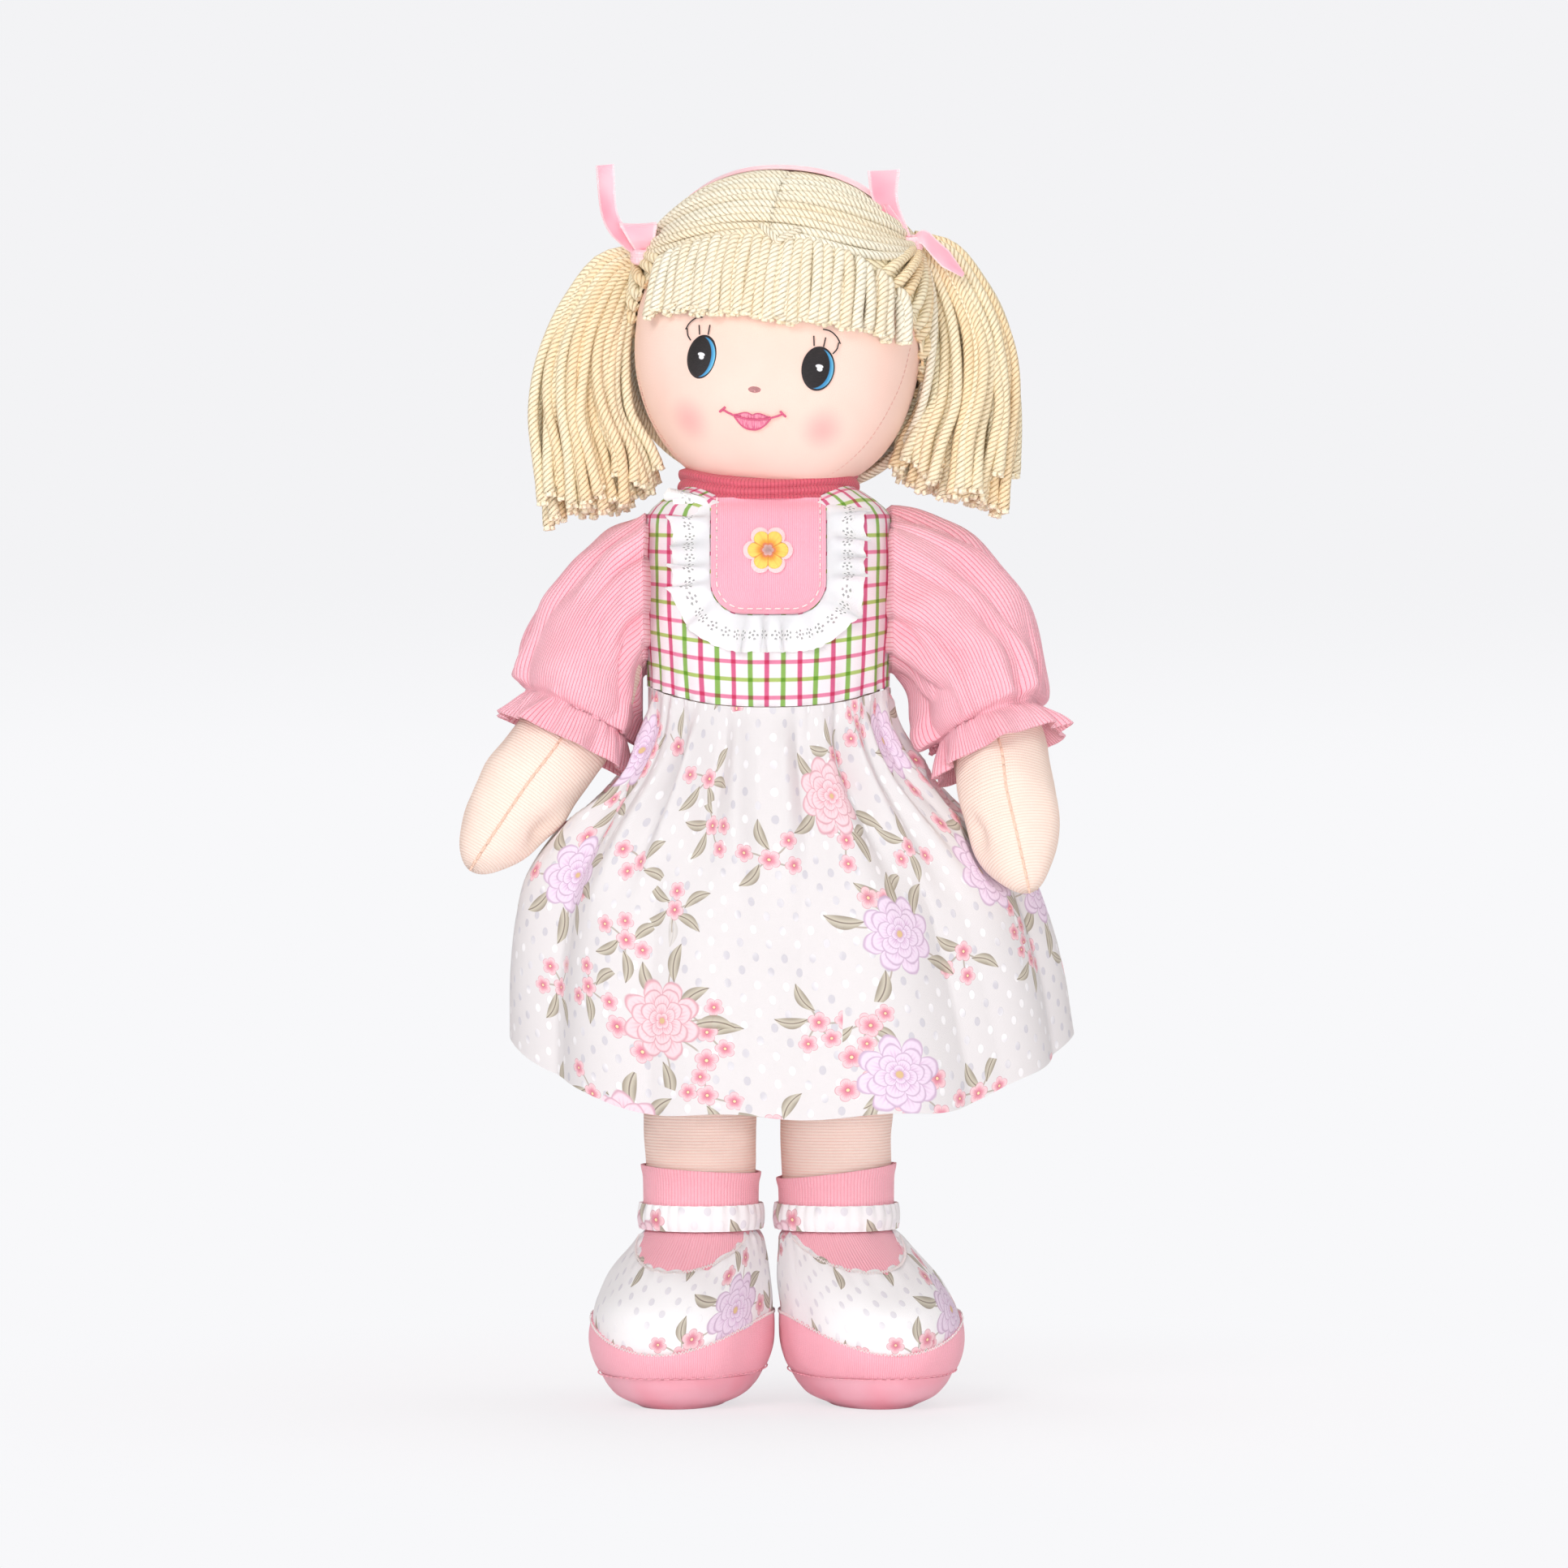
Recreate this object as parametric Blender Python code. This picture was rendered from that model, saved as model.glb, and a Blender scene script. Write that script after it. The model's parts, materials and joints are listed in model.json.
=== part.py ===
"""A cloth rag doll with yarn pigtails, a puff-sleeved dress, socks and soft shoes.

Metres, +Z up. The doll faces -Y and stands on Z = 0, centred on the origin.
Left and right are the doll's own, so its left side is at +X.
"""

import math

import bpy
import numpy as np

# Layers and clearances
CLOTH = 0.0012
YARN_LAYER = 0.0055
THREAD_RELIEF = 0.0008
LAYER_GAP = 0.0004
HAIR_GAP = 0.0014
JOINT_GAP = 0.0005
SEAM_GAP = 0.0010

# Feet and shoes
FOOT_HEIGHT = 0.083
FOOT_WIDTH = 0.086
FOOT_LENGTH = 0.114
FOOT_SETBACK = 0.022
SHOE_GAP = 0.0016
FOOT_YAW = math.radians(12)
FOOT_POWER = 2.1
# How far both feet lie to the doll's left of their ankles, as the doll stands
FOOT_SWAY = 0.004
SOLE_HEIGHT = 0.016
BAND_SIDE_HEIGHT = 0.044
BAND_TOE_HEIGHT = 0.028
OPENING_DEPTH = 0.016
STRAP_HEIGHT = 0.0125
STRAP_THICKNESS = 0.0020

# Legs and socks
LEG_LENGTH = 0.159
LEG_RADIUS = 0.028
ANKLE_RADIUS = 0.0262
LEG_SPACING = 0.066
SOCK_HEIGHT = 0.030

# Hips and torso
HIP_RADIUS = 0.038
HIP_WIDTH = 0.112
LEG_SOCKET_DEPTH = 0.008
TORSO_LENGTH = 0.1355
TORSO_WIDTH = 0.116
TORSO_DEPTH = 0.080
TORSO_POWER = 2.6

# Arms and sleeves
SHOULDER_DROP = 0.042
ARMHOLE_RADIUS = 0.040
ARM_RADIUS = 0.0235
CUFF_RADIUS = 0.0275
FRILL_LENGTH = 0.016
FRILL_FLARE = 0.007
FRILL_WAVE = 0.0026
FRILL_WAVES = 6
SLEEVE_PUFF = 0.003
UPPER_ARM_LENGTH = {"left": 0.0800, "right": 0.0680}
UPPER_ARM_ANGLE = {"left": math.radians(36), "right": math.radians(29)}
FOREARM_LENGTH = {"left": 0.0830, "right": 0.0920}
FOREARM_ANGLE = {"left": math.radians(12.5), "right": math.radians(34)}
ARM_FORWARD = {"left": 0.054, "right": 0.022}

# Neck, collar and head
NECK_RISE = 0.019
NECK_BALL_RADIUS = 0.030
COLLAR_WIDTH = 0.089
COLLAR_DEPTH = 0.074
COLLAR_HEIGHT = 0.0145
COLLAR_THICKNESS = 0.006
COLLAR_FOLD_DEPTH = 0.0014
COLLAR_FOLDS = 3
HEAD_RISE = 0.060
HEAD_WIDTH = 0.1388
HEAD_DEPTH = 0.120
CROWN_HEIGHT = 0.077
CHIN_DROP = 0.071
HEAD_POWER = 2.2
HEAD_TURN = math.radians(-9)
HEAD_ROLL = math.radians(4.8)

# Face
EYE_SPACING = 0.056
EYE_DROP = 0.0125
EYE_WIDTH = 0.0144
EYE_HEIGHT = 0.0203
NOSE_DROP = 0.0250
NOSE_WIDTH = 0.0070
NOSE_HEIGHT = 0.0032
MOUTH_DROP = 0.0400
MOUTH_WIDTH = 0.0300
LIP_HEIGHT = 0.0088
SMILE_RISE = 0.0040

# Hair
HAIR_TILT = math.radians(46)
HAIR_REACH = math.radians(94.5)
FRINGE_GAP_ANGLE = math.radians(0.6)
FRINGE_WIDTH = 0.110
FRINGE_SHIFT = 0.004
FRINGE_END_RISE = 0.0066
PIGTAIL_LENGTH = 0.134
PIGTAIL_REACH = 0.056
PIGTAIL_DEPTH = 0.052
PIGTAIL_SETBACK = 0.006
TIE_REACH = {"left": 0.0685, "right": 0.0605}
TIE_RISE = {"left": 0.107, "right": 0.101}

# Ribbons
RIBBON_WIDTH = 0.0088
RIBBON_THICKNESS = 0.0009
RIBBON_TAIL = 0.044
KNOT_RADIUS = 0.0055
KNOT_FORWARD = 0.014
CROWN_RIBBON_SLACK = 0.0025
CROWN_RIBBON_SPAN = math.radians(43)
CROWN_RIBBON_START = math.radians(1)
CROWN_RIBBON_END = math.radians(11)

# Dress front
WAIST_CENTRE_RISE = 0.0366
WAIST_SIDE_RISE = 0.0470
BIB_WIDTH = 0.055
BIB_TOP_DROP = 0.0035
BIB_DROP = 0.0545
BIB_CORNER = 0.016
LACE_WIDTH = 0.0155
LACE_WAVE = 0.0022
LACE_WAVES = 17
LACE_THICKNESS = 0.0008
FLOWER_RADIUS = 0.012
FLOWER_DROP = 0.0235
FLOWER_THICKNESS = 0.0018
PETALS = 6

# Skirt
SKIRT_HEM_WIDTH = 0.270
SKIRT_HEM_DEPTH = 0.186
SKIRT_LENGTH = 0.195
SKIRT_SIDE_LIFT = 0.036
SKIRT_SWAY = 0.011
SKIRT_CLOTH = 0.0015
SKIRT_FOLDS = 11
SKIRT_FOLD_DEPTH = 0.0045
SKIRT_GATHER_DEPTH = 0.0008
SKIRT_PRESS_GAP = 0.0028

# Heights that follow from the sizes above
LEG_PIVOT_HEIGHT = FOOT_HEIGHT + LEG_LENGTH
SIT_PIVOT_HEIGHT = LEG_PIVOT_HEIGHT + LEG_RADIUS + JOINT_GAP - LEG_SOCKET_DEPTH + HIP_RADIUS
TORSO_TOP = SIT_PIVOT_HEIGHT + TORSO_LENGTH
NECK_PIVOT_HEIGHT = TORSO_TOP + NECK_RISE
SHOULDER_HEIGHT = TORSO_TOP - SHOULDER_DROP
ARMHOLE_REACH = TORSO_WIDTH / 2 + LAYER_GAP + CLOTH + LAYER_GAP

SIDES = {"left": 1, "right": -1}
LIMB_SIDES = 20
BODY_SIDES = 28
UP = np.array((0.0, 0.0, 1.0))
BACKWARD = np.array((0.0, 1.0, 0.0))

# Tables of shares, chosen by hand: place along the piece, then shares of its named sizes
# A turned foot is this much wider than a turned oval of its size
FOOT_TURN_SHARE = 1.03
FOOT_SHARES = (
    # height, half width, half length, setback
    (0.00, 0.46, 0.56, 1.00),
    (0.05, 0.68, 0.74, 1.00),
    (0.11, 0.80, 0.84, 1.00),
    (0.19, 0.89, 0.91, 1.00),
    (0.31, 0.97, 0.98, 1.02),
    (0.46, 1.00, 1.00, 1.00),
    (0.58, 0.985, 0.96, 0.92),
    (0.70, 0.925, 0.87, 0.70),
    (0.82, 0.835, 0.74, 0.42),
    (0.92, 0.745, 0.62, 0.18),
    (1.00, 0.670, 0.52, 0.02),
)
# Where the sole's rings lie on the way up to its seam
SOLE_ROW_SHARES = (0.0, 0.27, 0.60, 1.0)
FOOT_ROW_SHARES = (0.0, 0.05, 0.12, 0.24, 0.40, 0.56, 0.70, 0.82, 0.92, 1.0)
# The shoe's opening: where it starts toward the toe, and how soon it is at its full depth
OPENING_START_SHARE = 0.14
OPENING_RISE_SHARE = 0.42
LEG_SHARES = (
    # height, share of the way from the ankle's radius to the leg's
    (0.00, 0.00),
    (0.16, 0.15),
    (0.30, 0.90),
    (0.50, 1.00),
    (1.00, 1.00),
)
TORSO_SHARES = (
    # height, width, depth
    (0.00, 0.930, 0.860),
    (0.15, 0.945, 0.900),
    (0.35, 0.965, 0.930),
    (0.55, 0.990, 0.980),
    (0.72, 1.000, 1.000),
    (0.86, 1.000, 0.970),
    (0.94, 0.980, 0.930),
    (0.98, 0.925, 0.860),
    (1.00, 0.850, 0.760),
)
TORSO_ROW_SHARES = (0.45, 0.60, 0.74, 0.86, 0.94, 0.98, 1.0)
ARM_SHARES = (
    # length, radius in the plane of the swing, radius front to back
    (0.00, 1.12, 1.12),
    (0.20, 1.06, 1.06),
    (0.44, 1.00, 1.00),
    (0.60, 1.00, 0.98),
    (0.75, 1.00, 0.92),
    (1.00, 0.92, 0.84),
)
# Where the cuff lies and where the hand starts to round off, along the arm
CUFF_SHARE = 0.44
HAND_SHARE = 0.70
SLEEVE_SHARES = (
    # length, way outward to the cuff, way down to the cuff, tilt,
    # share of the way from the armhole's radius to the cuff's, puff
    (0.00, 0.00, 0.00, 0.00, 0.00, 0.0),
    (0.25, 0.44, 0.19, 0.30, 0.10, 1.0),
    (0.50, 0.77, 0.48, 0.58, 0.30, 1.0),
    (0.75, 0.92, 0.73, 0.79, 0.62, 0.6),
    (1.00, 1.00, 1.00, 1.00, 1.00, 0.0),
)
PIGTAIL_SHARES = (
    # length, outer edge out and down, inner edge out and down, half depth
    (0.00, 0.05, -0.060, 0.00, 0.060, 0.26),
    (0.10, 0.38, -0.025, 0.05, 0.120, 0.42),
    (0.24, 0.70, 0.130, 0.09, 0.230, 0.66),
    (0.42, 0.92, 0.330, 0.12, 0.370, 0.86),
    (0.60, 1.01, 0.540, 0.06, 0.550, 0.96),
    (0.80, 1.00, 0.740, -0.14, 0.700, 1.00),
    (1.00, 0.92, 0.970, -0.20, 0.830, 0.94),
)
SKIRT_SHARES = (
    # length, share of the way from the waist to the hem in width, in depth,
    # fold depth, share that is left of the waist's squareness
    (0.00, 0.00, 0.00, 0.0, 1.00),
    (0.10, 0.02, 0.08, 0.1, 1.00),
    (0.20, 0.14, 0.20, 0.4, 0.90),
    (0.30, 0.35, 0.36, 0.8, 0.60),
    (0.40, 0.57, 0.50, 1.0, 0.30),
    (0.53, 0.79, 0.65, 1.0, 0.10),
    (0.65, 0.885, 0.77, 1.0, 0.00),
    (0.80, 0.955, 0.90, 1.0, 0.00),
    (1.00, 1.00, 1.00, 1.0, 0.00),
)
# How deep the notches between the flower's petals are, and where its rings lie
PETAL_NOTCH_SHARE = 0.24
PETAL_ROW_SHARES = (1.0, 0.6)
LIP_SHARES = (
    # place across the mouth, upper edge, lower edge
    (0.00, 0.30, -0.56),
    (0.20, 0.42, -0.52),
    (0.45, 0.24, -0.26),
    (0.60, 0.09, -0.02),
    (0.80, 0.09, -0.01),
    (1.00, 0.09, -0.02),
)
RIBBON_TAIL_SHARES = {
    # outward, backward and upward, as shares of the ribbon's tail
    "left": ((-0.34, -0.05, 0.86), (0.58, -0.16, -0.36)),
    "right": ((0.36, -0.05, 1.00), (-0.14, -0.10, 0.38)),
}

# Colours and roughness of the materials
FINISHES = {
    "skin_knit": ((0.95, 0.78, 0.68), 0.85),
    "plaid": ((0.86, 0.80, 0.82), 0.60),
    "floral": ((0.93, 0.88, 0.88), 0.65),
    "pink_knit": ((0.93, 0.42, 0.50), 0.85),
    "pink_satin": ((0.96, 0.50, 0.60), 0.35),
    "lace": ((0.93, 0.93, 0.95), 0.80),
    "yarn": ((0.93, 0.78, 0.50), 0.90),
    "eye_thread": ((0.03, 0.06, 0.10), 0.45),
    "mouth_thread": ((0.80, 0.22, 0.38), 0.50),
    "flower_satin": ((0.98, 0.68, 0.20), 0.40),
    "elastic": ((0.93, 0.60, 0.66), 0.80),
}


def profile(rows, place):
    """Read a table at one or many places, on smooth curves through its rows."""
    table = np.asarray(rows, dtype=float)
    knots = table[:, 0]
    values = table[:, 1:]
    slopes = np.gradient(values, knots, axis=0)
    at = np.clip(np.asarray(place, dtype=float), knots[0], knots[-1])
    cell = np.clip(np.searchsorted(knots, at, side="right") - 1, 0, len(knots) - 2)
    width = (knots[cell + 1] - knots[cell])[..., None]
    t = (at - knots[cell])[..., None] / width
    curve = (
        values[cell] * (2 * t**3 - 3 * t**2 + 1)
        + slopes[cell] * width * (t**3 - 2 * t**2 + t)
        + values[cell + 1] * (3 * t**2 - 2 * t**3)
        + slopes[cell + 1] * width * (t**3 - t**2)
    )
    return np.moveaxis(curve, -1, 0)


def around(count):
    """Angles that go once round, anticlockwise."""
    return np.linspace(0, 2 * math.pi, count, endpoint=False)


def column(values):
    """Values down a column, so that they meet a row of angles as a grid."""
    return np.asarray(values, dtype=float)[:, None]


def oval(angle, half_x, half_y, power):
    """Points on |x / half_x|^power + |y / half_y|^power = 1."""
    cosine = np.cos(angle)
    sine = np.sin(angle)
    x = half_x * np.sign(cosine) * np.abs(cosine) ** (2 / power)
    y = half_y * np.sign(sine) * np.abs(sine) ** (2 / power)
    return x, y


def stack(x, y, z):
    """One grid of points from three that can be spread over each other."""
    return np.stack(np.broadcast_arrays(x, y, z), axis=-1).astype(float)


def unit(vectors):
    """The same directions at length 1."""
    return vectors / np.linalg.norm(vectors, axis=-1, keepdims=True)


def pushed(grid, distance, closed):
    """A grid moved outward: columns run anticlockwise and rows run up, seen from outside."""
    up = np.gradient(grid, axis=0)
    if closed:
        across = np.roll(grid, -1, axis=1) - np.roll(grid, 1, axis=1)
    else:
        across = np.gradient(grid, axis=1)
    return grid + distance * unit(np.cross(across, up))


def band_faces(rows, columns, closed):
    """Quads between the rows of a grid."""
    last = columns if closed else columns - 1
    faces = []
    for row in range(rows - 1):
        for col in range(last):
            right = (col + 1) % columns
            low = row * columns
            high = low + columns
            faces.append((low + col, low + right, high + right, high + col))
    return faces


def fan_faces(centre, start, columns, up):
    """Triangles from one point to a closed row."""
    faces = []
    for col in range(columns):
        right = start + (col + 1) % columns
        left = start + col
        faces.append((centre, left, right) if up else (centre, right, left))
    return faces


def make_object(name, points, faces, finish):
    """A named object with its own material, shaded smooth but for its hard edges."""
    mesh = bpy.data.meshes.new(name)
    mesh.from_pydata([tuple(point) for point in points], [], faces)
    mesh.shade_smooth()
    mesh.set_sharp_from_angle(angle=math.radians(50))
    obj = bpy.data.objects.new(name, mesh)
    bpy.context.scene.collection.objects.link(obj)
    if finish:
        mesh.materials.append(make_material(name, finish))
    return obj


def make_material(name, finish):
    """A Principled material with the finish's colour and roughness."""
    colour, roughness = FINISHES[finish]
    material = bpy.data.materials.new(name)
    material.use_nodes = True
    shader = material.node_tree.nodes["Principled BSDF"]
    shader.inputs["Base Color"].default_value = (*colour, 1)
    shader.inputs["Roughness"].default_value = roughness
    shader.inputs["Metallic"].default_value = 0
    material.diffuse_color = (*colour, 1)
    return material


def stuffed(name, grid, finish, bottom=None, top=None):
    """A closed body over rings stacked upward, each end closed by a fan."""
    rows, columns = grid.shape[:2]
    low = grid[0].mean(axis=0) if bottom is None else bottom
    high = grid[-1].mean(axis=0) if top is None else top
    points = list(grid.reshape(-1, 3)) + [low, high]
    centre = rows * columns
    faces = band_faces(rows, columns, True)
    faces += fan_faces(centre, 0, columns, False)
    faces += fan_faces(centre + 1, centre - columns, columns, True)
    return make_object(name, points, faces, finish)


def cloth(name, grid, thickness, finish, closed, bottom=None, top=None):
    """A sheet over a grid, thickened outward, with a point closing an end where one is given."""
    rows, columns = grid.shape[:2]
    points = list(grid.reshape(-1, 3))
    faces = band_faces(rows, columns, closed)
    if bottom is not None:
        faces += fan_faces(len(points), 0, columns, False)
        points.append(bottom)
    if top is not None:
        faces += fan_faces(len(points), (rows - 1) * columns, columns, True)
        points.append(top)
    obj = make_object(name, points, faces, finish)
    solidify = obj.modifiers.new("Thickness", "SOLIDIFY")
    solidify.thickness = thickness
    solidify.offset = 1
    return obj


def loop_ring(name, grid, finish):
    """A closed band whose rows go round its section and whose columns go round its middle."""
    rows, columns = grid.shape[:2]
    faces = band_faces(rows + 1, columns, True)
    count = rows * columns
    faces = [tuple(index % count for index in face) for face in faces]
    return make_object(name, grid.reshape(-1, 3), faces, finish)


def cutter(name, grid, bottom=None, top=None):
    """A closed body that is only cut away from others."""
    obj = stuffed(name, grid, None, bottom, top)
    obj.hide_render = True
    obj.display_type = "WIRE"
    return obj


def combine(obj, other, operation):
    """Cut a body away from an object, or join it on."""
    modifier = obj.modifiers.new(other.name, "BOOLEAN")
    modifier.operation = operation
    modifier.object = other
    modifier.solver = "EXACT"


def pivot(name, place):
    """An empty on a joint's axis."""
    empty = bpy.data.objects.new(name, None)
    empty.location = place
    bpy.context.scene.collection.objects.link(empty)
    return empty


def hang(obj, empty):
    """Put an object that was modelled in place under its joint's empty."""
    obj.data.transform(empty.matrix_basis.inverted())
    obj.parent = empty


def ball(radius, centre, rows, columns, low=None):
    """Rings of a sphere from a height above its centre, or from its bottom, to near its top."""
    start = math.pi / rows if low is None else math.acos(max(-1.0, min(1.0, -low / radius)))
    theta = column(np.linspace(start, math.pi - math.pi / rows, rows))
    phi = around(columns)
    grid = stack(np.sin(theta) * np.cos(phi), np.sin(theta) * np.sin(phi), -np.cos(theta))
    return grid * radius + np.asarray(centre, dtype=float)


def ball_cutter(name, radius, centre, rows, columns):
    """A ball that is only cut away from others."""
    centre = np.array(centre, dtype=float)
    rings = ball(radius, centre, rows, columns)
    return cutter(name, rings, centre - UP * radius, centre + UP * radius)


def foot_outset():
    """How far the shoe's middle lies outward of the ankle, so that the shoes clear each other."""
    across = FOOT_WIDTH / 2 * math.cos(FOOT_YAW)
    along = FOOT_LENGTH / 2 * math.sin(FOOT_YAW)
    reach = FOOT_TURN_SHARE * math.hypot(across, along) + SHOE_GAP / 2
    return reach - LEG_SPACING / 2 - FOOT_SETBACK * math.sin(FOOT_YAW)


def foot_surface(side, share, angle):
    """The foot's outer skin at shares of its height, turned out from the ankle."""
    width, length, setback = profile(FOOT_SHARES, share)
    x, y = oval(angle, FOOT_WIDTH / 2 * width, FOOT_LENGTH / 2 * length, FOOT_POWER)
    y = y - FOOT_SETBACK * setback
    yaw = FOOT_YAW * SIDES[side]
    turned_x = x * math.cos(yaw) - y * math.sin(yaw)
    turned_y = x * math.sin(yaw) + y * math.cos(yaw)
    ankle_x = (LEG_SPACING / 2 + foot_outset() * setback) * SIDES[side] + FOOT_SWAY * setback
    return stack(ankle_x + turned_x, turned_y, FOOT_HEIGHT * share)


def toe_share(angle):
    """1 at the toe, 0 at the sides and the heel."""
    return np.clip(-np.sin(angle), 0, 1)


def make_foot(side):
    """The stuffed foot with the sole, band, upper and strap of the shoe sewn round it."""
    phi = around(LIMB_SIDES)
    finish_top = 1 - LAYER_GAP / FOOT_HEIGHT

    skin = foot_surface(side, column(FOOT_ROW_SHARES), phi)
    core = pushed(skin, -CLOTH - 3 * LAYER_GAP, True)
    core[..., 2] = np.minimum(core[..., 2], FOOT_HEIGHT)
    foot = stuffed(f"foot_{side}", core, "pink_knit")

    edge = SOLE_HEIGHT / FOOT_HEIGHT
    skin = pushed(foot_surface(side, column(SOLE_ROW_SHARES) * edge, phi), -CLOTH, True)
    skin[0, :, 2] = CLOTH
    centre = skin[0].mean(axis=0)
    sole = cloth(f"shoe_sole_{side}", skin, CLOTH, "pink_satin", True, bottom=centre)

    toe = toe_share(phi) ** 2
    band_top = (BAND_SIDE_HEIGHT + (BAND_TOE_HEIGHT - BAND_SIDE_HEIGHT) * toe) / FOOT_HEIGHT
    gap = SEAM_GAP / FOOT_HEIGHT
    rise = column(np.linspace(0, 1, 3))
    shares = edge + gap + (band_top - edge - gap) * rise
    skin = pushed(foot_surface(side, shares, phi), -CLOTH, True)
    band = cloth(f"shoe_band_{side}", skin, CLOTH, "pink_knit", True)

    cut = np.clip((toe - OPENING_START_SHARE) / OPENING_RISE_SHARE, 0, 1)
    opening = OPENING_DEPTH / FOOT_HEIGHT * np.sqrt(cut)
    upper_top = finish_top - opening
    rise = column(np.linspace(0, 1, 5))
    shares = band_top + gap + (upper_top - band_top - gap) * rise
    skin = pushed(foot_surface(side, shares, phi), -CLOTH, True)
    upper = cloth(f"shoe_upper_{side}", skin, CLOTH, "floral", True)
    return [foot, sole, band, upper]


def leg_radius(height):
    """The leg's radius at a height above the ankle."""
    (share,) = profile(LEG_SHARES, np.asarray(height) / LEG_LENGTH)
    return ANKLE_RADIUS + (LEG_RADIUS - ANKLE_RADIUS) * share


def leg_tube(side, heights, extra):
    """Rings round the leg at heights above the ankle, a layer outside its skin."""
    phi = around(LIMB_SIDES)
    heights = column(heights)
    radius = leg_radius(heights) + extra
    x = LEG_SPACING / 2 * SIDES[side] + radius * np.cos(phi)
    return stack(x, radius * np.sin(phi), FOOT_HEIGHT + heights)


def make_leg(side):
    """The leg with its domed top, the sock rolled over it and the shoe's strap."""
    shaft = leg_tube(side, (LAYER_GAP, SOCK_HEIGHT / 2, SOCK_HEIGHT, LEG_LENGTH / 2), 0)
    top = (LEG_SPACING / 2 * SIDES[side], 0, LEG_PIVOT_HEIGHT)
    dome = ball(LEG_RADIUS, top, 6, LIMB_SIDES, 0)
    leg = stuffed(f"leg_{side}", np.vstack((shaft, dome)), "skin_knit")

    heights = np.linspace(LAYER_GAP, SOCK_HEIGHT, 4)
    tube = leg_tube(side, heights, LAYER_GAP)
    sock = cloth(f"sock_{side}", tube, CLOTH, "pink_knit", True)

    heights = np.linspace(LAYER_GAP, STRAP_HEIGHT, 3)
    tube = leg_tube(side, heights, CLOTH + 2 * LAYER_GAP)
    strap = cloth(f"shoe_strap_{side}", tube, STRAP_THICKNESS, "floral", True)
    return [leg, sock, strap]


def make_hips():
    """The stuffed bolster that the torso folds over, hollowed where the legs' tops seat."""
    ends = np.sin(np.linspace(-math.pi / 2, math.pi / 2, 11))[1:-1]
    along = column(ends * HIP_WIDTH / 2)
    radius = HIP_RADIUS * (1 - np.abs(column(ends)) ** 4) ** (1 / 4)
    phi = around(24)
    rings = stack(along, radius * np.cos(phi), SIT_PIVOT_HEIGHT + radius * np.sin(phi))
    tip = np.array((HIP_WIDTH / 2, 0, SIT_PIVOT_HEIGHT))
    hips = stuffed("hips", rings, "skin_knit", tip * (-1, 1, 1), tip)
    for side, sign in SIDES.items():
        centre = (LEG_SPACING / 2 * sign, 0, LEG_PIVOT_HEIGHT)
        socket = ball_cutter(f"leg_socket_{side}", LEG_RADIUS + 2 * JOINT_GAP, centre, 12, 24)
        combine(hips, socket, "DIFFERENCE")
    return hips


def torso_surface(share, angle):
    """The torso's skin at shares of its length."""
    width, depth = profile(TORSO_SHARES, share)
    x, y = oval(angle, TORSO_WIDTH / 2 * width, TORSO_DEPTH / 2 * depth, TORSO_POWER)
    return stack(x, y, SIT_PIVOT_HEIGHT + TORSO_LENGTH * share)


def torso_front(x, z):
    """The point of the torso's front at a place across and a height."""
    share = (z - SIT_PIVOT_HEIGHT) / TORSO_LENGTH
    width, depth = profile(TORSO_SHARES, share)
    across = np.clip(np.abs(x) / (TORSO_WIDTH / 2 * width), 0, 1)
    y = -TORSO_DEPTH / 2 * depth * (1 - across**TORSO_POWER) ** (1 / TORSO_POWER)
    return stack(x, y, z)


def make_torso():
    """The stuffed trunk, hollowed under for the hips."""
    shares = column((0.0, 0.2) + TORSO_ROW_SHARES)
    torso = stuffed("torso", torso_surface(shares, around(BODY_SIDES)), "skin_knit")
    phi = around(36)
    radius = HIP_RADIUS + JOINT_GAP
    along = column((-TORSO_WIDTH, TORSO_WIDTH))
    rings = stack(along, radius * np.cos(phi), SIT_PIVOT_HEIGHT + radius * np.sin(phi))
    combine(torso, cutter("hip_saddle", rings), "DIFFERENCE")
    return torso


def waist_rise(angle):
    """The waist seam's height above the hips' axis: it climbs to the sides."""
    return WAIST_CENTRE_RISE + (WAIST_SIDE_RISE - WAIST_CENTRE_RISE) * np.cos(angle) ** 2


def make_bodice():
    """The dress's top, close over the torso from the waist seam to the neck."""
    phi = around(BODY_SIDES)
    seam = waist_rise(phi) / TORSO_LENGTH
    shares = np.vstack((seam, column(TORSO_ROW_SHARES) + 0 * seam))
    grid = pushed(torso_surface(shares, phi), LAYER_GAP, True)
    return cloth("bodice", grid, CLOTH, "plaid", True)


def bib_half_width(z):
    """Half the bib's width at a height: straight sides and rounded lower corners."""
    corner_top = TORSO_TOP - BIB_DROP + BIB_CORNER
    below = np.clip(corner_top - z, 0, BIB_CORNER)
    return BIB_WIDTH / 2 - BIB_CORNER + np.sqrt(BIB_CORNER**2 - below**2)


def make_bib():
    """The knit panel on the chest."""
    top = TORSO_TOP - BIB_TOP_DROP
    bottom = TORSO_TOP - BIB_DROP
    drop = column(np.sin(np.linspace(0, math.pi / 2, 8)) ** 1.3)
    z = bottom + (top - bottom) * (1 - drop[::-1])
    x = np.linspace(-1, 1, 11) * bib_half_width(z)
    grid = pushed(torso_front(x, z), CLOTH + 2 * LAYER_GAP, False)
    return cloth("bib", grid, CLOTH, "pink_knit", False)


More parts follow.
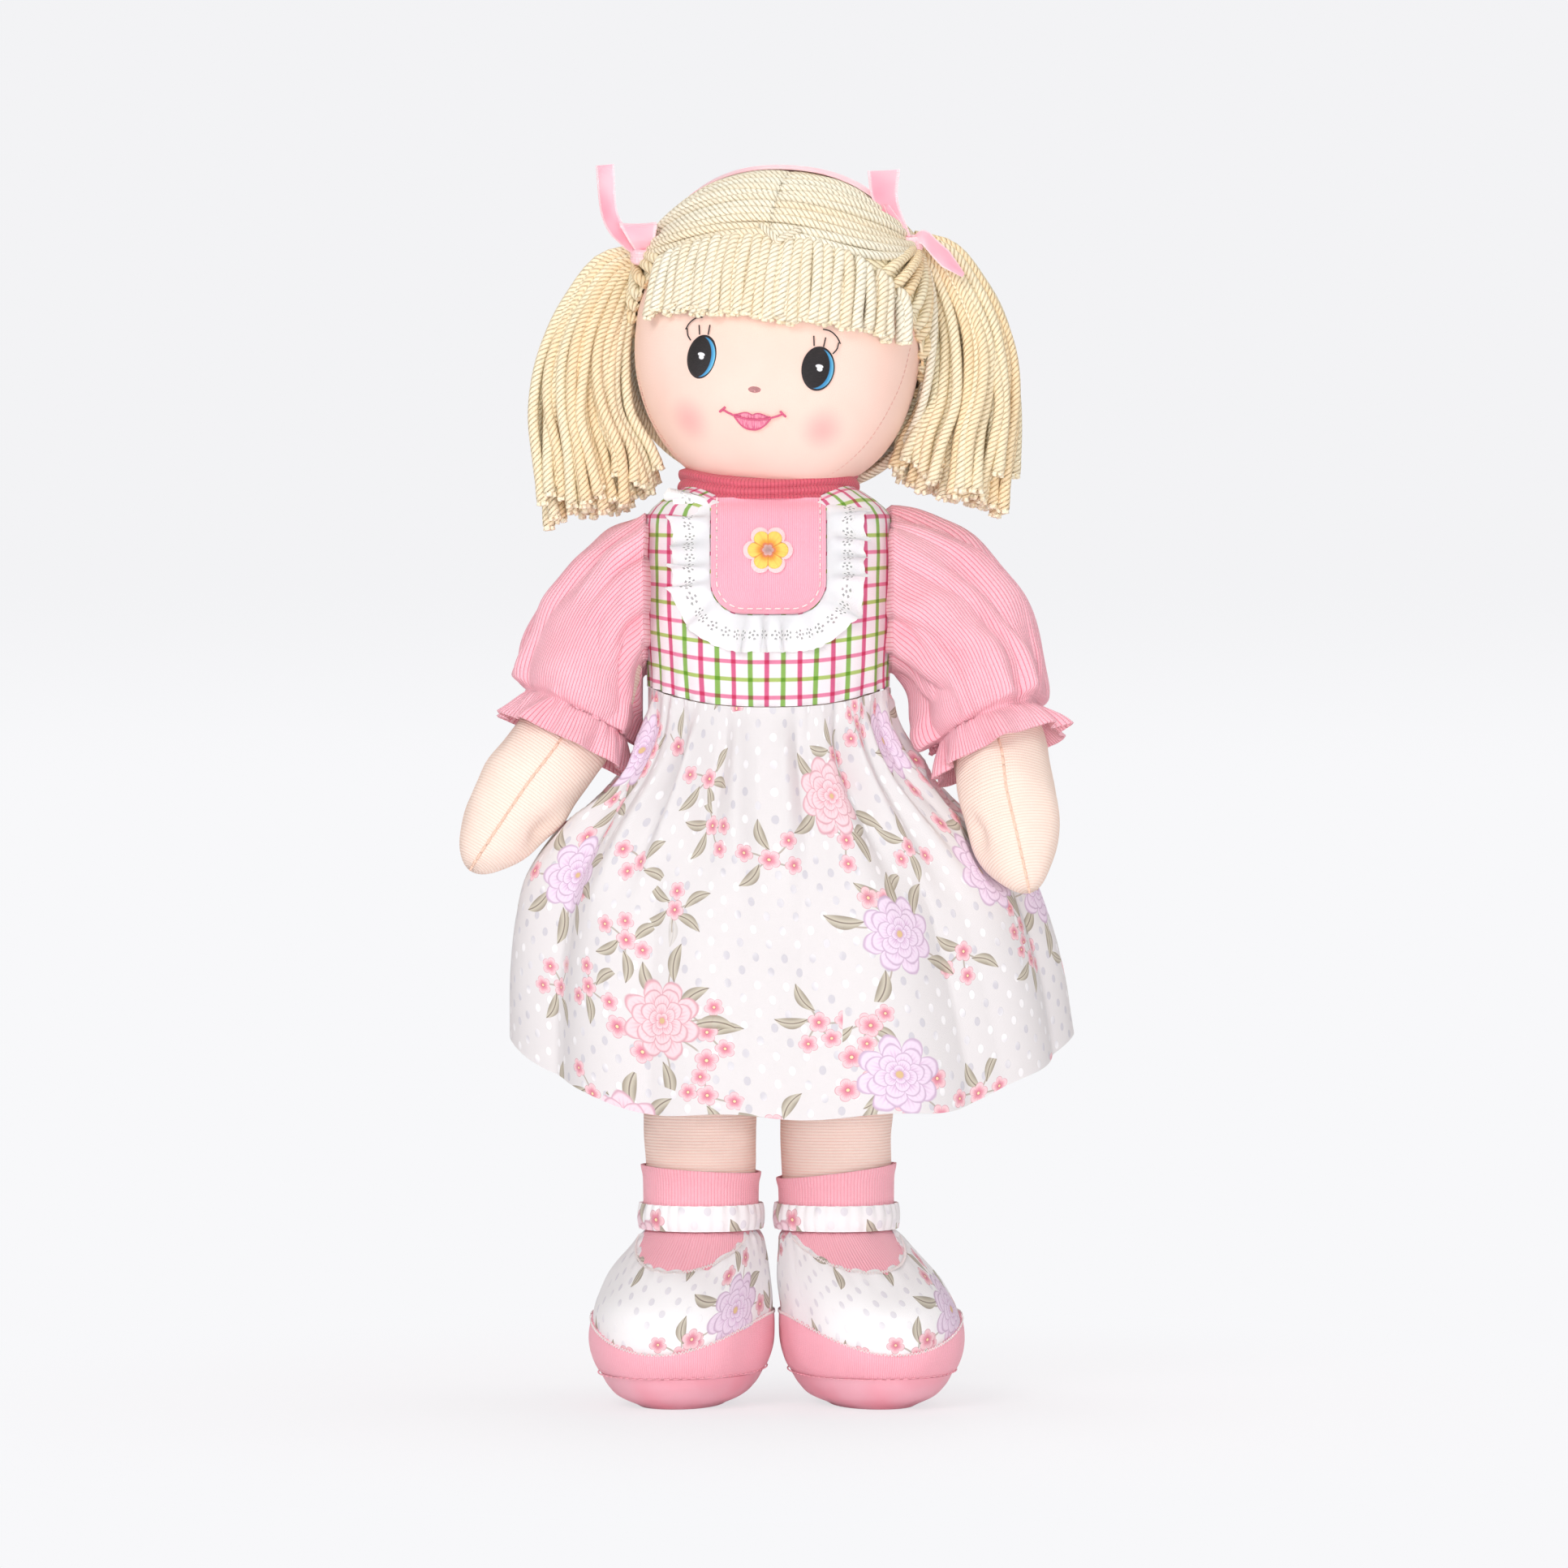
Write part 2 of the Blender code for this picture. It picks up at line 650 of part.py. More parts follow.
def bib_edge(share):
    """A place along the bib's edge, down one side and up the other, and its outward direction."""
    side = BIB_DROP - BIB_TOP_DROP - BIB_CORNER
    arc = BIB_CORNER * math.pi / 2
    base = BIB_WIDTH - 2 * BIB_CORNER
    run = np.abs(share - 1 / 2) * (2 * side + 2 * arc + base)
    sign = np.where(share < 1 / 2, -1, 1)
    turn = np.clip((run - base / 2) / BIB_CORNER, 0, math.pi / 2)
    x = np.minimum(run, base / 2) + BIB_CORNER * np.sin(turn)
    low = TORSO_TOP - BIB_DROP + BIB_CORNER
    z = low - BIB_CORNER * np.cos(turn) + np.clip(run - base / 2 - arc, 0, None)
    return sign * x, z, sign * np.sin(turn), -np.cos(turn)


def make_lace():
    """The gathered trim round the bib, its pleats deeper toward the free edge."""
    share = np.linspace(0, 1, LACE_WAVES * 4 + 1)
    x, z, out_x, out_z = bib_edge(share)
    way = column(np.linspace(1, 0, 3))
    reach = LAYER_GAP + LACE_WIDTH * way
    sheet = torso_front(x + reach * out_x, z + reach * out_z)
    wave = (1 + np.cos(2 * math.pi * LACE_WAVES * share)) / 2 * LACE_WAVE * np.sqrt(way)
    base = pushed(sheet, 1, False) - sheet
    sheet = sheet + base * (CLOTH + 2 * LAYER_GAP + wave)[..., None]
    return cloth("lace_trim", sheet, LACE_THICKNESS, "lace", False)


def make_flower():
    """The six-petalled satin patch in the middle of the bib."""
    phi = around(PETALS * 6)
    petal = 1 - PETAL_NOTCH_SHARE * (1 - np.sqrt(np.abs(np.cos(phi * PETALS / 2))))
    reach = FLOWER_RADIUS * petal * column(PETAL_ROW_SHARES)
    middle = TORSO_TOP - FLOWER_DROP
    lift = BACKWARD * (2 * CLOTH + 3 * LAYER_GAP)
    sheet = torso_front(reach * np.cos(phi), middle + reach * np.sin(phi)) - lift
    centre = torso_front(np.array(0.0), np.array(middle)) - lift
    return cloth("flower_patch", sheet, FLOWER_THICKNESS, "flower_satin", True, top=centre)


def make_collar(chin):
    """The rolled rib collar, a ring of soft folds round the neck."""
    climb = np.linspace(0, 1, 2 * COLLAR_FOLDS + 1)
    fold = COLLAR_FOLD_DEPTH * (1 - np.abs(np.sin(climb * COLLAR_FOLDS * math.pi)))
    bottom = TORSO_TOP + CLOTH + 2 * LAYER_GAP
    loop = [(bottom + COLLAR_HEIGHT * t, depth) for t, depth in zip(climb, fold)]
    loop += [(bottom + COLLAR_HEIGHT, COLLAR_THICKNESS), (bottom, COLLAR_THICKNESS)]
    z, depth = (column(values) for values in zip(*loop))
    phi = around(28)
    x, y = oval(phi, COLLAR_WIDTH / 2 - depth, COLLAR_DEPTH / 2 - depth, 2)
    collar = loop_ring("collar", stack(x, y, z), "pink_knit")
    combine(collar, chin, "DIFFERENCE")
    return collar


def waist_size():
    """Half the width and depth that the skirt's gathers start from, just round the bodice."""
    width, _ = profile(TORSO_SHARES, WAIST_SIDE_RISE / TORSO_LENGTH)
    _, depth = profile(TORSO_SHARES, WAIST_CENTRE_RISE / TORSO_LENGTH)
    layers = 2 * LAYER_GAP + CLOTH + SKIRT_GATHER_DEPTH
    return TORSO_WIDTH / 2 * width + layers, TORSO_DEPTH / 2 * depth + layers


def pressed(grid, waist):
    """The skirt's cloth, drawn in where an arm or a sleeve lies against it, down to the waist."""
    middle = grid * (0, 0, 1)
    inward = unit(middle - grid)
    depth = np.zeros(grid.shape[:2])
    room = SKIRT_CLOTH + SKIRT_PRESS_GAP
    for side in SIDES:
        line, radii = arm_room(side)
        for centre, radius in zip(line, radii + room):
            away = grid - centre
            along = -(away * inward).sum(axis=-1)
            reach = along**2 - (away**2).sum(axis=-1) + radius**2
            inside = np.linalg.norm(away, axis=-1) < radius
            depth = np.maximum(depth, inside * (along + np.sqrt(np.clip(reach, 0, None))))
    drawn = grid + inward * depth[..., None]
    girth = np.linalg.norm(drawn[..., :2], axis=-1, keepdims=True)
    least = np.linalg.norm(waist, axis=-1, keepdims=True)
    drawn[..., :2] *= np.maximum(girth, np.minimum(least, girth + depth[..., None])) / girth
    return drawn


def make_skirt():
    """The gathered skirt, flaring from the waist seam in folds to a hem that lifts at the sides."""
    phi = around(SKIRT_FOLDS * 4)
    length = column(np.linspace(0, 1, 11))
    width, depth, folds, square = profile(SKIRT_SHARES, length)
    waist_x, waist_y = waist_size()
    half_x = waist_x + (SKIRT_HEM_WIDTH / 2 - waist_x) * width
    half_y = waist_y + (SKIRT_HEM_DEPTH / 2 - waist_y) * depth
    wave = np.cos(SKIRT_FOLDS * phi) * (SKIRT_GATHER_DEPTH + SKIRT_FOLD_DEPTH * folds)
    power = 2 + (TORSO_POWER - 2) * square
    x, y = oval(phi, half_x + wave, half_y + wave, power)
    x = x + SKIRT_SWAY * length * width
    waist = stack(*oval(phi, waist_x, waist_y, TORSO_POWER), 0)[..., :2]
    top = SIT_PIVOT_HEIGHT + waist_rise(phi) - LAYER_GAP
    front = SIT_PIVOT_HEIGHT + WAIST_CENTRE_RISE - SKIRT_LENGTH
    hem = front + SKIRT_SIDE_LIFT * np.cos(phi) ** 4
    z = top + (hem - top) * length
    grid = pressed(stack(x, y, z)[::-1], waist)
    return cloth("skirt", grid, SKIRT_CLOTH, "floral", True)


def arm_centres(side):
    """Shoulder, cuff and fingertip of an arm."""
    sign = SIDES[side]
    shoulder = np.array((sign * ARMHOLE_REACH, 0, SHOULDER_HEIGHT))
    upper = UPPER_ARM_ANGLE[side]
    reach = UPPER_ARM_LENGTH[side]
    cuff = shoulder + reach * np.array((sign * math.sin(upper), 0, -math.cos(upper)))
    cuff[1] -= ARM_FORWARD[side] / 4
    fore = FOREARM_ANGLE[side]
    reach = FOREARM_LENGTH[side]
    tip = cuff + reach * np.array((sign * math.sin(fore), 0, -math.cos(fore)))
    tip[1] = -ARM_FORWARD[side]
    return shoulder, cuff, tip


def arm_line(side):
    """The arm's centre line as a table: place along it, then the point."""
    shoulder, cuff, tip = arm_centres(side)
    _, out, down = np.array(SLEEVE_SHARES[1][:3])
    rounding = shoulder + (cuff - shoulder) * (out, (out + down) / 2, down)
    bend = (cuff + tip) / 2
    middle = (1 + CUFF_SHARE) / 2
    rows = ((0, shoulder), (CUFF_SHARE / 2, rounding), (CUFF_SHARE, cuff), (middle, bend), (1, tip))
    return [(place, *point) for place, point in rows]


def arm_frames(side, place):
    """Centres along an arm with the outward and the front-to-back direction across it."""
    line = arm_line(side)
    step = 1 / 100
    centre = np.moveaxis(profile(line, place), 0, -1)
    ahead = np.moveaxis(profile(line, np.minimum(place + step, 1)), 0, -1)
    behind = np.moveaxis(profile(line, np.maximum(place - step, 0)), 0, -1)
    along = unit(ahead - behind)
    out = unit(SIDES[side] * np.cross(along, BACKWARD))
    return centre, out, np.cross(along, out)


def ring_grid(centre, out, side_way, radius_out, radius_side, phi):
    """Rings round a line of centres."""
    first = (radius_out * np.cos(phi))[..., None] * out[:, None, :]
    second = (radius_side * np.sin(phi))[..., None] * side_way[:, None, :]
    return centre[:, None, :] + first + second


def hand_rounding(place):
    """The share of the arm's radius that is left where the hand rounds off."""
    return np.sqrt(1 - np.clip((place - HAND_SHARE) / (1 - HAND_SHARE), 0, 1) ** 2)


def sleeve_line(side, place):
    """Centres along the sleeve, the directions across it and its radius."""
    sign = SIDES[side]
    shoulder, cuff, _ = arm_centres(side)
    out_way, down_way, turn, shrink, puff = profile(SLEEVE_SHARES, place)
    ways = np.stack((out_way, (out_way + down_way) / 2, down_way), axis=-1)
    _, cuff_out, cuff_side = arm_frames(side, np.array((CUFF_SHARE,)))
    start = np.array((sign, 0, 0))
    along = unit(start + (np.cross(cuff_out, cuff_side) - start) * turn[:, None])
    out = unit(sign * np.cross(along, BACKWARD))
    radius = ARMHOLE_RADIUS + (CUFF_RADIUS - ARMHOLE_RADIUS) * shrink + SLEEVE_PUFF * puff
    return shoulder + (cuff - shoulder) * ways, out, np.cross(along, out), radius


def arm_room(side):
    """Balls that hold the sleeve, its frill and the forearm: their centres and radii."""
    sleeve, out, side_way, girth = sleeve_line(side, np.linspace(0, 1, 9))
    way = np.linspace(0, 1, 4)
    along = np.cross(out[-1], side_way[-1])
    frill = sleeve[-1] + along * FRILL_LENGTH * way[:, None]
    frill_radius = CUFF_RADIUS + (FRILL_FLARE + FRILL_WAVE) * way
    place = np.linspace(CUFF_SHARE, 1.0, 24)
    centre, _, _ = arm_frames(side, place)
    wide, _ = profile(ARM_SHARES, place)
    radii = np.concatenate((girth, frill_radius, ARM_RADIUS * wide * hand_rounding(place)))
    return np.vstack((sleeve, frill, centre)), radii


def make_arm(side):
    """The stuffed arm: a seam disc at the shoulder, a bent forearm and a rounded hand."""
    sign = SIDES[side]
    hand = HAND_SHARE + (1 - HAND_SHARE) * np.sin(np.linspace(0.25, 0.95, 5) * math.pi / 2)
    place = np.concatenate((np.linspace(0, HAND_SHARE, 6), hand))
    centre, out, side_way = arm_frames(side, place)
    centre[0, 0] = sign * ARMHOLE_REACH
    out[0] = UP
    side_way[0] = np.cross((sign, 0, 0), UP)
    wide, deep = profile(ARM_SHARES, place)
    rounding = hand_rounding(place)
    phi = around(LIMB_SIDES)
    swing = column(ARM_RADIUS * wide * rounding)
    depth = column(ARM_RADIUS * deep * rounding)
    rings = ring_grid(centre, out, side_way, swing, depth, phi)
    beside = ARMHOLE_REACH + 2 * CLOTH + 2 * SEAM_GAP
    rings[1:, :, 0] = sign * np.maximum(sign * rings[1:, :, 0], beside)
    return stuffed(f"arm_{side}", rings, "skin_knit", top=arm_centres(side)[2])


def make_sleeve(side):
    """The puffed sleeve: round at the armhole, gathered at the cuff, then a flared frill."""
    sign = SIDES[side]
    centre, out, side_way, radius = sleeve_line(side, np.linspace(0, 1, 9))
    phi = around(FRILL_WAVES * 4)
    flare = column((0.5, 1.0))
    along = np.cross(out[-1], side_way[-1])
    frill_centre = centre[-1] + along * FRILL_LENGTH * flare
    frill_wave = FRILL_WAVE * np.cos(FRILL_WAVES * phi)
    frill_radius = CUFF_RADIUS + (FRILL_FLARE + frill_wave) * flare
    centre = np.vstack((centre, frill_centre))
    out = np.vstack((out, out[-1:], out[-1:]))
    side_way = np.vstack((side_way, side_way[-1:], side_way[-1:]))
    radius = np.vstack((column(radius) + 0 * phi, frill_radius))
    rings = ring_grid(centre, out, side_way, radius, radius, phi)
    beside = ARMHOLE_REACH + CLOTH + SEAM_GAP
    rings[1:, :, 0] = sign * np.maximum(sign * rings[1:, :, 0], beside)
    return cloth(f"sleeve_{side}", rings, CLOTH, "pink_knit", True)


def make_elastic(side):
    """The elastic that draws the cuff in, a ring between the arm and the sleeve."""
    centre, out, side_way = arm_frames(side, np.array((CUFF_SHARE,)))
    along = np.cross(out, side_way)
    thick = (CUFF_RADIUS - ARM_RADIUS - 3 * LAYER_GAP) / 2
    middle = (CUFF_RADIUS + ARM_RADIUS + LAYER_GAP) / 2
    phi = around(24)
    section = around(5)[:, None]
    reach = (middle + thick * np.cos(section))[..., None]
    ring = np.cos(phi)[:, None] * out + np.sin(phi)[:, None] * side_way
    rise = (thick * np.sin(section))[..., None] * along
    return loop_ring(f"cuff_elastic_{side}", centre + reach * ring + rise, "elastic")


def head_reach(direction, extra):
    """How far the head's skin lies from its centre along a direction, a layer further out."""
    rise = np.where(direction[..., 2] > 0, CROWN_HEIGHT, CHIN_DROP) + extra
    total = (
        np.abs(direction[..., 0] / (HEAD_WIDTH / 2 + extra)) ** HEAD_POWER
        + np.abs(direction[..., 1] / (HEAD_DEPTH / 2 + extra)) ** HEAD_POWER
        + np.abs(direction[..., 2] / rise) ** HEAD_POWER
    )
    return total ** (-1 / HEAD_POWER)


def head_points(direction, extra):
    """Points of the head's skin along directions, measured from the neck's pivot."""
    return direction * head_reach(direction, extra)[..., None] + UP * HEAD_RISE


def head_front(x, z, extra):
    """The face's point at a place across and a height above the head's centre."""
    rise = np.where(z > 0, CROWN_HEIGHT, CHIN_DROP) + extra
    rest = (
        1
        - np.abs(x / (HEAD_WIDTH / 2 + extra)) ** HEAD_POWER
        - np.abs(z / rise) ** HEAD_POWER
    )
    y = -(HEAD_DEPTH / 2 + extra) * np.clip(rest, 0, 1) ** (1 / HEAD_POWER)
    return stack(x, y, z + HEAD_RISE)


def head_rings(extra, rows, columns):
    """Rings of the head's skin from near the chin to near the crown."""
    theta = column(np.linspace(0, math.pi, rows + 2)[1:-1])
    phi = around(columns)
    direction = stack(np.sin(theta) * np.cos(phi), np.sin(theta) * np.sin(phi), -np.cos(theta))
    return head_points(direction, extra)


def head_pole(direction, extra):
    """The head's highest or lowest point."""
    return head_points(np.array((0.0, 0.0, direction)), extra)


def make_head(empty):
    """The stuffed head, hollowed under for the neck's ball."""
    rings = head_rings(0, 12, 28)
    head = stuffed("head", rings, "skin_knit", head_pole(-1, 0), head_pole(1, 0))
    socket = ball_cutter("neck_socket", NECK_BALL_RADIUS + 2 * JOINT_GAP, (0, 0, 0), 14, 28)
    head.parent = empty
    socket.parent = empty
    combine(head, socket, "DIFFERENCE")
    return head


def head_cutter(name, extra, empty):
    """The head's shape a layer further out, to cut what lies against it."""
    rings = head_rings(extra, 17, 36)
    shape = cutter(name, rings, head_pole(-1, extra), head_pole(1, extra))
    shape.parent = empty
    return shape


def make_neck():
    """The neck: a ball cut flat where it stands on the torso."""
    centre = (0, 0, NECK_PIVOT_HEIGHT)
    rings = ball(NECK_BALL_RADIUS, centre, 10, 22, LAYER_GAP - NECK_RISE)
    top = np.array(centre) + UP * NECK_BALL_RADIUS
    return stuffed("neck", rings, "skin_knit", top=top)


def hair_directions(away, angle):
    """Directions at an angle from the hair's middle, which tilts back from straight up."""
    axis = np.array((0.0, math.sin(HAIR_TILT), math.cos(HAIR_TILT)))
    right = np.array((1.0, 0.0, 0.0))
    across = np.cross(axis, right)
    sine = np.sin(away)[..., None]
    turn = np.cos(angle)[..., None] * right + np.sin(angle)[..., None] * across
    return np.cos(away)[..., None] * axis + sine * turn


def make_hair_cap(empty):
    """The yarn laid over the scalp, a thick closed layer down to the nape."""
    away = column(np.linspace(HAIR_REACH, HAIR_REACH / 8, 8))
    phi = around(28)
    away, angle = np.broadcast_arrays(away, phi)
    grid = head_points(hair_directions(away, angle), HAIR_GAP)
    top = head_points(hair_directions(np.array(0.0), np.array(0.0)), HAIR_GAP)
    cap = cloth("hair_cap", grid, YARN_LAYER, "yarn", True, top=top)
    cap.parent = empty
    return cap


def fringe_root(x):
    """The height above the head's centre where the fringe starts, along the hair's edge."""
    z = np.linspace(0, CROWN_HEIGHT, 300)[:, None]
    point = head_front(x[None, :] + 0 * z, z + 0 * x, LAYER_GAP) - UP * HEAD_RISE
    axis = np.array((0.0, math.sin(HAIR_TILT), math.cos(HAIR_TILT)))
    away = np.arccos(unit(point) @ axis)
    inside = away > HAIR_REACH + FRINGE_GAP_ANGLE
    return (z * inside).max(axis=0)


def make_fringe(empty):
    """The fringe that hangs from the hair's edge over the forehead."""
    x = FRINGE_SHIFT + np.linspace(-1, 1, 19) * FRINGE_WIDTH / 2
    root = fringe_root(x)
    z = FRINGE_END_RISE + (root - FRINGE_END_RISE) * column(np.linspace(0, 1, 5))
    grid = head_front(x + 0 * z, z, 2 * LAYER_GAP)
    fringe = cloth("fringe", grid, YARN_LAYER, "yarn", False)
    fringe.parent = empty
    return fringe


def face_patch(name, x, z, centre, finish, empty):
    """A piece of embroidery raised on the face."""
    grid = head_front(x, z, LAYER_GAP)
    middle = head_front(np.array(centre[0]), np.array(centre[1]), LAYER_GAP)
    patch = cloth(name, grid, THREAD_RELIEF, finish, True, top=middle)
    patch.parent = empty
    return patch


def make_face(empty):
    """The embroidered eyes, nose and mouth."""
    phi = around(20)
    ring = column((1.0, 0.55))
    pieces = []
    for side, sign in SIDES.items():
        centre = (EYE_SPACING / 2 * sign, -EYE_DROP)
        x = centre[0] + EYE_WIDTH / 2 * ring * np.cos(phi)
        z = centre[1] + EYE_HEIGHT / 2 * ring * np.sin(phi)
        pieces.append(face_patch(f"eye_{side}", x, z, centre, "eye_thread", empty))
    centre = (0.0, -NOSE_DROP)
    x = NOSE_WIDTH / 2 * ring * np.cos(phi)
    z = centre[1] + NOSE_HEIGHT / 2 * ring * np.sin(phi)
    pieces.append(face_patch("nose", x, z, centre, "pink_satin", empty))
    across = np.linspace(-1, 1, 17)
    upper, lower = profile(LIP_SHARES, np.abs(across))
    smile = SMILE_RISE * across**2 - MOUTH_DROP
    way = column((0.0, 0.5, 1.0))
    z = smile + LIP_HEIGHT * (lower + (upper - lower) * way)
    x = across * MOUTH_WIDTH / 2 + 0 * z
    mouth = cloth("mouth", head_front(x, z, LAYER_GAP), THREAD_RELIEF, "mouth_thread", False)
    mouth.parent = empty
    return pieces + [mouth]


def make_crown_ribbon(empty):
    """The ribbon that lies over the crown from one tie toward the other."""
    arc = np.linspace(-1, 1, 19)
    alpha = arc * CROWN_RIBBON_SPAN
    beta = column(np.linspace(CROWN_RIBBON_START, CROWN_RIBBON_END, 3))
    direction = stack(np.sin(alpha) * np.cos(beta), np.sin(beta), np.cos(alpha) * np.cos(beta))
    slack = CROWN_RIBBON_SLACK * (1 - arc**4)
    grid = head_points(direction, HAIR_GAP + YARN_LAYER + LAYER_GAP)
    grid = grid + unit(grid - UP * HEAD_RISE) * slack[None, :, None]
    ribbon = cloth("crown_ribbon", grid, RIBBON_THICKNESS, "pink_satin", False)
    ribbon.parent = empty
    return ribbon


def tie_place(side):
    """Where a pigtail is tied."""
    reach = TIE_REACH[side] * SIDES[side]
    return np.array((reach, PIGTAIL_SETBACK, NECK_PIVOT_HEIGHT + TIE_RISE[side]))


def knot_place(side):
    """The middle of a bow's knot, in front of the tie."""
    return tie_place(side) - BACKWARD * (PIGTAIL_SETBACK + KNOT_FORWARD)


def make_pigtail(side, scalp):
    """A hanging bundle of yarn that fans out from its tie, cut by the hair and the knot."""
    sign = SIDES[side]
    tie = tie_place(side)
    place = np.linspace(0, 1, 10)
    out_x, out_z, in_x, in_z, deep = profile(PIGTAIL_SHARES, place)
    outer = np.stack((sign * out_x * PIGTAIL_REACH, 0 * deep, -out_z * PIGTAIL_LENGTH), axis=-1)
    inner = np.stack((sign * in_x * PIGTAIL_REACH, 0 * deep, -in_z * PIGTAIL_LENGTH), axis=-1)
    centre = tie + (outer + inner) / 2
    radius = np.linalg.norm(outer - inner, axis=1) / 2
    out = unit(outer - inner)
    side_way = np.zeros_like(out)
    side_way[:, 1] = -sign
    rings = ring_grid(
        centre, out, side_way, column(radius), column(PIGTAIL_DEPTH / 2 * deep), around(20)
    )
    pigtail = stuffed(f"pigtail_{side}", rings, "yarn")
    combine(pigtail, scalp, "DIFFERENCE")
    room = KNOT_RADIUS + 2 * LAYER_GAP
    knot = ball_cutter(f"knot_room_{side}", room, knot_place(side), 9, 18)
    combine(pigtail, knot, "DIFFERENCE")
    return pigtail


def ribbon_strip(name, start, end, width_way):
    """One tail of a ribbon, curling a little on its way."""
    way = np.linspace(0, 1, 7)
    bend = np.cross(unit(end - start), width_way) * RIBBON_WIDTH / 4
    line = start + (end - start) * way[:, None] + bend * np.sin(math.pi * way)[:, None]
    across = column((-0.5, 0.5))[..., None] * width_way * RIBBON_WIDTH
    grid = line[None] + across
    return cloth(name, grid, RIBBON_THICKNESS, "pink_satin", False)


def make_bow(side, scalp):
    """The satin bow that ties a pigtail: its knot and its tails."""
    knot = knot_place(side)
    bow = stuffed(f"bow_{side}", ball(KNOT_RADIUS, knot, 8, 16), "pink_satin")
    for number, shares in enumerate(RIBBON_TAIL_SHARES[side]):
        reach = np.array(shares) * (SIDES[side], 1, 1) * RIBBON_TAIL
        end = knot + reach
        width_way = unit(np.cross(BACKWARD, reach))
        tail = ribbon_strip(f"tail_{number}_{side}", knot, end, width_way)
        tail.hide_render = True
        tail.display_type = "WIRE"
        combine(bow, tail, "UNION")
    combine(bow, scalp, "DIFFERENCE")
    return bow


def clear_scene():
    """Start from an empty scene."""
    for obj in list(bpy.data.objects):
        bpy.data.objects.remove(obj, do_unlink=True)


def build():
    """Model every piece and hang the moving ones on their joints."""
    clear_scene()
    make_torso()
    make_bodice()
    make_bib()
    make_lace()
    make_flower()
    make_skirt()

    neck_pivot = pivot("neck_pivot", (0, 0, NECK_PIVOT_HEIGHT))
    hang(make_neck(), neck_pivot)
    head_pivot = pivot("head_pivot", (0, 0, NECK_PIVOT_HEIGHT))
    head_pivot.rotation_euler = (0, HEAD_ROLL, HEAD_TURN)
    make_head(head_pivot)
    make_face(head_pivot)
    make_hair_cap(head_pivot)
    make_fringe(head_pivot)
    make_crown_ribbon(head_pivot)
    make_collar(head_cutter("chin_room", 2 * LAYER_GAP, head_pivot))
    scalp = head_cutter("scalp_room", HAIR_GAP + YARN_LAYER + 2 * LAYER_GAP, head_pivot)

    sit_pivot = pivot("sit_pivot", (0, 0, SIT_PIVOT_HEIGHT))
    hang(make_hips(), sit_pivot)
    for side in SIDES:
        shoulder = pivot(f"shoulder_{side}_pivot", arm_centres(side)[0])
        for piece in (make_arm(side), make_sleeve(side), make_elastic(side)):
            hang(piece, shoulder)
        hip = (LEG_SPACING / 2 * SIDES[side], 0, LEG_PIVOT_HEIGHT)
        leg_pivot = pivot(f"hip_{side}_pivot", hip)
        for piece in make_leg(side) + make_foot(side):
            hang(piece, leg_pivot)
        tie_pivot = pivot(f"pigtail_{side}_pivot", tie_place(side))
        hang(make_pigtail(side, scalp), tie_pivot)
        make_bow(side, scalp)


build()
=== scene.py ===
# %% [markdown]
# # A rag doll with yarn pigtails
# The doll is sewn from rib knits, plaid cotton, flowered jacquard, satin ribbon and plied yarn.
# Nothing on it is hard, so each piece is a soft surface worked out with numpy, with a procedural
# fabric on it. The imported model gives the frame: its bodies and its joints.

# %% Load the frame
import json
import math
from functools import partialmethod

import bpy
import numpy as np
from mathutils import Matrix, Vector
from mathutils.bvhtree import BVHTree

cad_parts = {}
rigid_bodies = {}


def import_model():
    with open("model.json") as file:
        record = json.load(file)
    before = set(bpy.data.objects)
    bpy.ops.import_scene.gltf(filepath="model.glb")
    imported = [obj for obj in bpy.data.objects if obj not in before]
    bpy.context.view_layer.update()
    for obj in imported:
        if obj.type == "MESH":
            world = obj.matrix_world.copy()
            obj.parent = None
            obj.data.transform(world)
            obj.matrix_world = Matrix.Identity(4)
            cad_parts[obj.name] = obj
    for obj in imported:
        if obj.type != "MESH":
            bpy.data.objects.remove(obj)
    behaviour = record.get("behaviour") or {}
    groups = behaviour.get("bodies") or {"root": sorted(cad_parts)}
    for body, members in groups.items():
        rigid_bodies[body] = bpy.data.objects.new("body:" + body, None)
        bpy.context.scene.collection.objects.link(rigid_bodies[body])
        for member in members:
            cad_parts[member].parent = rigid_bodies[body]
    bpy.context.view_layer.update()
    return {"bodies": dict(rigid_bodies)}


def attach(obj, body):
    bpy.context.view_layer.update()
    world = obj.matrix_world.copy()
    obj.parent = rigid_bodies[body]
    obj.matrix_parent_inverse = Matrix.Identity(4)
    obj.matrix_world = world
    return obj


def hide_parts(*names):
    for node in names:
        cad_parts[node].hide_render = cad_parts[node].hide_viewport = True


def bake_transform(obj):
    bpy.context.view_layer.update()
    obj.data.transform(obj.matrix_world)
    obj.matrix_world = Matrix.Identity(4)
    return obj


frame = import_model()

print("bodies:", ", ".join(sorted(frame["bodies"])))

# %% [markdown]
# ## Sizes
# Every length is in metres and has a name. They are the sizes that the solids were drawn to,
# so each soft surface lands where its solid is.

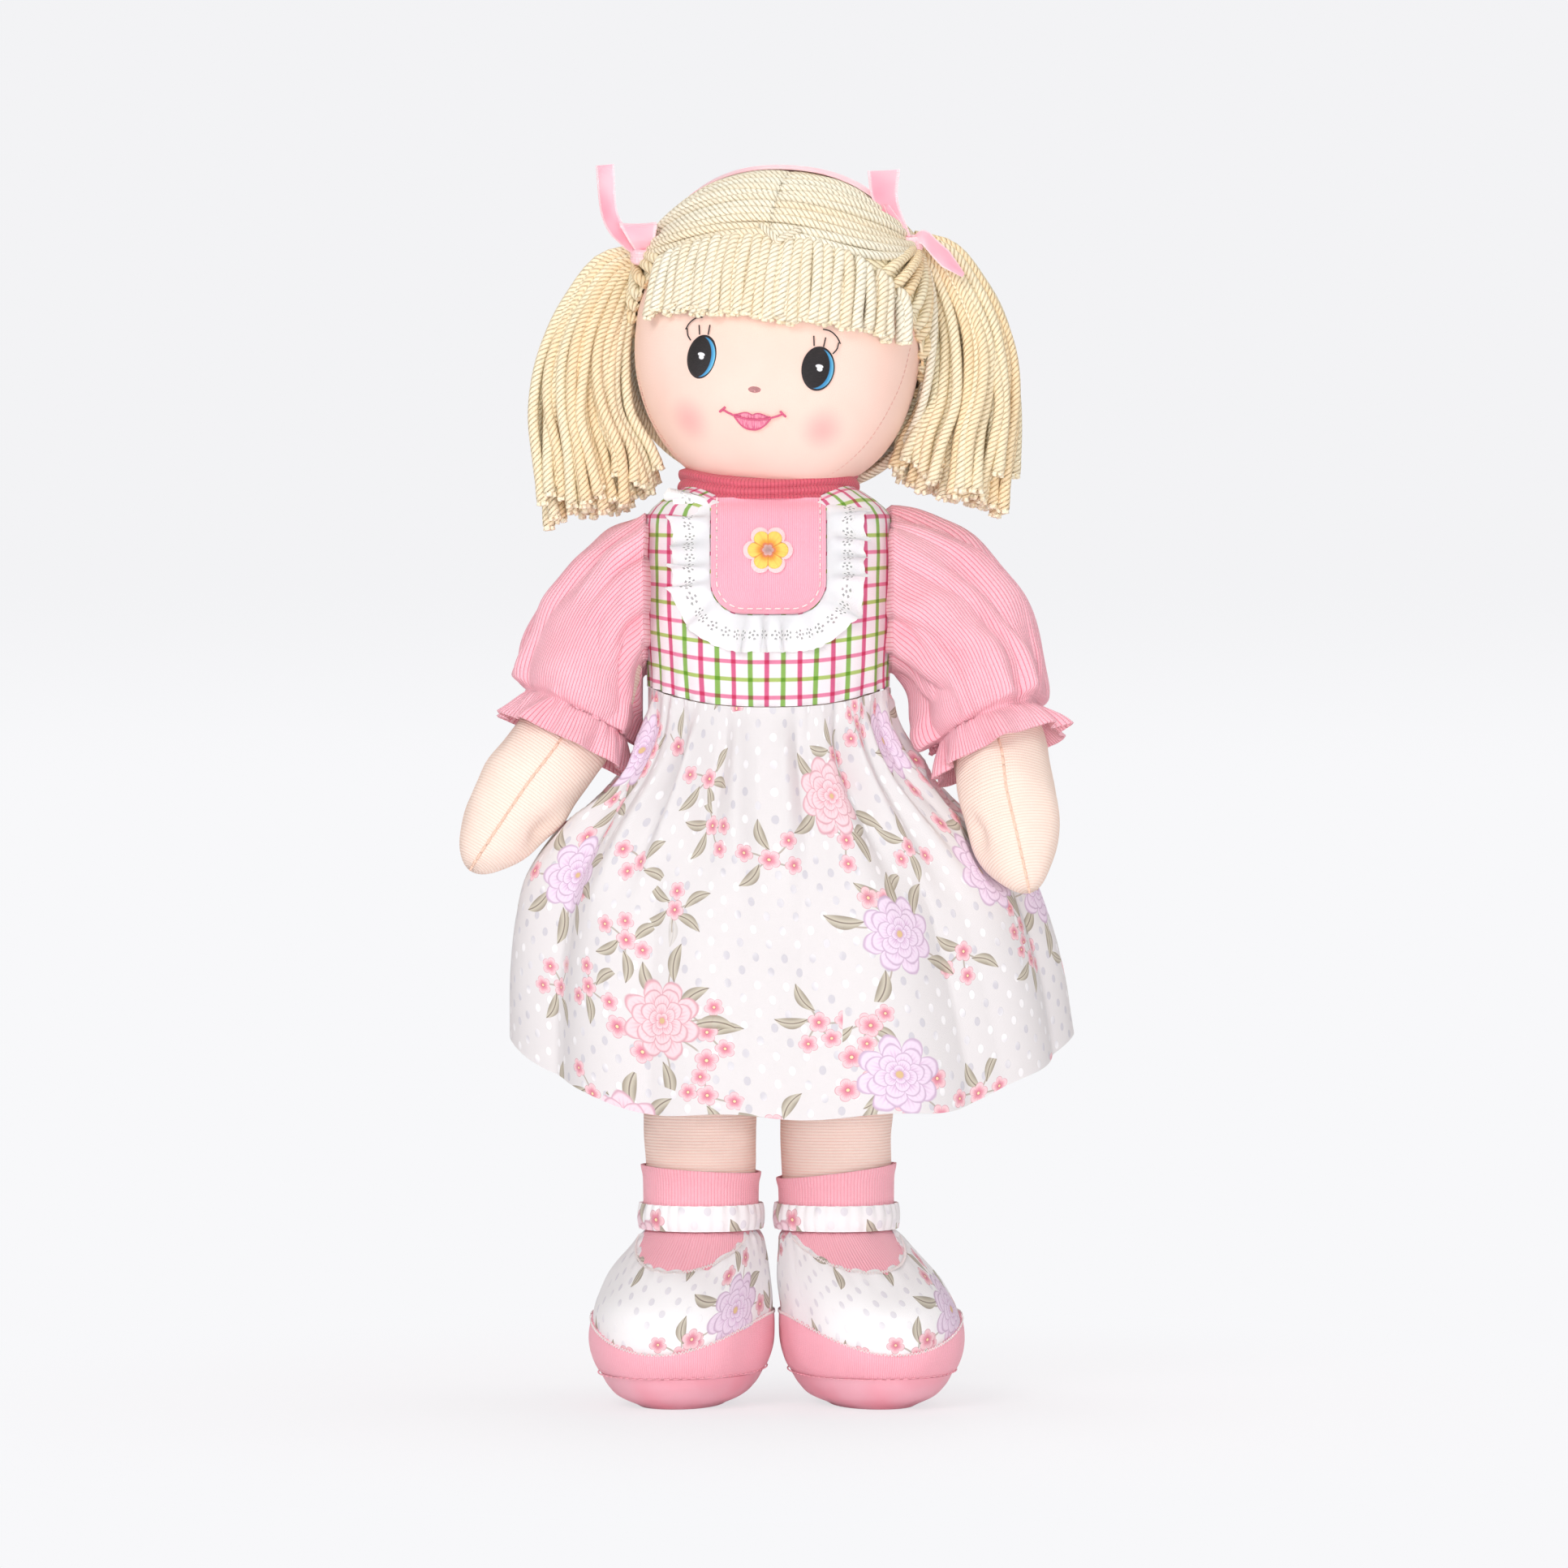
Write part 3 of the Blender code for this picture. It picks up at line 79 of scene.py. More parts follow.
# %% Sizes
LAYER_GAP = 0.0004
YARN = 0.0055
FOOT_HEIGHT = 0.083
FOOT_WIDTH = 0.086
FOOT_LENGTH = 0.114
FOOT_SETBACK = 0.022
FOOT_YAW = math.radians(12)
FOOT_OUTSET = 0.0082
FOOT_SWAY = 0.004
SOLE_HEIGHT = 0.016
LEG_LENGTH = 0.159
LEG_RADIUS = 0.028
ANKLE_RADIUS = 0.0262
LEG_SPACING = 0.066
SOCK_HEIGHT = 0.030
HIP_RADIUS = 0.038
HIP_WIDTH = 0.112
TORSO_LENGTH = 0.1355
TORSO_WIDTH = 0.116
TORSO_DEPTH = 0.080
TORSO_POWER = 2.6
LEG_PIVOT = 0.242
SIT_PIVOT = 0.3005
NECK_PIVOT = 0.455
SHOULDER_HEIGHT = 0.394
ARMHOLE_REACH = 0.060
SIDES = {"left": 1, "right": -1}
ONE_TURN = 6.28
UP = np.array((0.0, 0.0, 1.0))
BACK = np.array((0.0, 1.0, 0.0))

# %% [markdown]
# ## Surfaces from grids
# A soft surface is a grid of points: the rows run up the piece and the columns run round it,
# anticlockwise. That order makes every face point outward. The UV map holds lengths in metres,
# so a knit or a print keeps its scale on every piece.


# %% Grid helpers
def table(rows, place):
    """Read a table at many places: a smooth cubic through its rows, one value per column."""
    data = np.asarray(rows, dtype=float)
    knots, values = data[:, 0], data[:, 1:]
    slopes = np.gradient(values, knots, axis=0)
    at = np.clip(np.asarray(place, dtype=float), knots[0], knots[-1])
    cell = np.clip(np.searchsorted(knots, at, side="right") - 1, 0, len(knots) - 2)
    width = (knots[cell + 1] - knots[cell])[..., None]
    t = (at - knots[cell])[..., None] / width
    curve = values[cell] * (2 * t**3 - 3 * t**2 + 1) + values[cell + 1] * (3 * t**2 - 2 * t**3)
    curve = curve + slopes[cell] * width * (t**3 - 2 * t**2 + t)
    curve = curve + slopes[cell + 1] * width * (t**3 - t**2)
    return np.moveaxis(curve, -1, 0)


def around(count):
    """Angles once round, anticlockwise."""
    return np.linspace(0, 2 * math.pi, count, endpoint=False)


def column(values):
    """Values down a column, to meet a row of angles as a grid."""
    return np.asarray(values, dtype=float)[:, None]


def steps(start, end, count):
    """Evenly spaced values down a column."""
    return column(np.linspace(start, end, count))


def stack(x, y, z):
    """One grid of points from three that spread over each other."""
    return np.stack(np.broadcast_arrays(x, y, z), axis=-1).astype(float)


def unit(vectors):
    """The same directions at length 1."""
    return vectors / np.maximum(np.linalg.norm(vectors, axis=-1, keepdims=True), 1e-9)


def oval(angle, half_x, half_y, power=2.0):
    """|x / half_x|^power + |y / half_y|^power = 1, at angles round it."""
    cosine, sine = np.cos(angle), np.sin(angle)
    x = half_x * np.sign(cosine) * np.abs(cosine) ** (2 / power)
    return x, half_y * np.sign(sine) * np.abs(sine) ** (2 / power)


def normals_of(grid, closed=True):
    """Outward directions: across the columns, crossed with up the rows."""
    up = np.gradient(grid, axis=0)
    if closed:
        across = np.roll(grid, -1, axis=1) - np.roll(grid, 1, axis=1)
    else:
        across = np.gradient(grid, axis=1)
    return unit(np.cross(across, up))


def pushed(grid, depth):
    """Each point moved outward by its depth."""
    return grid + normals_of(grid) * (depth + 0 * grid[..., 0])[..., None]


def ripple(points, wavelength, seed):
    """A smooth random field between about -1 and 1: the mean of nine waves across space."""
    rng = np.random.default_rng(seed)
    waves = unit(rng.normal(size=(9, 3))) * 2 * math.pi / wavelength
    waves = waves * rng.uniform(0.6, 1.5, (9, 1))
    phases = rng.uniform(0, 2 * math.pi, 9)
    return np.sin(points @ waves.T + phases).mean(axis=-1) * 2


def smooth(value, low, high):
    """0 below low, 1 above high and an S-curve between."""
    t = np.clip((value - low) / (high - low), 0, 1)
    return t * t * (3 - 2 * t)


def bump(away, width):
    """1 in the middle, falling off as exp(-(away / width)^2)."""
    return np.exp(-((away / width) ** 2))


def turned_by(angle, start):
    """How far angles lie from a start, from -pi to pi."""
    return np.angle(np.exp(1j * (angle - start)))


def run_of(path):
    """The length along a path up to each of its points."""
    return np.concatenate(([0], np.cumsum(np.linalg.norm(np.diff(path, axis=0), axis=1))))


def read_path(path, run, at):
    """Points of a path at lengths along it."""
    return np.stack([np.interp(at, run, path[:, axis]) for axis in range(3)], axis=-1)


def flat_uv(u, v, wrap=False):
    """A UV grid from two that spread over each other, with its first column again at the end."""
    grid = stack(u, v, 0)[..., :2]
    return np.concatenate((grid, grid[:, :1]), axis=1) if wrap else grid


print("helpers ready")


# %% Meshes from grids
def lengths_uv(grid, closed):
    """UV in metres: arc length round each row from its middle, and up the columns."""
    wrapped = np.concatenate((grid, grid[:, :1]), axis=1) if closed else grid
    across = np.linalg.norm(np.diff(wrapped, axis=1), axis=-1)
    across = np.concatenate((np.zeros((len(grid), 1)), np.cumsum(across, axis=1)), axis=1)
    across = across.mean(axis=0)[None] * np.ones((len(grid), 1))
    rise = np.linalg.norm(np.diff(wrapped, axis=0), axis=-1).mean(axis=1)
    return flat_uv(across, column(np.concatenate(([0], np.cumsum(rise)))))


def surface(name, grid, closed=True, bottom=None, top=None, uv=None):
    """Quads over a grid, with a fan to a point at either end, and a UV map in metres."""
    rows, cols = grid.shape[:2]
    uv = lengths_uv(grid, closed) if uv is None else uv
    last = cols if closed else cols - 1
    r, c = (a.ravel() for a in np.meshgrid(np.arange(rows - 1), np.arange(last), indexing="ij"))
    right = (c + 1) % cols
    quads = np.stack((r * cols + c, r * cols + right, (r + 1) * cols + right, (r + 1) * cols + c))
    quad_uv = np.stack((uv[r, c], uv[r, c + 1], uv[r + 1, c + 1], uv[r + 1, c]), axis=1)
    faces = quads.T.tolist()
    loops = [quad_uv.reshape(-1, 2)]
    points = [grid.reshape(-1, 3)]
    count = rows * cols
    for tip, row, rising in ((bottom, 0, False), (top, rows - 1, True)):
        if tip is None:
            continue
        c = np.arange(cols)
        left, right = row * cols + c, row * cols + (c + 1) % cols
        middle = (uv[row, c] + uv[row, c + 1]) / 2
        middle[:, 1] += (1 if rising else -1) * np.linalg.norm(grid[row] - tip, axis=1).mean()
        ends = (left, right) if rising else (right, left)
        ends_uv = (uv[row, c], uv[row, c + 1]) if rising else (uv[row, c + 1], uv[row, c])
        faces += np.stack((np.full(cols, count), *ends), axis=1).tolist()
        loops.append(np.stack((middle, *ends_uv), axis=1).reshape(-1, 2))
        points.append(np.reshape(tip, (1, 3)))
        count += 1
    return mesh_object(name, np.concatenate(points), faces, np.concatenate(loops))


def mesh_object(name, points, faces, loop_uv=None):
    """A mesh object at the origin, shaded smooth, with its UV map."""
    mesh = bpy.data.meshes.new(name)
    mesh.from_pydata(np.asarray(points).tolist(), [], faces)
    if loop_uv is not None:
        layer = mesh.uv_layers.new(name="UVMap")
        layer.data.foreach_set("uv", np.ascontiguousarray(loop_uv, dtype=np.float32).ravel())
    mesh.shade_smooth()
    mesh.update()
    obj = bpy.data.objects.new(name, mesh)
    bpy.context.scene.collection.objects.link(obj)
    return obj


def thicken(obj, thickness, offset=1.0):
    """Give a sheet its thickness, outward by default, and keep the cloth's edges crisp."""
    solid = obj.modifiers.new("Thickness", "SOLIDIFY")
    solid.thickness = thickness
    solid.offset = offset
    corners = np.empty(len(obj.data.loops), dtype=np.int32)
    obj.data.loops.foreach_get("edge_index", corners)
    rim = np.bincount(corners, minlength=len(obj.data.edges)) == 1
    sharp = obj.data.attributes.get("sharp_edge")
    sharp = sharp or obj.data.attributes.new("sharp_edge", "BOOLEAN", "EDGE")
    sharp.data.foreach_set("value", rim)
    return obj


def point_values(obj, name, values):
    """Store one number per point, for the material to read."""
    layer = obj.data.attributes.new(name, "FLOAT", "POINT")
    layer.data.foreach_set("value", np.ascontiguousarray(values, dtype=np.float32).ravel())
    return obj


def dress(obj, material, body, slot, *nodes):
    """Finish a piece: its material, the body it moves with and the nodes it covers; its slot is not
    used.
    """
    obj.data.materials.append(material)
    if body:
        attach(obj, body)
    if nodes:
        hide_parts(*nodes)
    return obj


def cloth(name, grid, thickness, material, body, slot, *nodes, offset=1.0, **shape):
    """A sheet over a grid, with its thickness, dressed as a piece."""
    sheet = thicken(surface(name, grid, **shape), thickness, offset)
    return dress(sheet, material, body, slot, *nodes)


print("mesh tools ready")


# %% [markdown]
# ## Strands
# Yarn, embroidery thread and stitches are all tubes along a path. Hundreds of them are worked
# out in one array: the first axis counts the strands, the second runs along them. The UV map
# holds the angle round a strand and the length along it, which is what a twisted yarn needs.


# %% Strand tubes
def strands(name, lines, radius, sides=8, away=UP, seed=1):
    """Tubes along many lines: centre + r * (cos * n + sin * b), with n across the line."""
    lines = np.asarray(lines, dtype=float)
    many, count = lines.shape[:2]
    along = unit(np.gradient(lines, axis=1))
    first = unit(np.cross(along, np.broadcast_to(away, lines.shape)))
    second = np.cross(along, first)
    radius = np.broadcast_to(radius, (many, count))
    angle = around(sides)
    ring = np.cos(angle)[:, None] * first[:, :, None] + np.sin(angle)[:, None] * second[:, :, None]
    points = lines[:, :, None] + radius[..., None, None] * ring
    steps = np.linalg.norm(np.diff(lines, axis=1), axis=-1)
    run = np.concatenate((np.zeros((many, 1)), np.cumsum(steps, axis=1)), axis=1)
    rng = np.random.default_rng(seed)
    run = run + rng.uniform(0, 1, (many, 1))
    s, r, c = np.meshgrid(np.arange(many), np.arange(count - 1), np.arange(sides), indexing="ij")
    s, r, c = s.ravel(), r.ravel(), c.ravel()
    base, right = s * count * sides, (c + 1) % sides
    low, high = base + r * sides, base + (r + 1) * sides
    quads = np.stack((low + c, low + right, high + right, high + c), axis=1)
    u0, u1, v0, v1 = c / sides, (c + 1) / sides, run[s, r], run[s, r + 1]
    quad_uv = np.stack((u0, v0, u1, v0, u1, v1, u0, v1), axis=1).reshape(-1, 2)
    tips = many * count * sides
    s, c = (a.ravel() for a in np.meshgrid(np.arange(many), np.arange(sides), indexing="ij"))
    right = (c + 1) % sides
    start, end = s * count * sides, s * count * sides + (count - 1) * sides
    low_fan = np.stack((tips + s, start + right, start + c), axis=1)
    high_fan = np.stack((tips + many + s, end + c, end + right), axis=1)
    fan_uv = []
    for row, flip in ((0, True), (count - 1, False)):
        u0, u1, v = c / sides, (c + 1) / sides, run[s, row]
        first_u, second_u = (u1, u0) if flip else (u0, u1)
        fan_uv.append(np.stack(((u0 + u1) / 2, v, first_u, v, second_u, v), axis=1).reshape(-1, 2))
    points = np.concatenate((points.reshape(-1, 3), lines[:, 0], lines[:, -1]))
    faces = quads.tolist() + low_fan.tolist() + high_fan.tolist()
    obj = mesh_object(name, points, faces, np.concatenate((quad_uv, *fan_uv)))
    tone = rng.uniform(0, 1, many)
    body = np.repeat(tone, count * sides)
    return point_values(obj, "tone", np.concatenate((body, tone, tone)))


def resample(points, count):
    """The same path at evenly spaced places along its length."""
    run = run_of(points)
    return read_path(points, run, np.linspace(0, run[-1], count))


def stitch_lines(path, stitch, gap, samples=5, lift=0.0004, outward=None):
    """Cut a path into stitches, each a short arc that dips into the cloth at both ends."""
    run = run_of(path)
    count = max(1, int((run[-1] + gap) / (stitch + gap)))
    start = np.linspace(0, run[-1] - stitch, count)
    at = start[:, None] + np.linspace(0, stitch, samples)
    lines = read_path(path, run, at)
    if outward is not None:
        arch = np.sin(np.linspace(0, math.pi, samples))[None, :, None]
        lines = lines + unit(read_path(outward, run, at)) * lift * arch
    return lines


print("strand tools ready")


# %% [markdown]
# ## Shader tools
# Each finish is built from nodes. A small class keeps the calls short, and a wire between two
# nodes takes plain sums. Effects that several fabrics share are node groups with named inputs.


# %% Shader helpers
def tint(red, green, blue):
    """A colour given as screen values from 0 to 255, as the linear colour that a shader takes."""
    values = np.array((red, green, blue)) / 255
    linear = np.where(values <= 0.04045, values / 12.92, ((values + 0.055) / 1.055) ** 2.4)
    return (*(float(v) for v in linear), 1.0)


def summed(operation, swapped=False):
    """A method that works out one Math node from a wire and another value."""

    def method(self, *others):
        return self.nodes.math(operation, *((*others, self) if swapped else (self, *others)))

    return method


class Wire:
    """A node's output that sums can use: a * b adds a Math node and gives its output."""

    def __init__(self, nodes, socket):
        self.nodes, self.socket = nodes, socket

    __add__, __sub__, __rsub__ = summed("ADD"), summed("SUBTRACT"), summed("SUBTRACT", True)
    __mul__, __truediv__, __rtruediv__ = summed("MULTIPLY"), summed("DIVIDE"), summed("DIVIDE", True)
    __pow__, __abs__ = summed("POWER"), summed("ABSOLUTE")


class Nodes:
    """Short calls that add nodes to one tree. Each returns the wire that the next step reads."""

    def __init__(self, tree):
        self.tree = tree

    def plug(self, socket, value):
        """Link a wire to a socket, or set the socket's value."""
        if isinstance(value, Wire):
            self.tree.links.new(value.socket, socket)
        else:
            socket.default_value = value

    def add(self, kind, settings=(), inputs=()):
        """A shader node with its settings and its inputs."""
        node = self.tree.nodes.new("ShaderNode" + kind)
        for key, value in dict(settings).items():
            setattr(node, key, value)
        for key, value in dict(inputs).items():
            self.plug(node.inputs[key], value)
        return node

    def get(self, kind, settings=(), inputs=(), *outputs):
        """What a new node gives out: its first output, or those that are named."""
        node = self.add(kind, settings, inputs)
        found = [Wire(self, node.outputs[key]) for key in outputs or (0,)]
        return found if len(found) > 1 else found[0]

    def math(self, operation, *values, clamp=False):
        """One Math node."""
        settings = {"operation": operation, "use_clamp": clamp}
        return self.get("Math", settings, enumerate(values))

    sine, cosine = partialmethod(math, "SINE"), partialmethod(math, "COSINE")
    floor, fract = partialmethod(math, "FLOOR"), partialmethod(math, "FRACT")
    pingpong, modulo = partialmethod(math, "PINGPONG"), partialmethod(math, "MODULO")
    angle, most = partialmethod(math, "ARCTAN2"), partialmethod(math, "MAXIMUM")

    def length(self, x, y):
        """The square root of x^2 + y^2."""
        return self.math("SQRT", x * x + y * y)

    def ridge(self, turns):
        """|sin(pi * turns)|: one round ridge for each turn."""
        return abs(self.sine(turns * math.pi))

    def wave(self, value, pitch):
        """A sine between 0 and 1 with a pitch in metres."""
        return self.sine(value * (2 * math.pi / pitch)) * 0.5 + 0.5

    def odd(self, index):
        """0 for an even whole number and 1 for an odd one."""
        return self.fract(index * 0.5) * 2.0

    def vector(self, operation, *values, out=0):
        """One Vector Math node."""
        return self.get("VectorMath", {"operation": operation}, enumerate(values), out)

    def mix(self, factor, first, second, mode="MIX"):
        """Two colours mixed."""
        settings = {"data_type": "RGBA", "blend_type": mode}
        return self.get("Mix", settings, {0: factor, 6: first, 7: second}, 2)

    def rise(self, *values):
        """An S-curve of value, low, high, start and end: start to end as value goes low to high."""
        return self.get("MapRange", {"interpolation_type": "SMOOTHSTEP"}, enumerate(values))

    def split(self, vector):
        """The parts of a vector."""
        return self.get("SeparateXYZ", (), {0: vector}, 0, 1, 2)

    def join(self, *parts):
        """A vector from its parts."""
        return self.get("CombineXYZ", (), enumerate(parts))

    def uv(self):
        """The piece's own UV map."""
        return self.get("TexCoord", (), (), "UV")

    def place(self):
        """Object coordinates, which are metres in the doll's frame."""
        return self.get("TexCoord", (), (), "Object")

    def noise(self, vector, size, detail=2.0):
        """A noise whose lumps are about one size wide."""
        return self.get("TexNoise", (), {"Vector": vector, "Scale": 1 / size, "Detail": detail})

    def group(self, tree, outputs, **inputs):
        """A node group with its values."""
        return self.get("Group", {"node_tree": tree}, inputs, *outputs)

    def surface(self, output, *parts):
        """Plug a mix of a factor and two shader nodes into an output node."""
        mixed = self.add("MixShader", (), {0: parts[0]})
        for socket, node in zip(mixed.inputs[1:], parts[1:]):
            self.tree.links.new(node.outputs[0], socket)
        self.tree.links.new(mixed.outputs[0], output.inputs["Surface"])


def new_group(name, inputs, outputs):
    """An empty node group with named sockets; inputs give each one's kind and value."""
    tree = bpy.data.node_groups.new(name, "ShaderNodeTree")
    for key, value in inputs.items():
        kind = "NodeSocketVector" if value is None else "NodeSocketFloat"
        socket = tree.interface.new_socket(key, in_out="INPUT", socket_type=kind)
        if value is not None:
            socket.default_value = value
    for key in outputs:
        tree.interface.new_socket(key, in_out="OUTPUT", socket_type="NodeSocketFloat")
    nodes = Nodes(tree)
    start, end = (tree.nodes.new(kind) for kind in ("NodeGroupInput", "NodeGroupOutput"))
    given = {key: Wire(nodes, start.outputs[key]) for key in inputs}
    return tree, nodes, given, end.inputs


def fabric(name, roughness=0.85, sheen=0.25, sheen_tint=(1, 1, 1, 1), specular=0.3):
    """An empty cloth material: its Principled shader, with the constants on its own sockets."""
    material = bpy.data.materials.new(name)
    material.use_nodes = True
    shader = material.node_tree.nodes["Principled BSDF"]
    shader.inputs["Roughness"].default_value = roughness
    shader.inputs["Sheen Weight"].default_value = sheen
    shader.inputs["Sheen Roughness"].default_value = 0.45
    shader.inputs["Sheen Tint"].default_value = sheen_tint
    shader.inputs["Specular IOR Level"].default_value = specular
    return material, Nodes(material.node_tree), shader


def finish(nodes, shader, colour, height, depth, extra=None, extra_depth=0.0):
    """Give a material its colour and a bump: heights from 0 to 1, worth depth metres."""
    nodes.plug(shader.inputs["Base Color"], colour)
    normal = nodes.get("Bump", (), {"Height": height, "Distance": depth})
    if extra is not None:
        inputs = {"Height": extra, "Distance": extra_depth, "Normal": normal}
        normal = nodes.get("Bump", (), inputs)
    nodes.plug(shader.inputs["Normal"], normal)


print("shader helpers ready")

# %% [markdown]
# ## Shared effects
# *Knit ribs* are columns of small stitches, with a groove between the columns. *Fibre haze* is
# the slow, blotchy change of tone and the fine fluff that every cloth shows. *Twisted plies*
# are the slanted strands of a plied yarn, read from the angle round it and the length along it.


# %% Node groups
def knit_ribs_group():
    """height = |sin(pi u / pitch)|^0.8 with slanted stitches on it; groove = where it is low, a mask
    for painted shade.
    """
    inputs = {"Vector": None, "Pitch": 0.0015, "Stitch": 0.0012}
    tree, n, given, out = new_group("Knit ribs", inputs, ("Height", "Groove"))
    u, v, _ = n.split(given["Vector"])
    turns = u / given["Pitch"]
    rib = n.ridge(turns)
    slant = n.pingpong(turns, 0.5)
    course = v / given["Stitch"] + slant
    loop = n.ridge(course)
    soft = rib ** 0.8
    n.plug(out["Height"], loop * 0.3 + soft * 0.7)
    n.plug(out["Groove"], n.rise(rib, 0.45, 0.0))
    return tree


def fibre_haze_group():
    """patch = a slow noise around 0.5; fluff = a fine stretched noise, both on object places."""
    inputs = {"Vector": None, "Patch": 0.03, "Fluff": 0.0009}
    tree, n, given, out = new_group("Fibre haze", inputs, ("Patch", "Fluff"))
    for name, detail in (("Patch", 2.0), ("Fluff", 3.0)):
        inputs = {"Vector": given["Vector"], "Scale": 1.0 / given[name], "Detail": detail}
        n.plug(out[name], n.get("TexNoise", (), inputs))
    return tree


def twisted_plies_group():
    """phase = plies * turn - length / pitch; height is a round ridge for each ply; groove, where it
    is low, is a mask for painted shade.
    """
    inputs = {"Vector": None, "Plies": 4.0, "Pitch": 0.011}
    tree, n, given, out = new_group("Twisted plies", inputs, ("Height", "Groove"))
    u, v, _ = n.split(given["Vector"])
    turns = u * given["Plies"]
    phase = turns - v / given["Pitch"]
    ridge = n.ridge(phase)
    n.plug(out["Height"], ridge ** 0.6)
    n.plug(out["Groove"], n.rise(ridge, 0.42, 0.0))
    return tree


def woven_threads_group():
    """A plain weave: warp and weft ridges that pass over each other in a chequer."""
    tree, n, given, out = new_group("Woven threads", {"Vector": None, "Pitch": 0.0006}, ("Height",))
    u, v, _ = n.split(given["Vector"])
    across = u / given["Pitch"]
    along = v / given["Pitch"]
    warp = n.ridge(across)
    weft = n.ridge(along)
    both = n.floor(across) + n.floor(along)
    over = n.odd(both)
    gap = weft - warp
    n.plug(out["Height"], gap * over + warp)
    return tree


KNIT_RIBS = knit_ribs_group()
FIBRE_HAZE = fibre_haze_group()
TWISTED_PLIES = twisted_plies_group()
WOVEN_THREADS = woven_threads_group()
print("node groups:", len(bpy.data.node_groups))


# %% Knit finishes
def knit(name, light, dark, pitch, stitch, depth, turn=False, fluff_depth=0.0002, **look):
    """A rib knit: the ribs run up the UV map, or across it where it is turned, with painted shade in
    the grooves.
    """
    material, n, shader = fabric(name, **look)
    u, v, _ = n.split(n.uv())
    vector = n.join(v, u) if turn else n.join(u, v)
    sizes = {"Vector": vector, "Pitch": pitch, "Stitch": stitch}
    height, groove = n.group(KNIT_RIBS, ("Height", "Groove"), **sizes)
    patch, fluff = n.group(FIBRE_HAZE, ("Patch", "Fluff"), Vector=n.place())
    # painted shade: the grooves between the ribs take the dark tint; patch and fluff add the cloth's
    # own uneven tone
    shade = n.math("MULTIPLY_ADD", patch, 0.35, groove * 0.75, clamp=True)
    shade = n.math("MULTIPLY_ADD", fluff, 0.25, shade - 0.2, clamp=True)
    colour = n.mix(shade, light, dark)
    finish(n, shader, colour, height, depth, extra=fluff, extra_depth=fluff_depth)
    return material


# The skin knit of arms and legs has fine ribs that run round the limb. The legs' copy has a warmer,
# paler dark tint: painted light, to make up for the skirt's shade on the legs.
LIMB = {"pitch": 0.0015, "stitch": 0.0011, "depth": 0.0003, "turn": True, "fluff_depth": 0.00006}
LIMB_LOOK = {"roughness": 0.9, "sheen": 0.2, "sheen_tint": tint(255, 225, 205)}
SKIN = knit("arm_knit", tint(254, 235, 223), tint(238, 198, 178), **LIMB, **LIMB_LOOK)
LEG_SKIN_LIT = knit("leg_knit_lit", tint(255, 233, 222), tint(250, 198, 180), **LIMB, **LIMB_LOOK)
PINK_RIB = knit("sleeve_knit", tint(255, 199, 211), tint(236, 92, 120), 0.0018, 0.0013, 0.0005)
BIB_RIB = knit("bib_knit", tint(255, 182, 198), tint(238, 132, 158), 0.0009, 0.0009, 0.0002)
COLLAR_RIB = knit("collar_knit", tint(222, 104, 122), tint(178, 52, 76), 0.0018, 0.0014, 0.0004)
BAND_RIB = knit("shoe_band_knit", tint(255, 188, 202), tint(242, 146, 166), 0.0011, 0.001, 0.0002)
SOCK_RIB = knit("sock_knit", tint(255, 190, 202), tint(246, 142, 162), 0.0016, 0.0013, 0.0003)
print("knits ready")


# %% [markdown]
# ## The face's jersey
# The face is a smooth brushed jersey over firm filling. Its blush is sprayed on in two soft
# spots, and the cloth's peach tone shifts a little in soft patches. The spots are places in the
# doll's frame, so the colour stays on the cheeks from every side.


# %% Face finish
def face_finish(cheeks):
    """Peach jersey: colour = base, warmed by patches, plus blush that fades from each cheek."""
    material, n, shader = fabric("face_jersey", roughness=0.75, sheen=0.25, specular=0.25)
    shader.inputs["Sheen Tint"].default_value = tint(255, 220, 205)
    place = n.place()
    patch, fluff = n.group(FIBRE_HAZE, ("Patch", "Fluff"), Vector=place, Patch=0.05, Fluff=0.0007)
    colour = n.mix(n.rise(patch, 0.3, 0.7), tint(251, 220, 207), tint(249, 212, 198))
    for centre in cheeks:
        away = n.vector("DISTANCE", place, tuple(float(v) for v in centre), out=1)
        spot = n.rise(away, 0.0145, 0.0, 0.0, 0.60)
        colour = n.mix(spot, colour, tint(252, 158, 160))
    height = n.group(WOVEN_THREADS, ("Height",), Vector=n.uv(), Pitch=0.0005)
    finish(n, shader, colour, height, 0.00004, extra=fluff, extra_depth=0.00008)
    return material


# %% Yarn and thread finishes
def yarn_finish(name, light, dark, plies=4.0, pitch=0.0105, depth=0.0008):
    """Plied yarn: slanted ridges, painted shade between the plies, and a tone for each strand."""
    material, n, shader = fabric(name, roughness=0.9, sheen=0.4, specular=0.2)
    shader.inputs["Sheen Tint"].default_value = tint(255, 240, 205)
    sizes = {"Vector": n.uv(), "Plies": plies, "Pitch": pitch / plies}
    height, groove = n.group(TWISTED_PLIES, ("Height", "Groove"), **sizes)
    patch, fluff = n.group(FIBRE_HAZE, ("Patch", "Fluff"), Vector=n.place(), Fluff=0.0006)
    tone = n.get("Attribute", {"attribute_name": "tone"}, (), "Fac")
    # painted shade between the plies; the strand's tone and the slow patches are the yarn's own
    # uneven colour
    shade = groove * 0.5 + tone * 0.36
    shade = n.math("MULTIPLY_ADD", patch, 0.3, shade - 0.15, clamp=True)
    colour = n.mix(shade, light, dark)
    finish(n, shader, colour, height, depth, extra=fluff, extra_depth=0.5 * depth)
    return material


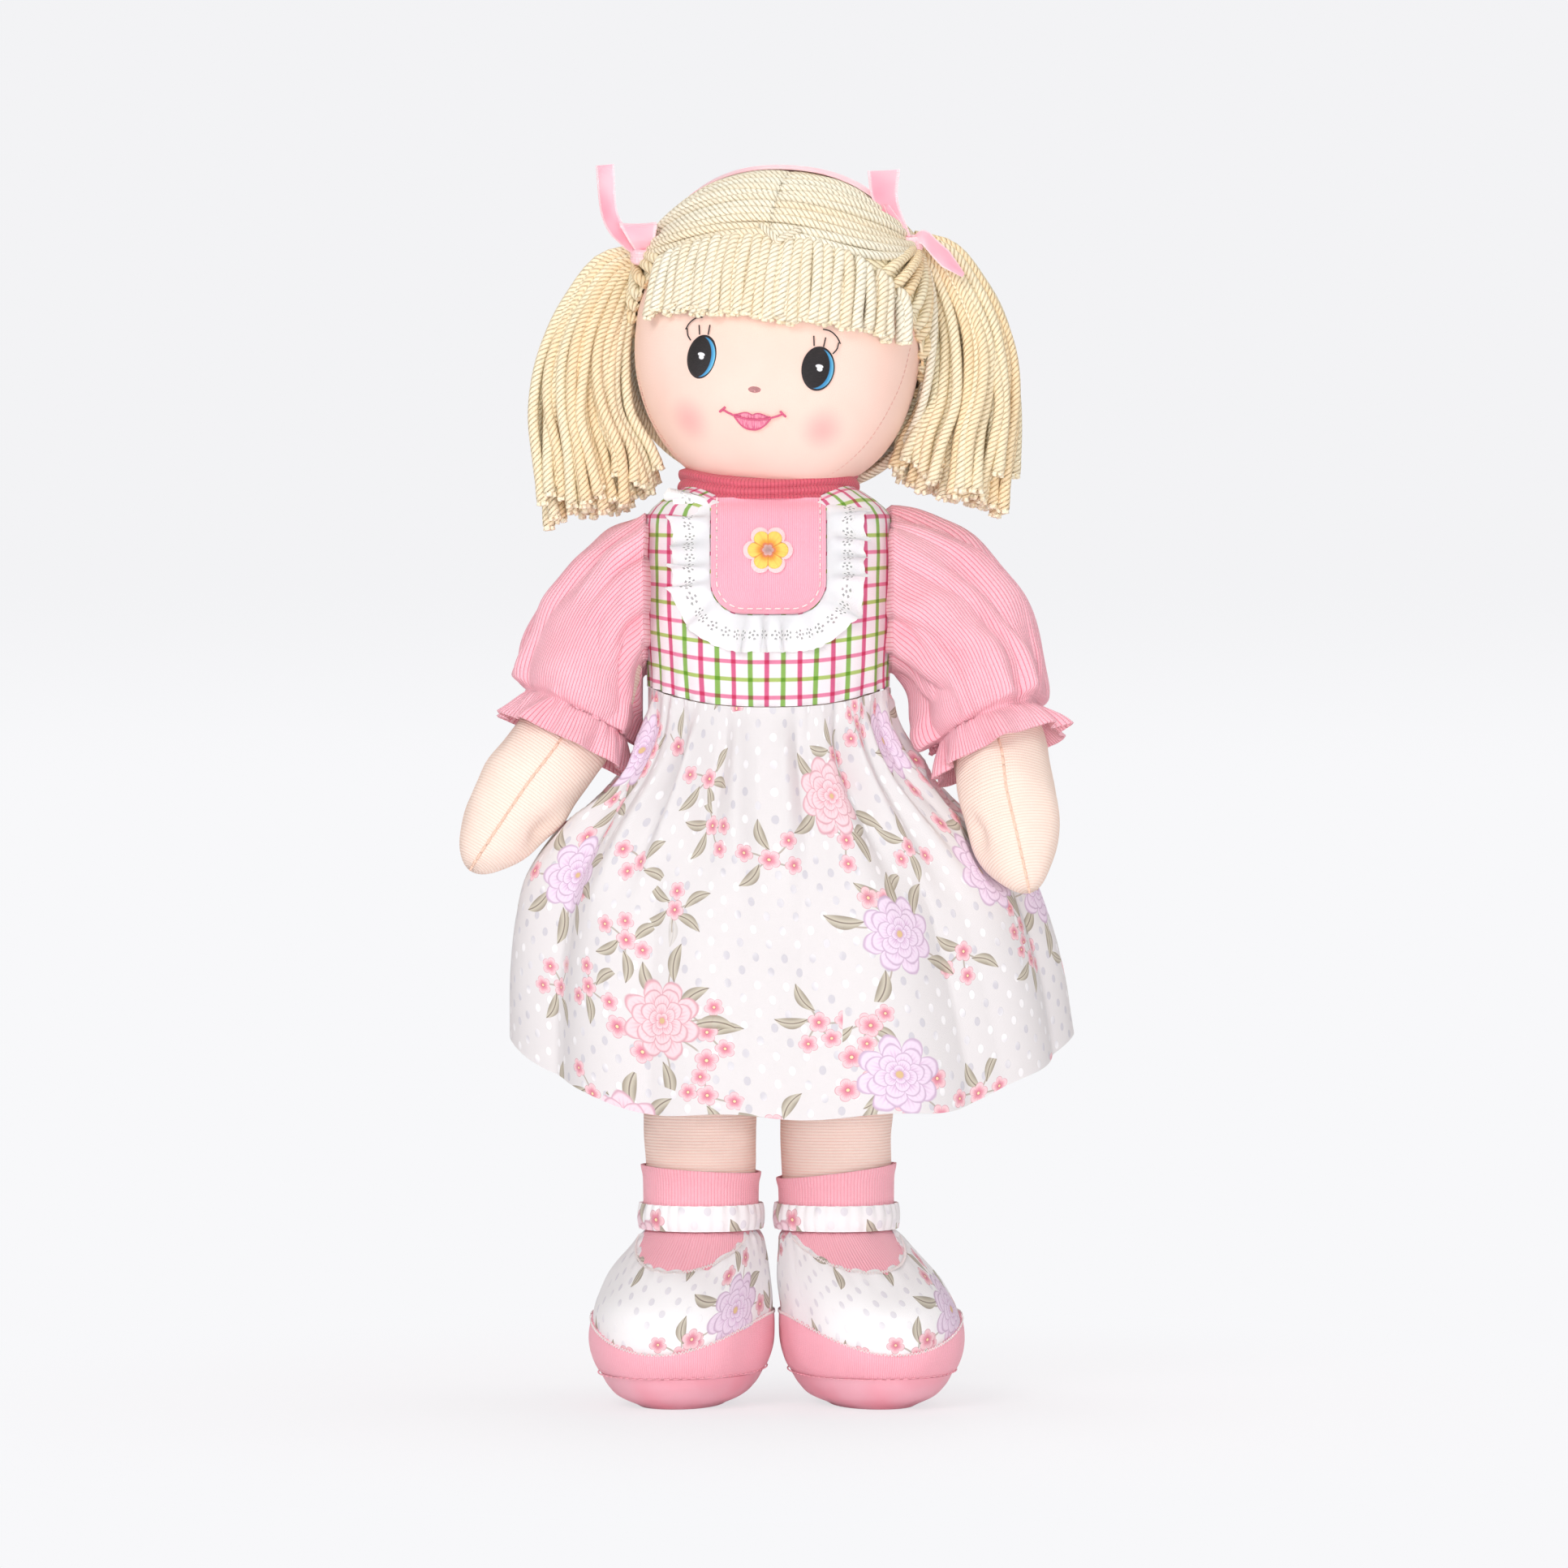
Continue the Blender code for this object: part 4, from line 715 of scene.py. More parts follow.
def thread_finish(name, light, dark):
    """Embroidery thread: two fine plies with a soft shine, and painted shade between them."""
    material, n, shader = fabric(name, roughness=0.45, sheen=0.1, specular=0.5)
    sizes = {"Vector": n.uv(), "Plies": 2.0, "Pitch": 0.0006}
    height, groove = n.group(TWISTED_PLIES, ("Height", "Groove"), **sizes)
    finish(n, shader, n.mix(groove, light, dark), height, 0.0001)
    return material


YARN_FINISH = yarn_finish("blonde_yarn", tint(255, 245, 214), tint(255, 198, 122))
# The crown's copy of the yarn is paler than the pigtails' yarn: painted light on the top of the head
# and the fringe.
CROWN_YARN_LIT = yarn_finish("crown_yarn_lit", tint(255, 250, 232), tint(255, 222, 168))
# painted light: the loose plies at the cut ends get a paler copy of the yarn, as light shining
# through thin fibres would make them.
FLUFF_LIT_TINTS = (tint(255, 250, 228), tint(255, 232, 184))
FLUFF_LIT_FINISH = yarn_finish("blonde_fluff_lit", *FLUFF_LIT_TINTS, plies=2.0, pitch=0.004, depth=0.0002)
BLACK_THREAD = thread_finish("black_thread", tint(40, 30, 34), tint(12, 8, 10))
ROSE_THREAD = thread_finish("rose_thread", tint(255, 186, 198), tint(236, 132, 154))
PINK_THREAD = thread_finish("pink_thread", tint(226, 98, 138), tint(190, 60, 104))
PALE_THREAD = thread_finish("pale_thread", tint(255, 246, 244), tint(226, 206, 208))
PEACH_THREAD = thread_finish("peach_thread", tint(253, 216, 194), tint(236, 180, 152))
SEAM_THREAD = thread_finish("seam_thread", tint(246, 194, 182), tint(224, 160, 150))
print("yarn and threads ready")


# %% [markdown]
# ## Satin
# Satin floats its threads on one side, so its highlight stretches across them. A low roughness
# with a fine thread bump gives that, and a picot edge adds small loops along both sides.


# %% Satin finish
def satin_finish(name, light, dark, width=0.0, roughness=0.3):
    """Satin: fine ridges along the cloth and painted shade in soft patches; with a width, pale loops
    along the ribbon's edges.
    """
    material, n, shader = fabric(name, roughness=roughness, sheen=0.1, specular=0.6)
    u, v, _ = n.split(n.uv())
    # painted shade: a slow noise darkens the satin in soft patches, as creases shade it
    fold = n.noise(n.join(u, v), 0.02, 1.0)
    colour = n.mix(n.rise(fold, 0.35, 0.7), light, dark)
    ridge = n.wave(v, 0.0005)
    if width:
        edge = abs(u - width / 2)
        rim = n.rise(edge, width / 2 - 0.0011, width / 2 - 0.0005)
        loops = n.wave(v, 0.0012) * rim
        colour = n.mix(rim * 0.6, colour, tint(255, 226, 230))
        ridge = ridge * 0.3 + loops
    finish(n, shader, colour, ridge, 0.00012)
    return material


RIBBON_WIDTH = 0.0088
RIBBON = satin_finish("pink_ribbon", tint(255, 192, 204), tint(253, 160, 180), RIBBON_WIDTH)
SOLE_SATIN = satin_finish("sole_satin", tint(255, 192, 206), tint(255, 176, 192), 0.0, 0.42)
NOSE_SATIN = satin_finish("nose_satin", tint(250, 186, 186), tint(226, 142, 146), 0, 0.4)
print("satin ready")


# %% [markdown]
# ## The plaid
# The dress top is a white cotton with a plaid woven into it: upright lines 8 mm apart that are
# pink and green in turn, and paler level lines that are pink and lime in turn. Where two cross,
# both threads show and the colour deepens, so the two sets are multiplied.


# %% Plaid finish
def plaid_finish():
    """Colour = white * upright lines * level lines, each a soft band at its own pitch."""
    material, n, shader = fabric("plaid_cotton", roughness=0.8, sheen=0.15)
    u, v, _ = n.split(n.uv())
    colour = tint(242, 236, 239)
    bands = (
        # axis, spacing, half width, first and second hue
        (u, 0.00800, 0.00120, tint(226, 78, 136), tint(132, 190, 60)),
        (v, 0.00816, 0.00095, tint(240, 128, 168), tint(176, 210, 92)),
    )
    for axis, gap, half, first, second in bands:
        turns = axis / gap
        away = n.pingpong(turns + 0.5, 0.5) * gap
        line = n.rise(away, half * 1.25, half * 0.7)
        hue = n.mix(n.odd(n.floor(turns)), first, second)
        colour = n.mix(line * 0.92, colour, hue, "MULTIPLY")
    patch, fluff = n.group(FIBRE_HAZE, ("Patch", "Fluff"), Vector=n.place())
    colour = n.mix(n.rise(patch, 0.45, 0.8, 0.0, 0.25), colour, tint(236, 226, 236), "MULTIPLY")
    height = n.group(WOVEN_THREADS, ("Height",), Vector=n.uv(), Pitch=0.0006)
    finish(n, shader, colour, height, 0.00008, extra=fluff, extra_depth=0.00008)
    return material


PLAID = plaid_finish()
print("plaid ready")


# %% [markdown]
# ## The flowered jacquard
# The skirt and the shoes share one cloth: off-white, with raised satin dots in staggered rows
# and a print of loose pink flowers. The print is made up here from scattered motifs: a Voronoi
# cell gives each flower its place and its turn, and petals are drawn in polar coordinates round
# it. It is a general flowered pattern of the same scale and colours.


# %% Scattered motifs
def scattered_group():
    """Polar coordinates round scattered places: reach in metres, turn in radians, chance 0-1."""
    inputs = {"Vector": None, "Cell": 0.05, "Seed": 0.0}
    outputs = ("Reach", "Turn", "Chance", "Second")
    tree, n, given, out = new_group("Scattered motifs", inputs, outputs)
    shift = n.join(given["Seed"], given["Seed"] * 1.7)
    moved = n.vector("ADD", given["Vector"], shift)
    settings = {"voronoi_dimensions": "2D", "feature": "F1"}
    inputs = {"Vector": moved, "Scale": 1.0 / given["Cell"], "Randomness": 0.75}
    colour, middle = n.get("TexVoronoi", settings, inputs, "Color", "Position")
    x, y, _ = n.split(n.vector("SUBTRACT", moved, middle))
    chance, second, _ = n.split(colour)
    n.plug(out["Reach"], n.length(x, y))
    n.plug(out["Turn"], second * (2 * math.pi) + n.angle(y, x))
    n.plug(out["Chance"], chance)
    n.plug(out["Second"], second)
    return tree


SCATTERED = scattered_group()


def petal_ring(n, ground, keep, reach, turn, radius, count, shift, tip, base, line):
    """Paint a ring of petals: pale tips, deep bases and thin dark outlines.

    The petals end where r = radius * (0.66 + 0.34 * |cos(count * turn / 2 + shift)|^0.6).
    """
    lobe = abs(n.cosine(turn * (count / 2) + shift))
    share = reach / ((lobe ** 0.6 * 0.34 + 0.66) * radius)
    mask = n.rise(share, 1.03, 0.97) * keep
    streak = n.wave(turn, 2 * math.pi / (count * 6)) * 0.16
    colour = n.mix(n.rise(share + streak, 0.95, 0.35), tip, base)
    rim = n.most(n.rise(share, 0.90, 0.98), n.rise(lobe, 0.16, 0.02))
    colour = n.mix(rim * 0.55, colour, line)
    return n.mix(mask, ground, colour)


# a bloom's rings, outermost first: share of its radius, petals, shift
BLOOM_RINGS = ((1.0, 8, 0.0), (0.80, 7, 0.8), (0.60, 6, 0.2), (0.40, 5, 1.1), (0.22, 4, 0.5))


def small_flower(n, ground, keep, reach, turn, radius):
    """Five rosy petals round a cream eye with a dark rim."""
    tip, base, line = tint(246, 208, 214), tint(226, 140, 160), tint(188, 98, 122)
    ground = petal_ring(n, ground, keep, reach, turn, radius, 5, 0.0, tip, base, line)
    eye = n.rise(reach, radius * 0.26, radius * 0.18) * keep
    ground = n.mix(eye * 0.9, ground, tint(206, 120, 130))
    core = n.rise(reach, radius * 0.16, radius * 0.10) * keep
    return n.mix(core, ground, tint(250, 226, 178))


def leaf(n, ground, keep, along, across, length, width):
    """A pointed leaf: |across| < width * (1 - (along / length)^2), taupe green with a pale rib."""
    along = along / length
    square = along * along
    across = square * (width * 0.7) + across
    away = abs(across) / width
    room = 1.0 - square
    mask = n.rise(room - away, 0.0, 0.10) * keep
    colour = n.mix(n.rise(away, 0.9, 0.1), tint(158, 146, 128), tint(204, 196, 178))
    colour = n.mix(n.rise(away, 0.14, 0.05), colour, tint(132, 116, 102))
    return n.mix(mask * 0.92, ground, colour)


def sprays(n, vector, colour, cell, ring, radius, sectors, keep, seed, big):
    """Scatter sprays: flowers and leaves at random sectors of a ring, a bloom in the middle."""
    names = ("Reach", "Turn", "Chance", "Second")
    reach, turn, chance, second = n.group(SCATTERED, names, Vector=vector, Cell=cell, Seed=seed)
    kept = n.rise(chance, keep, keep - 0.01)
    step = 2 * math.pi / sectors
    turns = turn / step
    index = n.modulo(n.floor(turns) + 4.0 * sectors, float(sectors))
    local = (n.fract(turns) - 0.5) * step
    inputs = {"Vector": n.join(index, chance * 97.0, seed)}
    noise = n.get("TexWhiteNoise", {"noise_dimensions": "3D"}, inputs, "Color")
    pick, far, lean = n.split(noise)
    middle = (far * 0.45 + 0.75) * ring
    x = reach * n.cosine(local) - middle
    y = reach * n.sine(local)
    stem_room = n.rise(reach, ring * 1.0, ring * 0.9) * n.rise(reach, 0.0, ring * 0.2)
    bend = n.sine(reach * 220.0) * 0.0009
    stem = n.rise(abs(y + bend), 0.00055, 0.00025)
    stem = stem * stem_room * n.rise(pick, 0.20, 0.21)
    colour = n.mix(stem * kept * 0.8, colour, tint(176, 160, 146))
    leaf_here = n.rise(pick, 0.56, 0.57) * kept
    colour = leaf(n, colour, leaf_here, x, y, radius * 1.75, radius * 0.62)
    flower_here = n.rise(pick, 0.55, 0.54) * n.rise(pick, 0.20, 0.21) * kept
    away = n.length(x, y)
    round_it = lean * 6.0 + n.angle(y, x)
    colour = small_flower(n, colour, flower_here, away, round_it, radius)
    if not big:
        return small_flower(n, colour, kept, reach, turn, radius * 1.1)
    lilac = n.rise(second, 0.45, 0.55)
    tip = n.mix(lilac, tint(248, 216, 222), tint(240, 222, 240))
    base = n.mix(lilac, tint(224, 138, 156), tint(206, 160, 202))
    line = n.mix(lilac, tint(190, 98, 122), tint(166, 120, 164))
    wobble = n.noise(vector, 0.012, 2.0) * 0.004
    reach = reach + (wobble - 0.002)
    for share, count, shift in BLOOM_RINGS:
        ring = (big * share, count, shift)
        colour = petal_ring(n, colour, kept, reach, turn, *ring, tip, base, line)
    core = n.rise(reach, big * 0.10, big * 0.06) * kept
    return n.mix(core, colour, tint(222, 190, 140))


def floral_finish(name, ground, grey):
    """Soft satin dots on off-white, then sprays of small flowers, and fewer large blooms."""
    material, n, shader = fabric(name, roughness=0.6, sheen=0.15, specular=0.4)
    vector = n.uv()
    u, v, _ = n.split(vector)
    gap = 0.0064
    row = n.floor(v / gap)
    stagger = n.fract(row * 0.5) * (2 * gap)
    x = n.pingpong(u + stagger, gap) / 0.0016
    y = (n.fract(v / gap) - 0.5) * (gap / 0.0023)
    away = n.length(x, y)
    dot = n.rise(away, 1.0, 0.8)
    shade = n.noise(vector, 0.02, 1.0)
    spot = n.mix(n.rise(shade, 0.42, 0.58), tint(250, 248, 250), grey)
    colour = n.mix(dot * 0.8, ground, spot)
    colour = sprays(n, vector, colour, 0.042, 0.0110, 0.0044, 6, 0.90, 5.0, 0.0)
    colour = sprays(n, vector, colour, 0.080, 0.0235, 0.0054, 9, 0.84, 14.0, 0.0190)
    shine = dot * -0.22 + 0.72
    n.plug(shader.inputs["Roughness"], shine)
    weave = n.group(WOVEN_THREADS, ("Height",), Vector=vector, Pitch=0.0005)
    finish(n, shader, colour, dot, 0.00010, extra=weave, extra_depth=0.00005)
    return material


FLORAL = floral_finish("flowered_jacquard", tint(229, 225, 226), tint(204, 201, 210))
# The shoes' copy has a paler ground and paler dots than the skirt's: painted light, making up for the
# skirt's shade over the shoes.
SHOE_FLORAL_LIT = floral_finish("shoe_jacquard_lit", tint(250, 248, 249), tint(226, 222, 230))
print("prints ready")


# %% [markdown]
# ## The stuffed body
# The trunk and the hips are plain stuffed forms under the dress. They swell and taper like the
# solids that they cover, with the slow dents that loose filling leaves under a knit.

# %% Trunk, hips and neck
TORSO_SHARES = (
    (0.00, 0.930, 0.860),
    (0.15, 0.945, 0.900),
    (0.35, 0.965, 0.930),
    (0.55, 0.990, 0.980),
    (0.72, 1.000, 1.000),
    (0.86, 1.000, 0.970),
    (0.94, 0.980, 0.930),
    (0.98, 0.925, 0.860),
    (1.00, 0.850, 0.760),
)


def torso_surface(share, angle, out=0.0):
    """The trunk at shares of its length: an oval of power 2.6 whose size follows the table."""
    width, depth = table(TORSO_SHARES, share)
    half_x, half_y = TORSO_WIDTH / 2 * width + out, TORSO_DEPTH / 2 * depth + out
    x, y = oval(angle, half_x, half_y, TORSO_POWER)
    return stack(x, y, SIT_PIVOT + TORSO_LENGTH * share)


def shoulder_rise(grid):
    """Lift the top edge beside the neck by 7 mm, and narrow it to the slope of the shoulders."""
    share = smooth(np.abs(grid[..., 0]), 0.018, 0.050) * smooth(grid[..., 2], 0.418, 0.436)
    grid = grid + UP * (0.0072 * share)[..., None]
    grid[..., 0] *= 1 - 0.20 * smooth(grid[..., 2], 0.429, 0.446)
    return grid


def torso_front(x, z, out=0.0):
    """The trunk's front at a place across it and a height."""
    width, depth = table(TORSO_SHARES, (z - SIT_PIVOT) / TORSO_LENGTH)
    across = np.clip(np.abs(x) / (TORSO_WIDTH / 2 * width), 0, 1)
    y = -(TORSO_DEPTH / 2 * depth) * (1 - across**TORSO_POWER) ** (1 / TORSO_POWER)
    return stack(x, y - out, z)


def stuffing(grid, depth, size, seed, share=1.0):
    """Slow dents: each point moves along its normal by depth times a smooth random field."""
    return pushed(grid, depth * ripple(grid, size, seed) * share)


phi = around(56)
grid = torso_surface(steps(0.24, 0.995, 26), phi, -0.0012)
grid = shoulder_rise(stuffing(grid, 0.0005, 0.04, 3))
trunk = surface("trunk_skin", grid, bottom=grid[0].mean(axis=0), top=grid[-1].mean(axis=0))
dress(trunk, SKIN, "torso", "skin_knit", "torso")

ends = np.sin(np.linspace(-math.pi / 2, math.pi / 2, 25))[1:-1]
radius = (HIP_RADIUS - 0.0004) * (1 - np.abs(column(ends)) ** 4) ** (1 / 4)
along = column(ends * HIP_WIDTH / 2)
grid = stack(along, radius * np.cos(phi), SIT_PIVOT + radius * np.sin(phi))
grid = stuffing(grid, 0.0005, 0.03, 4)
tip = np.array((HIP_WIDTH / 2, 0, SIT_PIVOT))
hips = surface("hips_skin", grid, bottom=tip * (-1, 1, 1), top=tip)
dress(hips, SKIN, "hips", "skin_knit", "hips")

NECK_RADIUS = 0.030
theta = column(np.linspace(math.acos(0.019 / NECK_RADIUS), math.pi * 0.97, 18))
grid = stack(np.sin(theta) * np.cos(phi), np.sin(theta) * np.sin(phi), -np.cos(theta))
grid = grid * NECK_RADIUS + (0, 0, NECK_PIVOT)
neck = surface("neck_skin", grid, bottom=grid[0].mean(axis=0), top=grid[-1].mean(axis=0))
dress(neck, SKIN, "neck", "skin_knit", "neck")
print("trunk, hips and neck:", [o.name for o in (trunk, hips, neck)])


# %% [markdown]
# ## The head
# The head is a firm stuffed ball, wider than it is deep, turned and tilted a little. Its skin is
# a superellipsoid: |x/a|^2.2 + |y/b|^2.2 + |z/c|^2.2 = 1, with one c above the middle and a
# shorter one below. All that sits on the head is placed in its own frame, then turned with it.

# %% Head frame
HEAD_RISE = 0.060
HEAD_POWER = 2.2
HEAD_HALF = (0.0694, 0.060)
CROWN, CHIN = 0.077, 0.0755
HEAD_TURN, HEAD_ROLL = math.radians(-9), math.radians(4.8)
cos_turn, sin_turn = math.cos(HEAD_TURN), math.sin(HEAD_TURN)
cos_roll, sin_roll = math.cos(HEAD_ROLL), math.sin(HEAD_ROLL)
TURN = np.array(((cos_turn, -sin_turn, 0), (sin_turn, cos_turn, 0), (0, 0, 1)))
ROLL = np.array(((cos_roll, 0, sin_roll), (0, 1, 0), (-sin_roll, 0, cos_roll)))
HEAD_AXES = TURN @ ROLL
HEAD_CENTRE = HEAD_AXES @ (UP * HEAD_RISE) + UP * NECK_PIVOT


def on_head(local):
    """From the head's frame, centred in the head, to the doll's."""
    return local @ HEAD_AXES.T + HEAD_CENTRE


def to_head(points):
    """From the doll's frame to the head's."""
    return (np.asarray(points) - HEAD_CENTRE) @ HEAD_AXES


def head_reach(direction, out=0.0):
    """How far the skin lies along a direction from the head's middle."""
    rise = np.where(direction[..., 2] > 0, CROWN, CHIN) + out
    total = np.abs(direction[..., 0] / (HEAD_HALF[0] + out)) ** HEAD_POWER
    total = total + np.abs(direction[..., 1] / (HEAD_HALF[1] + out)) ** HEAD_POWER
    total = total + np.abs(direction[..., 2] / rise) ** HEAD_POWER
    return total ** (-1 / HEAD_POWER)


def head_front(x, z, out=0.0):
    """The face at a place across and a height, in the head's frame."""
    rise = np.where(z > 0, CROWN, CHIN) + out
    rest = 1 - np.abs(x / (HEAD_HALF[0] + out)) ** HEAD_POWER - np.abs(z / rise) ** HEAD_POWER
    y = -(HEAD_HALF[1] + out) * np.clip(rest, 0, 1) ** (1 / HEAD_POWER)
    return stack(x, y, z)


def raised(x, z, lift, upward=1.0):
    """Places on the face, lifted away from the head's middle, in the doll's frame."""
    flat = head_front(x, z)
    return on_head(flat + unit(flat * (1, 1, upward)) * (lift + 0 * x)[..., None])


theta = column(np.linspace(0, math.pi, 74)[1:-1])
phi = around(120)
direction = stack(np.sin(theta) * np.cos(phi), np.sin(theta) * np.sin(phi), -np.cos(theta))
swell = 0.0007 * ripple(direction * 0.065, 0.05, 8)
grid = on_head(direction * (head_reach(direction) + swell)[..., None])
cheeks = [on_head(head_front(np.array(x), np.array(-0.0425))) for x in (-0.0330, 0.0320)]
poles = [on_head(UP * reach) for reach in (-CHIN, CROWN)]
head = surface("head_skin", grid, bottom=poles[0], top=poles[1])
dress(head, face_finish(cheeks), "head", "skin_knit", "head")
print("head centre", HEAD_CENTRE.round(4))


# %% [markdown]
# ## The embroidered face
# Eyes, nose and lips are satin stitch: flat threads packed side by side, raised a little over
# the jersey. Each is a domed patch on the face. Its UV map holds the place across the patch
# from -1 to 1, so the finish can draw the dark iris, the blue crescent and the white glint.


# %% Eye finish
def eye_finish(lean):
    """Zones in the oval: rim beyond 0.9, blue where a shifted circle ends, white glint inside."""
    material, n, shader = fabric("eye_thread_" + lean, roughness=0.5, sheen=0.15, specular=0.5)
    u, v, _ = n.split(n.uv())

    def away(x, y, wide, tall):
        across = (u - x) / wide
        rise = (v - y) / tall
        return n.length(across, rise)

    shift, lift = (-0.32, 0.04) if lean == "left" else (-0.30, -0.02)
    crescent = n.rise(away(shift, lift, 0.98, 0.96), 0.97, 1.02)
    depth = n.rise(away(shift, 0.0, 1.0, 1.0), 1.0, 1.22)
    blue = n.mix(depth, tint(60, 150, 205), tint(120, 205, 240))
    thread = n.noise(n.join(u * 4.0, v * 60.0), 1.0, 2.0)
    dark = n.mix(n.rise(thread, 0.35, 0.75), tint(11, 7, 9), tint(40, 32, 36))
    colour = n.mix(crescent, dark, blue)
    ovals = (away(0.02, 0.12, 0.24, 0.09), away(0.06, 0.0, 0.17, 0.10))
    glint = n.most(*(n.rise(reach, 1.1, 0.8) for reach in ovals))
    colour = n.mix(glint, colour, tint(250, 250, 255))
    rim = n.rise(away(0.0, 0.0, 1.0, 1.0), 0.885, 0.915)
    colour = n.mix(rim, colour, tint(22, 14, 20))
    rows = abs(n.sine(v * 70.0 + u * 6.0))
    finish(n, shader, colour, rows, 0.00012)
    return material


# %% Face patches
def face_disc(name, centre, half, tilt, lift, dome, rings=10, sides=48):
    """A domed oval on the face: lift + dome * (1 - r^2), turned by tilt, with its own UV."""
    angle = around(sides)
    reach = steps(1.0, 0.06, rings)
    u, v = reach * np.cos(angle), reach * np.sin(angle)
    x, z = u * half[0], v * half[1]
    x, z = x * math.cos(tilt) - z * math.sin(tilt), x * math.sin(tilt) + z * math.cos(tilt)
    height = lift * smooth(1 - reach, 0.0, 0.12) + dome * (1 - reach**2)
    grid = raised(centre[0] + x, centre[1] + z, height, 0.9)
    top = raised(*np.array(centre), lift + dome)
    return surface(name, grid, top=top, uv=flat_uv(u, v, wrap=True))


EYES = {"left": (0.0290, -0.0140, -0.10), "right": (-0.0275, -0.0125, -0.16)}
EYE_WIDE, EYE_TALL = 0.0076, 0.0106
# lashes, the curl at the outer corner and the brow, in half widths and half heights of the eye
EYE_LINES = (
    ((-0.35, 1.0), (-0.42, 1.45)),
    ((0.22, 0.99), (0.30, 1.42)),
    ((0.80, 0.72), (1.02, 0.95), (1.10, 1.25)),
    ((0.10, 1.78), (0.55, 1.72), (0.95, 1.50), (1.20, 1.20)),
)
for side, (x, z, tilt) in EYES.items():
    eye = face_disc(f"eye_patch_{side}", (x, z), (EYE_WIDE, EYE_TALL), tilt, 0.0004, 0.0008)
    dress(eye, eye_finish(side), "head", "eye_thread", f"eye_{side}")

nose = face_disc("nose_patch", (-0.0005, -0.0262), (0.0036, 0.0018), 0, 0.0004, 0.0005, 6, 24)
dress(nose, NOSE_SATIN, "head", "pink_satin", "nose")


def face_line(points, lift=0.0006, count=24):
    """A smooth path on the face through (x, z) places in the head's frame."""
    points = np.asarray(points, dtype=float)
    knots = np.linspace(0, 1, len(points))
    x, z = table(np.column_stack((knots, points)), np.linspace(0, 1, count))
    flat = head_front(x, z)
    return on_head(flat + unit(flat) * lift), unit(flat) @ HEAD_AXES.T


def eye_lines():
    """The lashes over each eye, and the thin arc of a brow over it."""
    lines = []
    for side, sign in SIDES.items():
        x, z, _ = EYES[side]
        for line in EYE_LINES:
            lines.append([(x + sign * a * EYE_WIDE, z + b * EYE_TALL) for a, b in line])
    return lines


print("eyes and nose placed")


# %% Lashes and brows
paths = [face_line(line)[0] for line in eye_lines()]
lashes = strands("lash_threads", np.array(paths), 0.00032, sides=6, away=BACK)
dress(lashes, BLACK_THREAD, "head", "eye_thread")

# %% [markdown]
# ## The mouth
# Two lips of satin stitch meet on a darker line that runs on to each corner, where a small
# tick crosses it. The lips are one patch; the lines are raised threads laid over it.

# %% Mouth
MOUTH_DROP, MOUTH_HALF, MOUTH_SHIFT = 0.0400, 0.0146, -0.0010
TICK_HALF, TICK_RISE = 0.0014, 0.0012


def mouth_middle(across):
    """The line between the lips: a shallow smile that rises with the square of the way out."""
    return -MOUTH_DROP + 0.0036 * across**2


LIP_EDGES = (
    # way across, upper edge, lower edge
    (0.00, 0.0020, -0.0047),
    (0.14, 0.0028, -0.0046),
    (0.32, 0.0023, -0.0037),
    (0.48, 0.0011, -0.0020),
    (0.60, 0.0004, -0.0004),
)
across = np.linspace(-0.60, 0.60, 41)
upper, lower = table(LIP_EDGES, np.abs(across))
way = steps(0, 1, 13)
z = mouth_middle(across) + lower + (upper - lower) * way
x = across * MOUTH_HALF + MOUTH_SHIFT + 0 * z
plump = np.sin(math.pi * np.abs((z - mouth_middle(across))) / 0.0047 * 0.9)
lips = raised(x, z, 0.0004 + 0.0006 * np.clip(plump, 0, 1))


def lip_finish():
    """Pink satin stitch: upright threads with lighter and darker runs."""
    material, n, shader = fabric("lip_thread", roughness=0.45, sheen=0.1, specular=0.5)
    u, v, _ = n.split(n.uv())
    run = n.noise(n.join(u * 6.0, v), 0.003, 2.0)
    colour = n.mix(n.rise(run, 0.3, 0.7), tint(224, 100, 140), tint(255, 176, 196))
    finish(n, shader, colour, n.wave(u, 0.0005), 0.00012)
    return material


cloth(
    "lip_patch", lips, 0.0004, lip_finish(), "head", "mouth_thread", "mouth", offset=-1, closed=False
)
def mouth_place(across, rise=0.0):
    """Across and up in the head's frame, at a share of the way to a corner."""
    return np.array((across * MOUTH_HALF + MOUTH_SHIFT, mouth_middle(across) + rise))


middle = [mouth_place(share) for share in np.linspace(-1.0, 1.0, 13)]
edges = [[mouth_place(*pair) for pair in zip(across[::4], row[::4])] for row in (upper, lower)]
ticks = []
for sign in (-1, 1):
    lean = np.array((TICK_HALF, -sign * TICK_RISE))
    ticks.append((mouth_place(sign) - lean, mouth_place(sign) + lean))
paths = [face_line(line, 0.0009, 40)[0] for line in (middle, *edges, *ticks)]
radius = column((0.00048, 0.0003, 0.00042, 0.00055, 0.00055))
mouth_lines = strands("mouth_threads", np.array(paths), radius, sides=6, away=BACK)
dress(mouth_lines, PINK_THREAD, "head", "mouth_thread")
print("mouth stitched")

# %% [markdown]
# ## The face panel's seam
# The face is one panel sewn to the sides and the chin. The seam shows as a fine line of small
# stitches that runs down each side of the face and under the chin.

